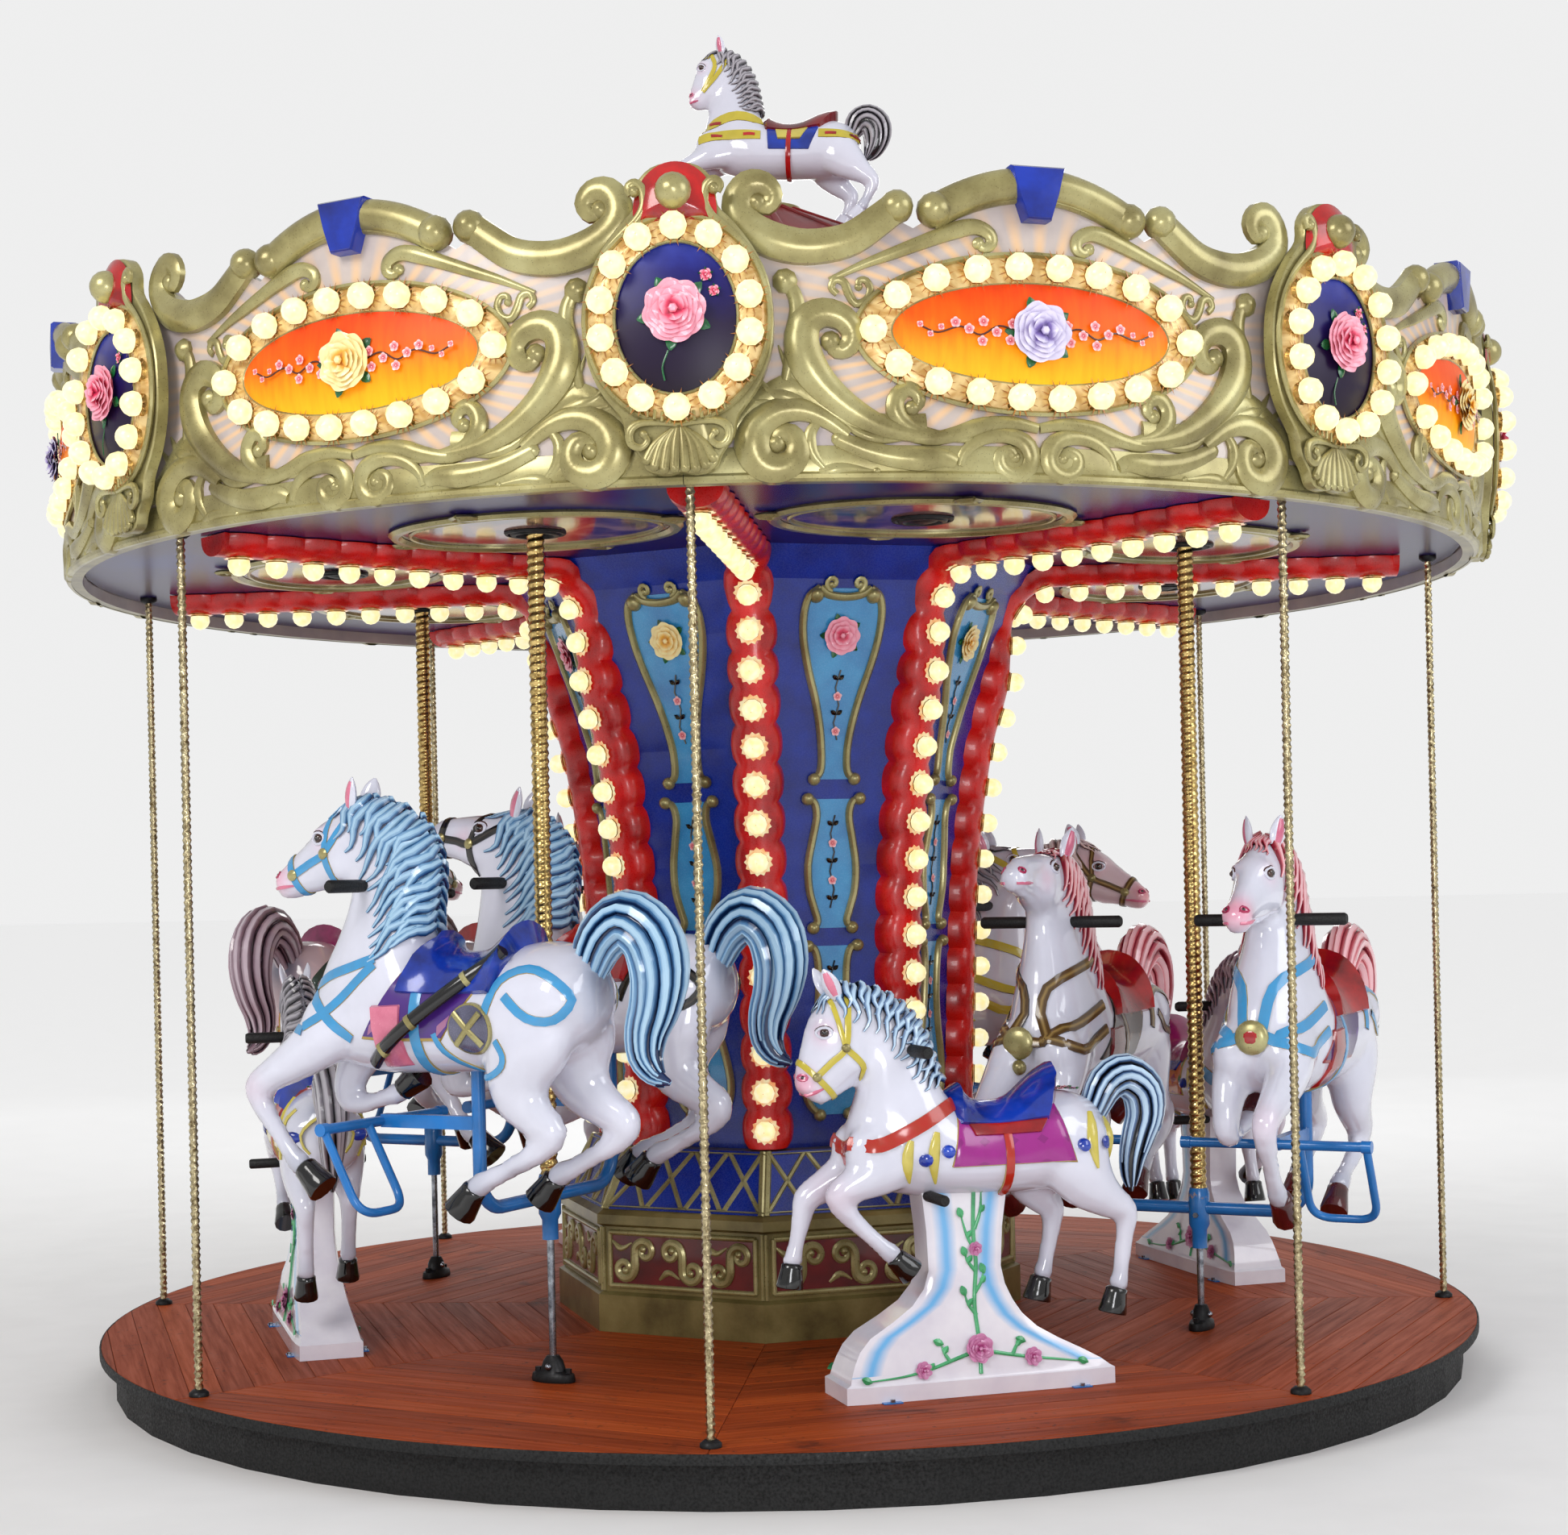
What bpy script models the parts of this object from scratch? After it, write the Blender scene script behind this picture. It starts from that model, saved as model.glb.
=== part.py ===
"""Fairground carousel: an eight-bay turntable on a low black base, with four rising and falling pairs of
horses, four small horses on stands, and a lit canopy. Metres, +Z up, origin on the ground at the centre.
Bay lines are counted from the rim pole on -Y, turning towards +X."""

from math import cos, pi, radians, sin

import bmesh
import bpy
from mathutils import Matrix, Vector

# Driving dimensions
GAP = 0.0003
DECK_RADIUS = 2.30
DECK_TOP = 0.16
DECK_THICKNESS = 0.03
BASE_RADIUS = 2.25
RUNNING_GAP = 0.005
BEARING_RADIUS = 0.55
BAYS = 8
BAY = 2 * pi / BAYS
ROUND_STEPS = 48

RIM_POLE_CIRCLE = 2.22
RIM_POLE_RADIUS = 0.0135
CEILING_HEIGHT = 2.50
CEILING_THICKNESS = 0.02
BOARD_BACK = 2.30
BOARD_FACE = 2.335
BOARD_ROLL = 2.365
BOARD_BOTTOM = 2.46
SHIELD_FACE = 2.40
SHIELD_RING_FACE = 2.435
OVAL_HEIGHT = 2.863
OVAL_HALF = (0.23, 0.255)
OVAL_INSET = 0.01
ROOF_EDGE_HEIGHT = 2.78
ROOF_CAP_HEIGHT = 3.755
ROOF_CAP_RADIUS = 0.12
ROOF_THICKNESS = 0.02
RIB_HALF_WIDTH = 0.065
RIB_DEPTH = 0.062
RIB_BEND_START = 0.81
RIB_BEND_REACH = 0.16
RIB_BEND_RISE = 0.20
BEAM_DEPTH = 0.065
BEAM_END = 2.14
PEDESTAL_TOP = 0.587

JUMPER_POLE_CIRCLE = 1.484
HORSE_SPACING = 0.352
JUMPER_POLE_RADIUS = 0.027
POLE_HOLE_RADIUS = 0.05
JUMPER_ARM_MEAN = 0.464
JUMPER_RISE = (0.08, -0.08, -0.045, 0.045)
GUIDE_ROD_RADIUS = 0.011
GUIDE_ROD_TOP = 0.80
TUBE_TOP = 2.20
TUBE_BORE = 0.0165
TUBE_BORE_TOP = 0.50
ARM_RADIUS = 0.02
ARM_BEND = 0.10
BELLY = 0.391
FOOT_BAR_X = -0.33
FOOT_BAR_HEIGHT = 0.246
FOOT_BAR_HALF = 0.29
FOOT_BAR_RADIUS = 0.017
STEP_RADIUS = 0.0125
HANDLE_RADIUS = 0.019
JUMPER_HANDLE_HALF = 0.233
SMALL_HORSE_CIRCLE = 1.62
SMALL_HANDLE_HALF = 0.19
ROOF_HANDLE_HALF = 0.06
ROOF_HORSE_SCALE = 0.70
ROOF_HORSE_X = -0.015
ROOF_HORSE_LIFT = 3.493
ROOF_HORSE_TILT = 3
ROOF_POST_RADIUS = 0.03

COLOURS = {
    "black_skirt": ((0.01, 0.01, 0.01), 0.5, 0.0),
    "deck_boards": ((0.20, 0.06, 0.03), 0.7, 0.0),
    "gold_paint": ((0.55, 0.38, 0.10), 0.35, 0.6),
    "blue_panel": ((0.01, 0.05, 0.35), 0.15, 0.0),
    "ceiling_panel": ((0.08, 0.05, 0.25), 0.08, 0.3),
    "red_canvas": ((0.25, 0.01, 0.01), 0.5, 0.0),
    "red_rib": ((0.55, 0.01, 0.01), 0.25, 0.0),
    "cream_board": ((0.75, 0.62, 0.40), 0.3, 0.0),
    "brass": ((0.75, 0.55, 0.22), 0.25, 1.0),
    "steel": ((0.5, 0.5, 0.5), 0.25, 1.0),
    "blue_tube": ((0.02, 0.22, 0.65), 0.3, 0.0),
    "horse_white": ((0.85, 0.83, 0.85), 0.12, 0.0),
}


def clear_scene():
    for obj in list(bpy.data.objects):
        bpy.data.objects.remove(obj, do_unlink=True)


def make_materials():
    made = {}
    for name, (colour, roughness, metallic) in COLOURS.items():
        material = bpy.data.materials.new(name)
        material.use_nodes = True
        shader = material.node_tree.nodes["Principled BSDF"]
        shader.inputs["Base Color"].default_value = (*colour, 1)
        shader.inputs["Roughness"].default_value = roughness
        shader.inputs["Metallic"].default_value = metallic
        made[name] = material
    return made


def place(name, mesh, material, parent=None, location=(0, 0, 0), turn=0.0):
    obj = bpy.data.objects.new(name, mesh)
    if not mesh.materials:
        mesh.materials.append(MATERIALS[material])
    PARTS.objects.link(obj)
    obj.parent = parent
    obj.location = location
    obj.rotation_euler = (0, 0, turn)
    return obj


def empty(name, parent=None, location=(0, 0, 0), turn=0.0):
    obj = bpy.data.objects.new(name, None)
    PARTS.objects.link(obj)
    obj.parent = parent
    obj.location = location
    obj.rotation_euler = (0, 0, turn)
    return obj


def on_circle(radius, angle, height):
    return (radius * sin(angle), -radius * cos(angle), height)


def ring_points(radius, steps, centre=(0, 0)):
    turns = [2 * pi * step / steps for step in range(steps)]
    return [(centre[0] + radius * cos(turn), centre[1] + radius * sin(turn)) for turn in turns]


def baked(obj):
    """The object's evaluated mesh with near points joined, and the object gone."""
    bpy.context.view_layer.update()
    graph = bpy.context.evaluated_depsgraph_get()
    mesh = bpy.data.meshes.new_from_object(obj.evaluated_get(graph))
    mesh.transform(obj.matrix_world)
    bpy.data.objects.remove(obj, do_unlink=True)
    shape = bmesh.new()
    shape.from_mesh(mesh)
    bmesh.ops.remove_doubles(shape, verts=shape.verts, dist=0.00001)
    shape.to_mesh(mesh)
    shape.free()
    mesh.materials.clear()
    return mesh


def scratch(name, data):
    obj = bpy.data.objects.new(name, data)
    PARTS.objects.link(obj)
    return obj


def turned(profile, steps):
    """A mesh turned round Z. The profile runs down the outer side."""
    shape = bmesh.new()
    points = [shape.verts.new((radius, 0, height)) for radius, height in profile]
    for first, second in zip(points, points[1:]):
        shape.edges.new((first, second))
    mesh = bpy.data.meshes.new("turned")
    shape.to_mesh(mesh)
    shape.free()
    obj = scratch("turned", mesh)
    screw = obj.modifiers.new("turn", "SCREW")
    screw.steps = steps
    screw.render_steps = steps
    screw.use_merge_vertices = True
    screw.merge_threshold = 0.0001
    return baked(obj)


def flat_shape(outlines, half_thickness):
    """A mesh cut from flat outlines in XY, with any inner ones as holes."""
    curve = bpy.data.curves.new("flat", "CURVE")
    curve.dimensions = "2D"
    curve.fill_mode = "BOTH"
    curve.extrude = half_thickness
    for outline in outlines:
        spline = curve.splines.new("POLY")
        spline.points.add(len(outline) - 1)
        for point, place_xy in zip(spline.points, outline):
            point.co = (*place_xy, 0, 1)
        spline.use_cyclic_u = True
    return baked(scratch("flat", curve))


def tube(points, radii, sides=2):
    """A round bar along the points. Radii is one number, or one for each point."""
    curve = bpy.data.curves.new("tube", "CURVE")
    curve.dimensions = "3D"
    curve.bevel_depth = 1.0
    curve.bevel_resolution = sides
    curve.use_fill_caps = True
    spline = curve.splines.new("POLY")
    spline.points.add(len(points) - 1)
    if isinstance(radii, float):
        radii = [radii] * len(points)
    for point, position, radius in zip(spline.points, points, radii):
        point.co = (*position, 1)
        point.radius = radius
    return baked(scratch("tube", curve))


def box(low, high):
    shape = bmesh.new()
    size = Vector(high) - Vector(low)
    middle = (Vector(high) + Vector(low)) / 2
    bmesh.ops.create_cube(shape, size=1, matrix=Matrix.Translation(middle) @ Matrix.Diagonal((*size, 1)))
    mesh = bpy.data.meshes.new("box")
    shape.to_mesh(mesh)
    shape.free()
    return mesh


def loft(rings):
    """A mesh skinned over rings of equal count, capped at both ends."""
    shape = bmesh.new()
    rows = [[shape.verts.new(point) for point in ring] for ring in rings]
    for near, far in zip(rows, rows[1:]):
        for index in range(len(near)):
            after = (index + 1) % len(near)
            shape.faces.new((near[index], near[after], far[after], far[index]))
    shape.faces.new(rows[0])
    shape.faces.new(rows[-1])
    bmesh.ops.recalc_face_normals(shape, faces=shape.faces)
    mesh = bpy.data.meshes.new("loft")
    shape.to_mesh(mesh)
    shape.free()
    return mesh


def fused(meshes):
    """One mesh that is the union of the meshes given."""
    objects = [scratch("fuse", mesh) for mesh in meshes]
    body = objects[0]
    for tool in objects[1:]:
        union = body.modifiers.new("union", "BOOLEAN")
        union.operation = "UNION"
        union.solver = "EXACT"
        union.object = tool
    mesh = baked(body)
    for tool in objects[1:]:
        bpy.data.objects.remove(tool, do_unlink=True)
    return mesh


def base():
    profile = [
        (0, DECK_TOP - DECK_THICKNESS - GAP),
        (BEARING_RADIUS, DECK_TOP - DECK_THICKNESS - GAP),
        (BEARING_RADIUS, DECK_TOP - DECK_THICKNESS - RUNNING_GAP),
        (BASE_RADIUS, DECK_TOP - DECK_THICKNESS - RUNNING_GAP),
        (BASE_RADIUS, 0),
        (0, 0),
    ]
    place("base", turned(profile, ROUND_STEPS), "black_skirt")


def deck(turntable):
    profile = [
        (0, DECK_TOP),
        (DECK_RADIUS, DECK_TOP),
        (DECK_RADIUS, DECK_TOP - DECK_THICKNESS),
        (0, DECK_TOP - DECK_THICKNESS),
    ]
    place("deck", turned(profile, ROUND_STEPS), "deck_boards", turntable)


# Radius at the corners and height: sloping lattice, moulding, relief panels, plinth
PEDESTAL_OUTER = [
    (0.67, PEDESTAL_TOP),
    (0.775, 0.396),
    (0.80, 0.38),
    (0.80, 0.35),
    (0.78, 0.34),
    (0.78, 0.13),
    (0.80, 0.12),
    (0.80, GAP),
]
COLUMN_CORNERS = [
    (0.93, CEILING_HEIGHT - GAP),
    (0.85, 2.40),
    (0.785, 2.24),
    (0.74, 2.10),
    (0.68, 1.88),
    (0.625, 1.50),
    (0.60, 1.05),
    (0.585, PEDESTAL_TOP + GAP),
]


def pedestal(turntable):
    profile = [(0, PEDESTAL_TOP)] + PEDESTAL_OUTER + [(0, GAP)]
    profile = [(radius, DECK_TOP + height) for radius, height in profile]
    place("pedestal", turned(profile, BAYS), "gold_paint", turntable)


def column(turntable):
    profile = [(0, COLUMN_CORNERS[0][1])] + COLUMN_CORNERS + [(0, COLUMN_CORNERS[-1][1])]
    profile = [(radius, DECK_TOP + height) for radius, height in profile]
    place("column", turned(profile, BAYS), "blue_panel", turntable)


def light_ribs(turntable):
    """Each rib climbs a corner of the column and runs out under the ceiling as a straight beam."""
    beam_bottom = CEILING_HEIGHT - BEAM_DEPTH
    turns = [step * pi / 8 for step in range(5)]
    bend = [
        (RIB_BEND_START + RIB_BEND_REACH * (1 - cos(turn)), beam_bottom - RIB_BEND_RISE * (1 - sin(turn)))
        for turn in turns
    ]
    front = [(radius + RIB_DEPTH, height) for radius, height in reversed(COLUMN_CORNERS[3:])]
    back = [(radius + GAP, height) for radius, height in COLUMN_CORNERS]
    outline = front + bend + [(BEAM_END, beam_bottom), (BEAM_END, CEILING_HEIGHT - GAP)] + back
    outline = [(radius, DECK_TOP + height) for radius, height in outline]
    mesh = flat_shape([outline], RIB_HALF_WIDTH)
    mesh.transform(Matrix.Rotation(-pi / 2, 4, "Z") @ Matrix.Rotation(pi / 2, 4, "X"))
    for index in range(BAYS):
        place(f"light_rib_{index + 1}", mesh, "red_rib", turntable, turn=index * BAY)


def jumper_angle(index):
    return (2 * index - 0.5) * BAY


def small_horse_angle(index):
    return (2 * index + 0.5) * BAY


def ceiling(turntable):
    outlines = [ring_points(BOARD_BACK - GAP, ROUND_STEPS)]
    for index in range(4):
        centre = on_circle(JUMPER_POLE_CIRCLE, jumper_angle(index), 0)[:2]
        outlines.append(ring_points(POLE_HOLE_RADIUS, 8, centre))
    mesh = flat_shape(outlines, CEILING_THICKNESS / 2)
    mesh.transform(Matrix.Translation((0, 0, DECK_TOP + CEILING_HEIGHT + CEILING_THICKNESS / 2)))
    place("ceiling", mesh, "ceiling_panel", turntable)


def roof(turntable):
    outer = [(0, ROOF_CAP_HEIGHT), (ROOF_CAP_RADIUS, ROOF_CAP_HEIGHT), (BOARD_BACK - GAP, ROOF_EDGE_HEIGHT)]
    inner = [(radius, height - ROOF_THICKNESS) for radius, height in reversed(outer)]
    profile = [(radius, DECK_TOP + height) for radius, height in outer + inner]
    place("roof", turned(profile, ROUND_STEPS), "red_canvas", turntable)


BOARD_TOP = [
    (0.0, 3.27),
    (3.75, 3.255),
    (7.5, 3.205),
    (11.25, 3.07),
    (15.0, 3.04),
    (18.75, 3.20),
    (22.49, 3.05),
]


def board_top(angle):
    for (near, low), (far, high) in zip(BOARD_TOP, BOARD_TOP[1:]):
        if abs(angle) <= far:
            return low + (high - low) * (abs(angle) - near) / (far - near)
    return BOARD_TOP[-1][1]


def rounding_boards(turntable):
    """Eight curved boards with an arched top between two scrolls, and a rolled edge at top and bottom."""
    rings = []
    columns = [side * angle for side in (-1, 1) for angle, _ in BOARD_TOP if angle or side > 0]
    for angle in sorted(columns):
        top = board_top(angle)
        section = [
            (BOARD_ROLL, top),
            (BOARD_ROLL, top - 0.09),
            (BOARD_FACE, top - 0.10),
            (BOARD_FACE, BOARD_BOTTOM + 0.14),
            (BOARD_ROLL, BOARD_BOTTOM + 0.12),
            (BOARD_ROLL, BOARD_BOTTOM),
            (BOARD_BACK, BOARD_BOTTOM),
            (BOARD_BACK, top),
        ]
        rings.append([on_circle(radius, radians(angle), DECK_TOP + height) for radius, height in section])
    mesh = loft(rings)
    for index in range(BAYS):
        place(f"rounding_board_{index + 1}", mesh, "cream_board", turntable, turn=(index + 0.5) * BAY)


SHIELD_HALF = [
    (0.0, 3.265),
    (0.075, 3.235),
    (0.105, 3.16),
    (0.15, 3.10),
    (0.215, 3.02),
    (0.245, 2.863),
    (0.215, 2.71),
    (0.15, 2.62),
    (0.11, 2.56),
    (0.09, 2.50),
    (0.0, 2.475),
]


def shields(turntable):
    outline = SHIELD_HALF + [(-across, height) for across, height in reversed(SHIELD_HALF[1:-1])]
    back = BOARD_ROLL + GAP
    plate = flat_shape([outline], (SHIELD_FACE - back) / 2)
    plate.transform(Matrix.Translation((0, 0, (SHIELD_FACE + back) / 2)))
    oval = [(across * OVAL_HALF[0], OVAL_HEIGHT + up * OVAL_HALF[1]) for across, up in ring_points(1, 16)]
    ring_back = back + OVAL_INSET
    ring = flat_shape([oval], (SHIELD_RING_FACE - ring_back) / 2)
    ring.transform(Matrix.Translation((0, 0, (SHIELD_RING_FACE + ring_back) / 2)))
    mesh = fused([plate, ring])
    mesh.transform(Matrix.Translation((0, 0, DECK_TOP)) @ Matrix.Rotation(pi / 2, 4, "X"))
    for index in range(BAYS):
        place(f"shield_{index + 1}", mesh, "gold_paint", turntable, turn=index * BAY)


def rim_poles(turntable):
    top = CEILING_HEIGHT - GAP
    profile = [
        (0, top),
        (RIM_POLE_RADIUS, top),
        (RIM_POLE_RADIUS, 0.022),
        (0.03, 0.012),
        (0.03, GAP),
        (0, GAP),
    ]
    mesh = turned([(radius, DECK_TOP + height) for radius, height in profile], 8)
    for index in range(BAYS):
        spot = on_circle(RIM_POLE_CIRCLE, index * BAY, 0)
        place(f"rim_pole_{index + 1}", mesh, "brass", turntable, spot)


def guide_rods(turntable):
    profile = [(0, GUIDE_ROD_TOP), (GUIDE_ROD_RADIUS, GUIDE_ROD_TOP), (GUIDE_ROD_RADIUS, 0.04), (0, 0.04)]
    rod = turned(profile, 10)
    foot = box((-0.07, -0.035, GAP), (0.07, 0.035, 0.03))
    block = box((-0.03, -0.03, 0.02), (0.03, 0.03, 0.075))
    mesh = fused([foot, block, rod])
    for index in range(4):
        spot = on_circle(JUMPER_POLE_CIRCLE, jumper_angle(index), DECK_TOP)
        place(f"guide_rod_{index + 1}", mesh, "steel", turntable, spot, jumper_angle(index))


def jumper_frame_mesh():
    """A brass tube that slides on the guide rod, with a U of blue tube up into both bellies, a foot bar
    under each horse and a mounting step on the outer side. Z is counted from the middle of the arms."""
    tube_profile = [
        (0, TUBE_TOP),
        (JUMPER_POLE_RADIUS, TUBE_TOP),
        (JUMPER_POLE_RADIUS, 0.06),
        (0.032, 0.05),
        (0.032, -0.05),
        (0.023, -0.06),
        (0.023, -0.127),
        (GUIDE_ROD_RADIUS + GAP, -0.127),
        (GUIDE_ROD_RADIUS + GAP, -0.107),
        (TUBE_BORE, -0.105),
        (TUBE_BORE, TUBE_BORE_TOP),
        (0, TUBE_BORE_TOP),
    ]
    pieces = [turned(tube_profile, 10)]
    for side in (-1, 1):
        reach = side * HORSE_SPACING
        bend = [
            (0, reach - side * ARM_BEND * (1 - sin(turn)), ARM_BEND * (1 - cos(turn)))
            for turn in (0, pi / 4, pi / 2)
        ]
        pieces.append(tube([(0, side * 0.024, 0)] + bend + [(0, reach, BELLY - GAP)], ARM_RADIUS, 1))
        pieces.append(box((FOOT_BAR_X, reach - 0.015, 0.225), (0, reach + 0.015, 0.267)))
        bar_ends = [(FOOT_BAR_X, reach + end * FOOT_BAR_HALF, FOOT_BAR_HEIGHT) for end in (-1, 1)]
        pieces.append(tube(bar_ends, FOOT_BAR_RADIUS, 1))
    outer = -HORSE_SPACING
    step_path = [
        (FOOT_BAR_X, outer - 0.275, FOOT_BAR_HEIGHT),
        (FOOT_BAR_X + 0.10, outer - 0.275, 0.06),
        (FOOT_BAR_X + 0.13, outer - 0.24, 0.015),
        (FOOT_BAR_X + 0.13, outer - 0.11, 0.015),
        (FOOT_BAR_X + 0.10, outer - 0.075, 0.06),
        (FOOT_BAR_X, outer - 0.075, FOOT_BAR_HEIGHT),
    ]
    pieces.append(tube(step_path, STEP_RADIUS, 1))
    return fused(pieces)


# Side view of a jumper, ahead and up from the arm line: crest, underside, half width
JUMPER_SPINE = [
    ((-0.405, 0.62), (-0.41, 0.52), 0.06),
    ((-0.36, 0.70), (-0.37, 0.43), 0.125),
    ((-0.24, 0.745), (-0.22, 0.395), 0.155),
    ((-0.06, 0.70), (-0.05, 0.391), 0.15),
    ((0.08, 0.70), (0.08, 0.391), 0.15),
    ((0.17, 0.762), (0.28, 0.385), 0.155),
    ((0.15, 0.86), (0.50, 0.42), 0.14),
    ((0.13, 0.96), (0.53, 0.58), 0.10),
    ((0.16, 1.06), (0.44, 0.74), 0.075),
    ((0.23, 1.13), (0.41, 0.86), 0.065),
    ((0.35, 1.16), (0.44, 0.92), 0.07),
    ((0.50, 1.11), (0.50, 0.92), 0.06),
    ((0.62, 1.04), (0.575, 0.905), 0.045),
    ((0.69, 0.97), (0.65, 0.90), 0.03),
]
HEAD_UP_FROM = 7
HEAD_UP = [
    ((0.13, 0.93), (0.51, 0.60), 0.10),
    ((0.14, 1.03), (0.47, 0.77), 0.075),
    ((0.19, 1.09), (0.45, 0.90), 0.065),
    ((0.28, 1.12), (0.46, 0.955), 0.07),
    ((0.42, 1.13), (0.49, 0.97), 0.065),
    ((0.55, 1.13), (0.55, 1.0), 0.05),
    ((0.655, 1.09), (0.635, 1.02), 0.03),
]
# Each leg: sideways, then ahead, up and radius of each joint
JUMPER_LEGS = [
    (-0.085, [(0.38, 0.50, 0.09), (0.71, 0.36, 0.05), (0.62, 0.20, 0.032), (0.49, 0.08, 0.045)]),
    (0.085, [(0.38, 0.50, 0.09), (0.60, 0.30, 0.05), (0.50, 0.16, 0.032), (0.40, 0.07, 0.045)]),
    (
        -0.09,
        [(-0.25, 0.54, 0.12), (-0.19, 0.36, 0.085), (-0.32, 0.26, 0.04), (-0.04, 0.09, 0.03)]
        + [(0.02, 0.04, 0.04)],
    ),
    (
        0.09,
        [(-0.29, 0.54, 0.12), (-0.30, 0.36, 0.085), (-0.44, 0.25, 0.04), (-0.20, 0.10, 0.03)]
        + [(-0.14, 0.06, 0.04)],
    ),
]
JUMPER_TAIL = [
    (-0.34, 0.66, 0.05),
    (-0.47, 0.77, 0.07),
    (-0.57, 0.70, 0.08),
    (-0.57, 0.52, 0.06),
    (-0.60, 0.38, 0.02),
]
# Along the saddle: ahead and up, then half width
JUMPER_SADDLE = [
    ((-0.21, 0.78), 0.11),
    ((-0.10, 0.73), 0.13),
    ((0.04, 0.735), 0.13),
    ((0.12, 0.80), 0.08),
]
JUMPER_BAR = (0.33, 0.92)


def spine_mesh(spine, sides=8):
    rings = []
    for (crest_ahead, crest), (under_ahead, under), half_width in spine:
        ring = []
        for step in range(sides):
            turn = 2 * pi * step / sides
            share = (1 + cos(turn)) / 2
            ahead = under_ahead + (crest_ahead - under_ahead) * share
            height = under + (crest - under) * share
            ring.append((-ahead, half_width * sin(turn), height))
        rings.append(ring)
    return loft(rings)


def saddle_mesh(stations, drop=0.09, thickness=0.03):
    rings = []
    for (ahead, height), half_width in stations:
        ring = [
            (-ahead, 0, height),
            (-ahead, half_width * 0.8, height - 0.02),
            (-ahead, half_width + 0.02, height - drop),
            (-ahead, half_width * 0.6, height - drop - thickness),
            (-ahead, -half_width * 0.6, height - drop - thickness),
            (-ahead, -half_width - 0.02, height - drop),
            (-ahead, -half_width * 0.8, height - 0.02),
        ]
        rings.append(ring)
    return loft(rings)


def limb(side, joints):
    points = [(-ahead, side, height) for ahead, height, _ in joints]
    return tube(points, [radius for _, _, radius in joints], 1)


def horse_mesh(spine, legs, tail, saddle, bar, bar_half):
    pieces = [spine_mesh(spine)]
    pieces += [limb(side, joints) for side, joints in legs]
    pieces.append(limb(0, tail))
    pieces.append(saddle_mesh(saddle))
    pieces.append(tube([(-bar[0], -bar_half, bar[1]), (-bar[0], bar_half, bar[1])], HANDLE_RADIUS, 1))
    return fused(pieces)


def jumpers(turntable):
    frame = jumper_frame_mesh()
    rest = (JUMPER_TAIL, JUMPER_SADDLE, JUMPER_BAR, JUMPER_HANDLE_HALF)
    outer = horse_mesh(JUMPER_SPINE, JUMPER_LEGS, *rest)
    head_up = JUMPER_SPINE[:HEAD_UP_FROM] + HEAD_UP
    mirrored = [(-side, joints) for side, joints in JUMPER_LEGS]
    inner = horse_mesh(head_up, mirrored, *rest)
    for index in range(4):
        angle = jumper_angle(index)
        height = DECK_TOP + JUMPER_ARM_MEAN + JUMPER_RISE[index]
        spot = on_circle(JUMPER_POLE_CIRCLE, angle, height)
        unit = empty(f"jumper_{index + 1}_axis", turntable, spot, angle)
        place(f"jumper_frame_{index + 1}", frame, "blue_tube", unit)
        place(f"jumper_horse_{index + 1}_outer", outer, "horse_white", unit, (0, -HORSE_SPACING, 0))
        place(f"jumper_horse_{index + 1}_inner", inner, "horse_white", unit, (0, HORSE_SPACING, 0))


# Side view of a small horse, ahead and up from the deck
SMALL_SPINE = [
    ((-0.455, 0.72), (-0.46, 0.62), 0.05),
    ((-0.42, 0.80), (-0.42, 0.56), 0.10),
    ((-0.30, 0.83), (-0.28, 0.56), 0.13),
    ((-0.12, 0.78), (-0.12, 0.555), 0.125),
    ((0.03, 0.83), (0.05, 0.55), 0.13),
    ((0.06, 0.92), (0.26, 0.59), 0.12),
    ((0.09, 1.02), (0.31, 0.72), 0.08),
    ((0.17, 1.11), (0.27, 0.84), 0.06),
    ((0.27, 1.145), (0.25, 0.93), 0.06),
    ((0.38, 1.12), (0.30, 0.88), 0.06),
    ((0.43, 1.04), (0.34, 0.85), 0.045),
    ((0.465, 0.94), (0.37, 0.84), 0.035),
    ((0.465, 0.88), (0.40, 0.83), 0.025),
]
SMALL_LEGS = [
    (-0.075, [(0.20, 0.65, 0.075), (0.36, 0.57, 0.04), (0.24, 0.43, 0.025), (0.17, 0.355, 0.035)]),
    (0.075, [(0.22, 0.66, 0.075), (0.41, 0.55, 0.038), (0.44, 0.42, 0.025), (0.465, 0.345, 0.035)]),
    (
        -0.08,
        [(-0.33, 0.68, 0.10), (-0.42, 0.56, 0.075), (-0.50, 0.47, 0.035), (-0.47, 0.32, 0.025)]
        + [(-0.45, 0.23, 0.035)],
    ),
    (
        0.08,
        [(-0.26, 0.68, 0.10), (-0.28, 0.56, 0.075), (-0.32, 0.48, 0.035), (-0.30, 0.34, 0.025)]
        + [(-0.28, 0.26, 0.035)],
    ),
]
SMALL_TAIL = [
    (-0.42, 0.76, 0.04),
    (-0.50, 0.85, 0.055),
    (-0.58, 0.80, 0.06),
    (-0.56, 0.66, 0.05),
    (-0.54, 0.53, 0.02),
]
SMALL_SADDLE = [
    ((-0.29, 0.90), 0.07),
    ((-0.20, 0.81), 0.10),
    ((-0.08, 0.80), 0.11),
    ((0.03, 0.86), 0.08),
]
SMALL_BAR = (0.14, 0.97)
# Height, rear, front and half width of the stand
STAND = [
    (GAP, -0.443, 0.368, 0.11),
    (0.048, -0.443, 0.368, 0.11),
    (0.06, -0.42, 0.34, 0.10),
    (0.17, -0.27, 0.296, 0.08),
    (0.25, -0.15, 0.16, 0.07),
    (0.33, -0.111, 0.102, 0.06),
    (0.62, -0.143, 0.124, 0.065),
]


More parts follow.
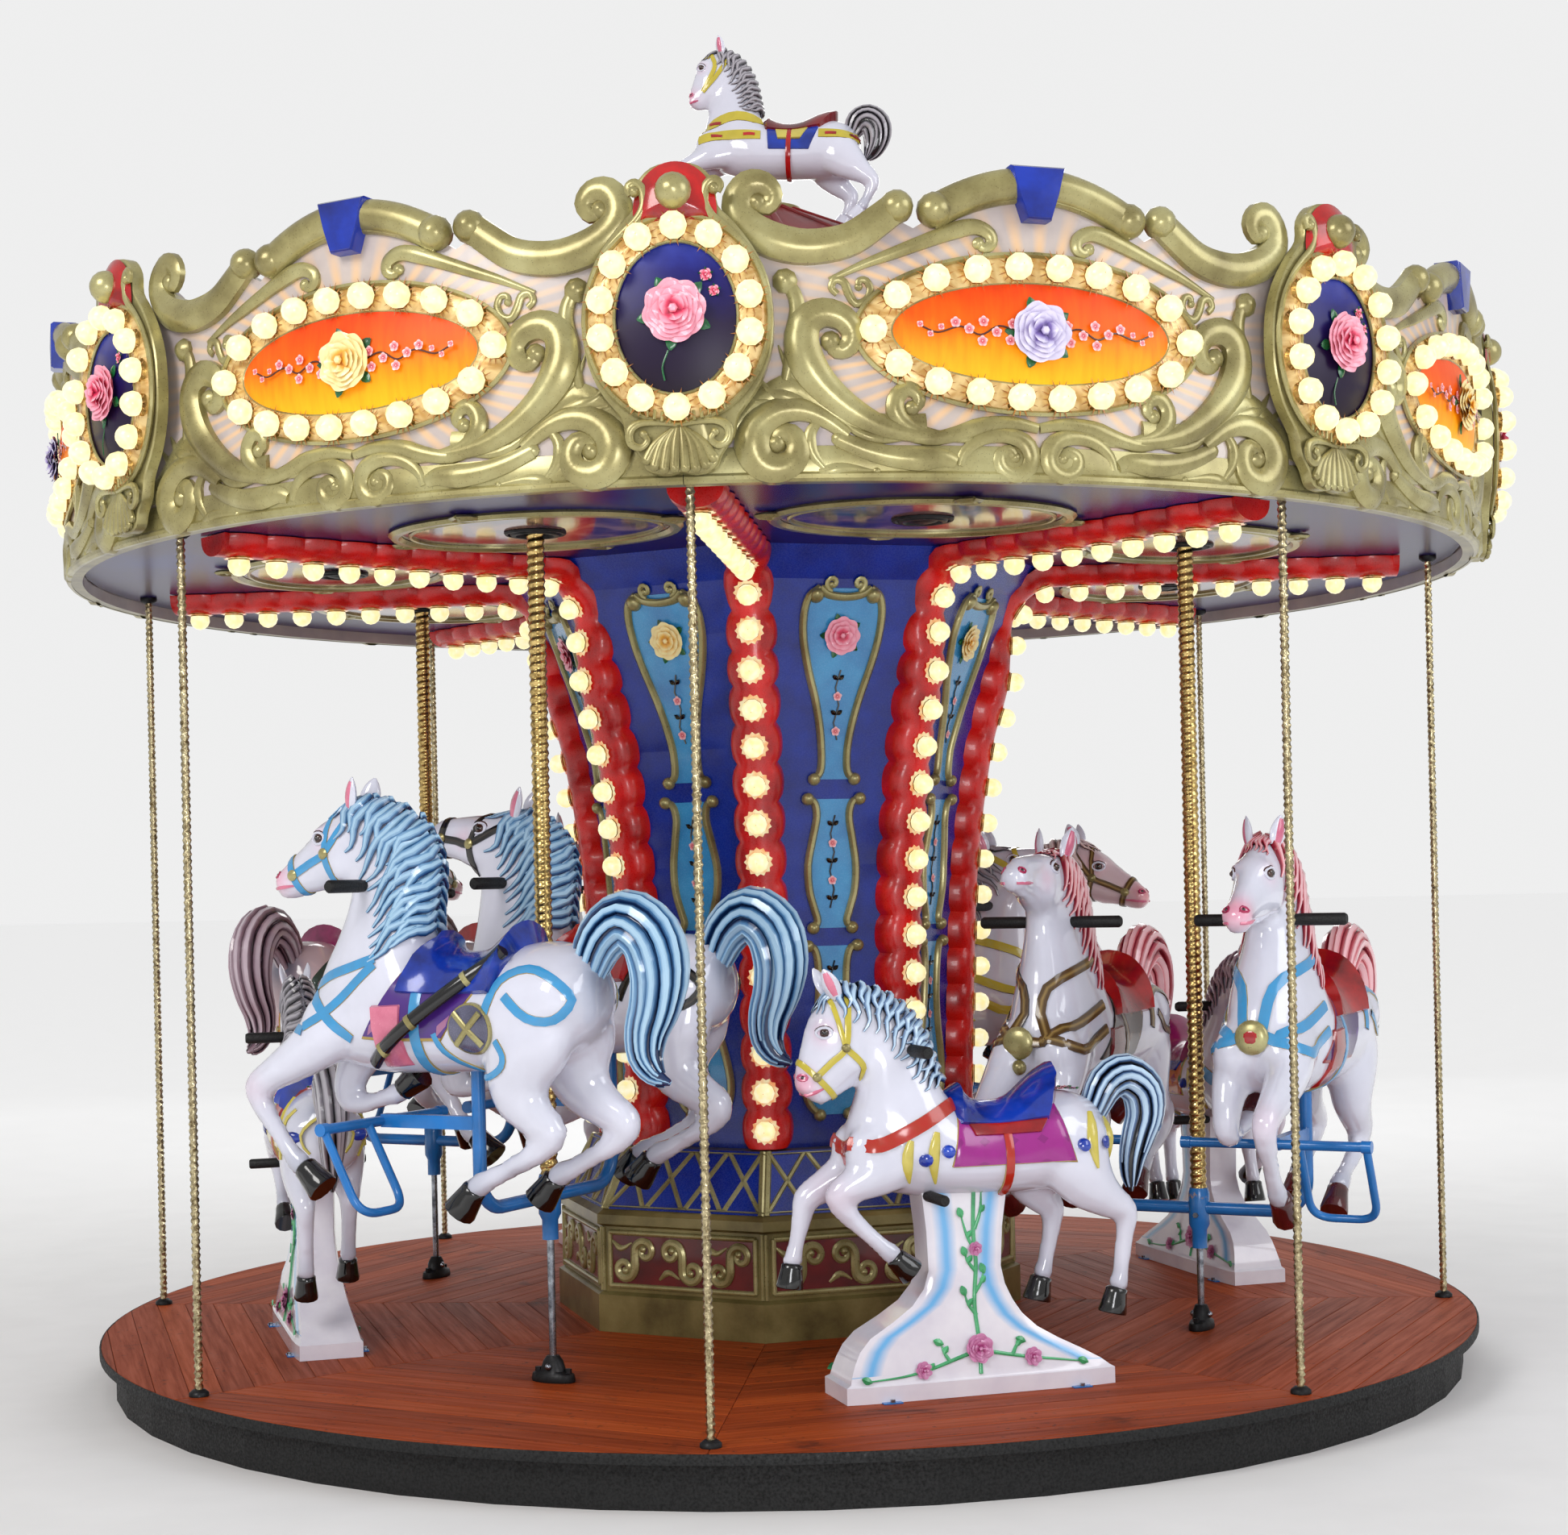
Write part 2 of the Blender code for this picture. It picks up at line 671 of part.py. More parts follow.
def small_horses(turntable):
    """Four fixed small horses, each on a moulded stand with flared feet."""
    rings = []
    for height, rear, front, half_width in STAND:
        corners = ((-front, -half_width), (-rear, -half_width), (-rear, half_width), (-front, half_width))
        rings.append([(x, y, height) for x, y in corners])
    horse = horse_mesh(SMALL_SPINE, SMALL_LEGS, SMALL_TAIL, SMALL_SADDLE, SMALL_BAR, SMALL_HANDLE_HALF)
    mesh = fused([horse, loft(rings)])
    for index in range(4):
        angle = small_horse_angle(index)
        spot = on_circle(SMALL_HORSE_CIRCLE, angle, DECK_TOP)
        place(f"small_horse_{index + 1}", mesh, "horse_white", turntable, spot, angle)


# The horse on the roof, in the same units as a small horse before it is scaled
ROOF_SPINE = SMALL_SPINE[:4] + [
    ((0.035, 0.85), (0.15, 0.56), 0.125),
    ((0.05, 0.95), (0.31, 0.67), 0.10),
    ((0.09, 1.06), (0.30, 0.83), 0.068),
    ((0.17, 1.155), (0.28, 0.92), 0.056),
    ((0.27, 1.175), (0.28, 0.92), 0.058),
    ((0.35, 1.12), (0.30, 0.895), 0.052),
    ((0.38, 1.02), (0.325, 0.886), 0.04),
    ((0.394, 0.93), (0.36, 0.886), 0.025),
]
ROOF_LEGS = [
    (-0.075, [(0.20, 0.65, 0.075), (0.36, 0.60, 0.042), (0.47, 0.55, 0.028), (0.60, 0.47, 0.033)]),
    (0.075, [(0.20, 0.65, 0.075), (0.38, 0.57, 0.04), (0.46, 0.50, 0.026), (0.50, 0.42, 0.033)]),
    (
        -0.08,
        [(-0.34, 0.68, 0.10), (-0.45, 0.60, 0.07), (-0.53, 0.52, 0.038), (-0.50, 0.43, 0.026)]
        + [(-0.46, 0.365, 0.034)],
    ),
    (
        0.08,
        [(-0.27, 0.66, 0.10), (-0.31, 0.53, 0.07), (-0.42, 0.475, 0.04), (-0.40, 0.41, 0.026)]
        + [(-0.40, 0.365, 0.034)],
    ),
]
ROOF_TAIL = [
    (-0.40, 0.76, 0.04),
    (-0.44, 0.85, 0.055),
    (-0.51, 0.87, 0.055),
    (-0.56, 0.80, 0.055),
    (-0.545, 0.72, 0.045),
    (-0.50, 0.65, 0.02),
]


def roof_horse(turntable):
    """The small galloping horse, carried by a post on the roof's flat cap."""
    mesh = horse_mesh(ROOF_SPINE, ROOF_LEGS, ROOF_TAIL, SMALL_SADDLE, SMALL_BAR, ROOF_HANDLE_HALF)
    spot = Matrix.Translation((ROOF_HORSE_X, 0, DECK_TOP + ROOF_HORSE_LIFT))
    mesh.transform(spot @ Matrix.Rotation(radians(ROOF_HORSE_TILT), 4, "Y") @ Matrix.Scale(ROOF_HORSE_SCALE, 4))
    foot = DECK_TOP + ROOF_CAP_HEIGHT + GAP
    belly = DECK_TOP + ROOF_HORSE_LIFT + 0.62 * ROOF_HORSE_SCALE
    post = tube([(0, 0, foot), (0, 0, belly)], ROOF_POST_RADIUS, 1)
    place("roof_horse", fused([mesh, post]), "horse_white", turntable)


clear_scene()
PARTS = bpy.data.collections.new("carousel")
bpy.context.scene.collection.children.link(PARTS)
MATERIALS = make_materials()


def main():
    base()
    turntable = empty("turntable_axis")
    middle = (deck, pedestal, column, light_ribs)
    canopy = (ceiling, roof, rounding_boards, shields, rim_poles)
    riders = (guide_rods, jumpers, small_horses, roof_horse)
    for build_piece in middle + canopy + riders:
        build_piece(turntable)


main()
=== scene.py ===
"""Looks of the fairground carousel: carving, bulbs, paint, harness and hair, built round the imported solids."""

import random
from math import cos, pi, radians, sin, sqrt, tan

import bpy
import numpy as np
from mathutils import Matrix, Vector
from mathutils.bvhtree import BVHTree


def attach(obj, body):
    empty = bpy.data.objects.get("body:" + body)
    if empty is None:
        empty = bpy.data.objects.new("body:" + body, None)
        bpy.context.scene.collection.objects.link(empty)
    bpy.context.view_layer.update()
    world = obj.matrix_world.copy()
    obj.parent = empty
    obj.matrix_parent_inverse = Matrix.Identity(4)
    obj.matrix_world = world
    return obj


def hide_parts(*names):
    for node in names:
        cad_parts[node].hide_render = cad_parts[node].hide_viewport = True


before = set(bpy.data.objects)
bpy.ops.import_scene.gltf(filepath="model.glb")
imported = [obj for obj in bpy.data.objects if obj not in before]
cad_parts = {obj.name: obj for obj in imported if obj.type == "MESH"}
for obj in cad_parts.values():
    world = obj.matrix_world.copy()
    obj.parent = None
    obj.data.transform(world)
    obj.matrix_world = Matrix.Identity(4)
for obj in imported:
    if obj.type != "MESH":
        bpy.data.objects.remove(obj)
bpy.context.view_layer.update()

# The sizes that the solids have, in metres
DECK_TOP = 0.16
DECK_RADIUS = 2.30
BAY = pi / 4
BOARD_FACE = 2.337
RIM_POLE_CIRCLE = 2.22
JUMPER_CIRCLE = 1.484
HORSE_SPACING = 0.352
ARM_MEAN = 0.464
JUMPER_RISE = (0.08, -0.08, -0.045, 0.045)
SMALL_CIRCLE = 1.62
CEILING = 2.50
BULB = 0.036


# Materials


class Paint:
    """A material's node tree, written as short calls."""

    def __init__(self, name):
        self.material = bpy.data.materials.new(name)
        self.material.use_nodes = True
        self.tree = self.material.node_tree
        self.shader = self.tree.nodes["Principled BSDF"]

    def feed(self, socket, value):
        """Links another node's output to a socket, or sets a plain value."""
        if isinstance(value, bpy.types.NodeSocket):
            self.tree.links.new(value, socket)
        else:
            socket.default_value = value

    def node(self, kind, **inputs):
        made = self.tree.nodes.new("ShaderNode" + kind)
        for key, value in inputs.items():
            self.feed(made.inputs[key.replace("_", " ")], value)
        return made

    def set(self, **inputs):
        for key, value in inputs.items():
            self.feed(self.shader.inputs[key.replace("_", " ")], value)
        return self

    def noise(self, scale, detail=4.0, vector=None, rough=0.55, distortion=0.0):
        made = self.node("TexNoise", Scale=scale, Detail=detail, Roughness=rough, Distortion=distortion)
        self.feed(made.inputs["Vector"], vector or self.node("TexCoord").outputs["Object"])
        return made.outputs["Fac"]

    def ramp(self, value, stops):
        made = self.node("ValToRGB", Fac=value)
        while len(made.color_ramp.elements) < len(stops):
            made.color_ramp.elements.new(0.5)
        for element, (place, colour) in zip(made.color_ramp.elements, stops):
            element.position = place
            element.color = shade(colour)
        return made.outputs["Color"]

    def mix(self, share, first, second):
        made = self.tree.nodes.new("ShaderNodeMix")
        made.data_type = "RGBA"
        self.feed(made.inputs[0], share)
        for index, value in ((6, first), (7, second)):
            self.feed(made.inputs[index], value if isinstance(value, bpy.types.NodeSocket) else shade(value))
        return made.outputs[2]

    def math(self, operation, first, second=0.0):
        made = self.tree.nodes.new("ShaderNodeMath")
        made.operation = operation
        self.feed(made.inputs[0], first)
        self.feed(made.inputs[1], second)
        return made.outputs[0]

    def times(self, first, second):
        return self.math("MULTIPLY", first, second)

    def off_middle(self, value):
        """How far a UV value is from the middle of its piece."""
        return self.math("ABSOLUTE", self.math("SUBTRACT", value, 0.5))

    def wavered(self, value, noise, amount):
        """A value moved to and fro by a noise."""
        return self.math("ADD", value, self.times(self.math("SUBTRACT", noise, 0.5), amount))

    def span(self, value, low, high, first, last):
        """A value on its way from low to high, brought to the way from first to last."""
        made = self.tree.nodes.new("ShaderNodeMapRange")
        for socket, given in zip(made.inputs, (value, low, high, first, last)):
            self.feed(socket, given)
        return made.outputs[0]

    def bump(self, height, strength, distance):
        made = self.node("Bump", Height=height, Strength=strength, Distance=distance)
        self.feed(self.shader.inputs["Normal"], made.outputs["Normal"])
        return self

    def painted(self, name):
        """The mesh attribute of this name."""
        made = self.node("Attribute")
        made.attribute_name = name
        return made.outputs

    def uv(self):
        parts = self.node("SeparateXYZ", Vector=self.node("TexCoord").outputs["UV"])
        return parts.outputs["X"], parts.outputs["Y"]

    def stretched(self, x, y):
        """The UVs, with each way scaled."""
        along, across = self.uv()
        return self.node("CombineXYZ", X=self.times(along, x), Y=self.times(across, y)).outputs[0]


def shade(colour):
    """A colour given in 0-255 screen values, or already linear, as linear RGBA."""
    if max(colour[:3]) <= 1.0:
        return (*colour[:3], 1.0)
    return (*[((part / 255 + 0.055) / 1.055) ** 2.4 if part > 10 else part / 3294 for part in colour[:3]], 1.0)


def enamel(name, colour, dark, rough=0.14, coat=0.6, scale=9.0):
    """Gloss paint with a slow change of colour, fine orange peel and a few dull smears."""
    paint = Paint(name)
    cloud = paint.noise(scale, 5.0)
    fine = paint.noise(scale * 26, 2.0)
    tone = paint.ramp(cloud, [(0.3, dark), (0.62, colour)])
    paint.set(Base_Color=tone, Coat_Weight=coat, Coat_Roughness=0.06)
    paint.set(Roughness=paint.span(fine, 0.2, 0.8, rough * 0.7, rough * 1.8))
    return paint.bump(fine, 0.12, 0.0008).material


def gold_paint(name, light, middle, dark, rough=0.27):
    """Metallic gold lacquer: darker in slow patches, with a fine leafy grain."""
    paint = Paint(name)
    cloud = paint.noise(6.0, 6.0)
    grain = paint.noise(140.0, 3.0)
    tone = paint.ramp(cloud, [(0.28, dark), (0.5, middle), (0.72, light)])
    tone = paint.mix(0.06, tone, paint.ramp(grain, [(0.35, dark), (0.65, light)]))
    paint.set(Base_Color=tone, Metallic=0.45, Coat_Weight=0.25, Coat_Roughness=0.15)
    paint.set(Roughness=paint.span(grain, 0.2, 0.8, rough * 0.95, rough * 1.2))
    return paint.bump(grain, 0.02, 0.0005).material


def glow(name, colour, strength):
    """A lit frosted bulb, paler in its middle."""
    paint = Paint(name)
    tone = paint.ramp(paint.noise(40.0, 1.0), [(0.3, colour), (0.7, (255, 253, 222))])
    paint.set(Base_Color=shade((200, 186, 130)), Roughness=0.2, Emission_Color=tone, Emission_Strength=strength)
    return paint.material


def deck_wood():
    """Red-brown stained boards: long grain, a tone for each board, and black grease stains."""
    paint = Paint("deck_wood")
    grain = paint.noise(1.0, 6.0, paint.stretched(2.2, 46.0), 0.62, 0.25)
    board = paint.ramp(paint.painted("tone")["Fac"], [(0.0, (116, 44, 14)), (0.5, (148, 58, 18)), (1.0, (174, 76, 26))])
    board = paint.mix(0.45, board, paint.ramp(grain, [(0.3, (86, 30, 10)), (0.62, (178, 78, 28))]))
    stain = paint.noise(3.2, 6.0, rough=0.68, distortion=0.4)
    share = paint.ramp(stain, [(0.60, (0.0, 0.0, 0.0)), (0.74, (0.75, 0.75, 0.75))])
    board = paint.mix(share, board, (34, 17, 12))
    speck = paint.ramp(paint.noise(46.0, 2.0), [(0.66, (0.0, 0.0, 0.0)), (0.72, (0.6, 0.6, 0.6))])
    board = paint.mix(speck, board, (40, 18, 10))
    paint.set(Base_Color=board, Coat_Weight=0.0, Specular_IOR_Level=0.12)
    paint.set(Roughness=paint.span(grain, 0.3, 0.7, 0.62, 0.44))
    return paint.bump(grain, 0.35, 0.0015).material


def hair(name, light, middle, dark):
    """Carved locks: pale along the top of each lock as a painted highlight, dark in the groove on each side as the
    mane's dark paint lines deepened with painted shade, with fine strands.
    """
    paint = Paint(name)
    strand = paint.noise(1.0, 3.0, paint.stretched(5.0, 30.0))
    painted_light_across_lock = paint.wavered(paint.off_middle(paint.uv()[1]), strand, 0.22)
    # Pale top of each lock is a painted highlight; the dark grooves are dark paint lines plus painted shade
    tone = paint.ramp(painted_light_across_lock, [(0.05, light), (0.14, middle), (0.24, dark), (0.32, dark)])
    paint.set(Base_Color=tone, Roughness=0.14, Coat_Weight=0.7, Coat_Roughness=0.05)
    return paint.bump(strand, 0.25, 0.002).material


def banded(name, middle, edge, width=0.22, inner=None):
    """A painted strap: gold along both edges of its width."""
    paint = Paint(name)
    stops = [(0.0, inner or middle), (0.12, middle), (0.5 - width, middle), (0.5 - width + 0.02, edge)]
    tone = paint.ramp(paint.off_middle(paint.uv()[1]), stops)
    tone = paint.mix(paint.times(paint.noise(30.0), 0.35), tone, tuple(part * 0.6 for part in edge))
    paint.set(Base_Color=tone, Roughness=0.18, Coat_Weight=0.5, Coat_Roughness=0.08)
    return paint.bump(paint.noise(120.0), 0.15, 0.0008).material


def cloth_pattern(name, ground, accent, edge, cells, accent_size, border=0.07, second=None):
    """A saddle blanket: a gold border and rows of diamonds on the ground colour."""
    paint = Paint(name)
    along, across = paint.uv()
    pieces = []
    for value, count in ((along, cells[0]), (across, cells[1])):
        pieces.append(paint.off_middle(paint.math("FRACT", paint.times(value, count))))
    diamond = paint.math("LESS_THAN", paint.math("ADD", pieces[0], pieces[1]), accent_size)
    tone = paint.mix(diamond, ground, accent)
    if second:
        pick = paint.math("GREATER_THAN", paint.noise(7.0, 0.0), 0.5)
        tone = paint.mix(paint.times(diamond, pick), tone, second)
    for value in (along, across):
        tone = paint.mix(paint.math("GREATER_THAN", paint.off_middle(value), 0.5 - border), tone, edge)
    tone = paint.mix(paint.times(paint.noise(24.0), 0.22), tone, (20, 16, 30))
    paint.set(Base_Color=tone, Roughness=0.2, Coat_Weight=0.5, Coat_Roughness=0.08)
    return paint.bump(paint.noise(90.0), 0.2, 0.001).material


def petals(name, heart, middle, rim):
    """Painted petals, paler towards the rim."""
    paint = Paint(name)
    value = paint.wavered(paint.uv()[0], paint.noise(60.0, 3.0), 0.25)
    tone = paint.ramp(value, [(0.0, heart), (0.45, middle), (0.85, rim), (1.0, rim)])
    paint.set(Base_Color=tone, Roughness=0.3, Coat_Weight=0.3)
    return paint.material


def oval_sunset():
    """Orange oval of a rounding board: red at the top, yellow at the bottom, with rising streaks, and a faint painted
    glow.
    """
    paint = Paint("oval_sunset")
    value = paint.wavered(paint.uv()[1], paint.noise(1.0, 3.0, paint.stretched(34.0, 2.0)), 0.35)
    stops = [(0.0, (250, 184, 24)), (0.35, (246, 146, 6)), (0.6, (236, 96, 4)), (1.0, (220, 56, 2))]
    tone = paint.ramp(value, stops)
    # The faint emission is painted light: the oval glows though it is no lamp
    paint.set(Base_Color=tone, Roughness=0.42, Specular_IOR_Level=0.25, Emission_Color=tone, Emission_Strength=0.10)
    return paint.material


def oval_night():
    """Dark oval of a shield: blue at the top, near black below."""
    paint = Paint("oval_night")
    value = paint.wavered(paint.uv()[1], paint.noise(30.0), 0.12)
    tone = paint.ramp(value, [(0.0, (22, 6, 30)), (0.45, (28, 10, 52)), (0.8, (30, 28, 110)), (1.0, (44, 58, 160))])
    paint.set(Base_Color=tone, Roughness=0.38, Specular_IOR_Level=0.3)
    return paint.material


def rayed_ring(name, light, dark):
    """Gold ground of a bulb ring, with soft painted streaks and a faint painted glow."""
    paint = Paint(name)
    tone = paint.ramp(paint.noise(1.0, 2.0, paint.stretched(60.0, 1.2)), [(0.38, dark), (0.6, light)])
    paint.set(Base_Color=tone, Roughness=0.3, Metallic=0.25, Coat_Weight=0.3)
    # The faint emission is painted light: the ring glows though it is no lamp
    paint.set(Emission_Color=tone, Emission_Strength=0.10)
    return paint.material


def board_ground():
    """Cream and lilac-grey ground of a board, with warm rays round the bulbs' oval."""
    paint = Paint("board_ground")
    along, across = paint.uv()
    x = paint.times(paint.math("SUBTRACT", along, 0.5), 3.83)
    y = paint.times(paint.math("SUBTRACT", across, 0.47), 3.9)
    reach = paint.math("SQRT", paint.math("ADD", paint.times(x, x), paint.times(y, y)))
    wave = paint.math("SINE", paint.times(paint.math("ARCTAN2", y, x), 54.0))
    rays = paint.times(paint.span(reach, 0.95, 1.75, 1.0, 0.0), paint.span(wave, -0.4, 1.0, 0.0, 0.8))
    ground = paint.ramp(paint.noise(5.0), [(0.3, (172, 160, 160)), (0.7, (206, 192, 184))])
    tone = paint.mix(rays, ground, (246, 196, 132))
    paint.set(Base_Color=tone, Roughness=0.28, Coat_Weight=0.4, Coat_Roughness=0.1)
    return paint.bump(paint.noise(80.0), 0.1, 0.001).material


def ceiling_gloss():
    """Glossy blue and violet ceiling boards."""
    paint = Paint("ceiling_gloss")
    cloud = paint.noise(1.6, 4.0)
    tone = paint.ramp(cloud, [(0.3, (18, 20, 78)), (0.5, (44, 22, 80)), (0.68, (24, 38, 120))])
    paint.set(Base_Color=tone, Roughness=0.26, Specular_IOR_Level=0.16, Coat_Weight=0.0)
    return paint.bump(paint.noise(14.0, 2.0), 0.08, 0.002).material


def ceiling_picture():
    """Mottled sky panel of a ceiling oval under lacquer."""
    paint = Paint("ceiling_picture")
    cloud = paint.noise(7.0, 6.0, rough=0.62, distortion=1.2)
    stops = [(0.30, (30, 24, 44)), (0.44, (84, 62, 84)), (0.56, (150, 108, 98)), (0.72, (206, 170, 138))]
    paint.set(Base_Color=paint.ramp(cloud, stops), Roughness=0.12, Metallic=0.1, Coat_Weight=0.2, Coat_Roughness=0.05)
    return paint.bump(paint.noise(9.0, 2.0), 0.06, 0.003).material


def roof_canvas():
    paint = Paint("roof_canvas")
    weave = paint.noise(400.0, 2.0)
    tone = paint.ramp(paint.noise(2.6, 6.0), [(0.3, (92, 10, 10)), (0.68, (140, 18, 18))])
    paint.set(Base_Color=tone, Roughness=0.5, Specular_IOR_Level=0.3)
    return paint.bump(weave, 0.25, 0.001).material


def horse_coat(name, white, blush):
    """Glossy white coat with blush and grey airbrushed where the tint says."""
    paint = Paint(name)
    parts = paint.node("SeparateColor", Color=paint.painted("tint")["Color"])
    cloud = paint.noise(4.0, 4.0)
    tone = paint.ramp(cloud, [(0.25, tuple(part * 0.93 for part in white)), (0.65, white)])
    tone = paint.mix(parts.outputs[0], tone, blush)
    tone = paint.mix(parts.outputs[1], tone, (120, 128, 150))
    paint.set(Base_Color=tone, Roughness=0.13, Coat_Weight=0.8, Coat_Roughness=0.04)
    return paint.bump(paint.noise(60.0, 2.0), 0.06, 0.001).material


def stand_coat():
    """White stand of a small horse. Its UVs are metres from the two edges, where sky blue is airbrushed."""
    paint = Paint("stand_coat")
    tone = paint.ramp(paint.noise(5.0), [(0.3, (216, 212, 226)), (0.65, (238, 236, 244))])
    for distance in paint.uv():
        away = paint.math("ABSOLUTE", paint.math("SUBTRACT", distance, 0.052))
        tone = paint.mix(paint.span(away, 0.004, 0.034, 0.9, 0.0), tone, (84, 176, 236))
    paint.set(Base_Color=tone, Roughness=0.14, Coat_Weight=0.7, Coat_Roughness=0.05)
    return paint.bump(paint.noise(70.0, 2.0), 0.06, 0.001).material


def worn_metal(name, light, dark, rough, scale=30.0, metallic=1.0):
    paint = Paint(name)
    cloud = paint.noise(scale, 6.0, rough=0.7)
    paint.set(Base_Color=paint.ramp(cloud, [(0.34, dark), (0.6, light)]), Metallic=metallic)
    paint.set(Roughness=paint.span(cloud, 0.3, 0.7, rough * 1.8, rough * 0.8))
    return paint.bump(cloud, 0.15, 0.0006).material


def chipped(name, colour, under):
    """Tube paint, worn through to metal in patches."""
    paint = Paint(name)
    cloud = paint.noise(11.0, 8.0, rough=0.75)
    bare = paint.ramp(cloud, [(0.64, (0.0, 0.0, 0.0)), (0.68, (1.0, 1.0, 1.0))])
    tone = paint.ramp(paint.noise(7.0), [(0.3, tuple(part * 0.8 for part in colour)), (0.7, colour)])
    paint.set(Base_Color=paint.mix(bare, tone, under), Roughness=0.26, Coat_Weight=0.3, Coat_Roughness=0.1)
    return paint.bump(cloud, 0.12, 0.001).material


def backdrop():
    """Pale floor that brightens to the white of the surroundings away from the ride."""
    paint = Paint("backdrop")
    paint.set(
        Base_Color=paint.ramp(paint.noise(3.0), [(0.3, (0.86, 0.86, 0.86)), (0.7, (0.9, 0.9, 0.9))]), Roughness=0.85
    )
    spot = paint.node("SeparateXYZ", Vector=paint.node("TexCoord").outputs["Object"])
    square = paint.math("ADD", paint.math("POWER", spot.outputs[0], 2.0), paint.math("POWER", spot.outputs[1], 2.0))
    paint.set(Emission_Color=(1.0, 1.0, 1.0, 1.0))
    paint.set(Emission_Strength=paint.span(paint.math("SQRT", square), 3.0, 11.0, 0.0, 0.34))
    return paint.material


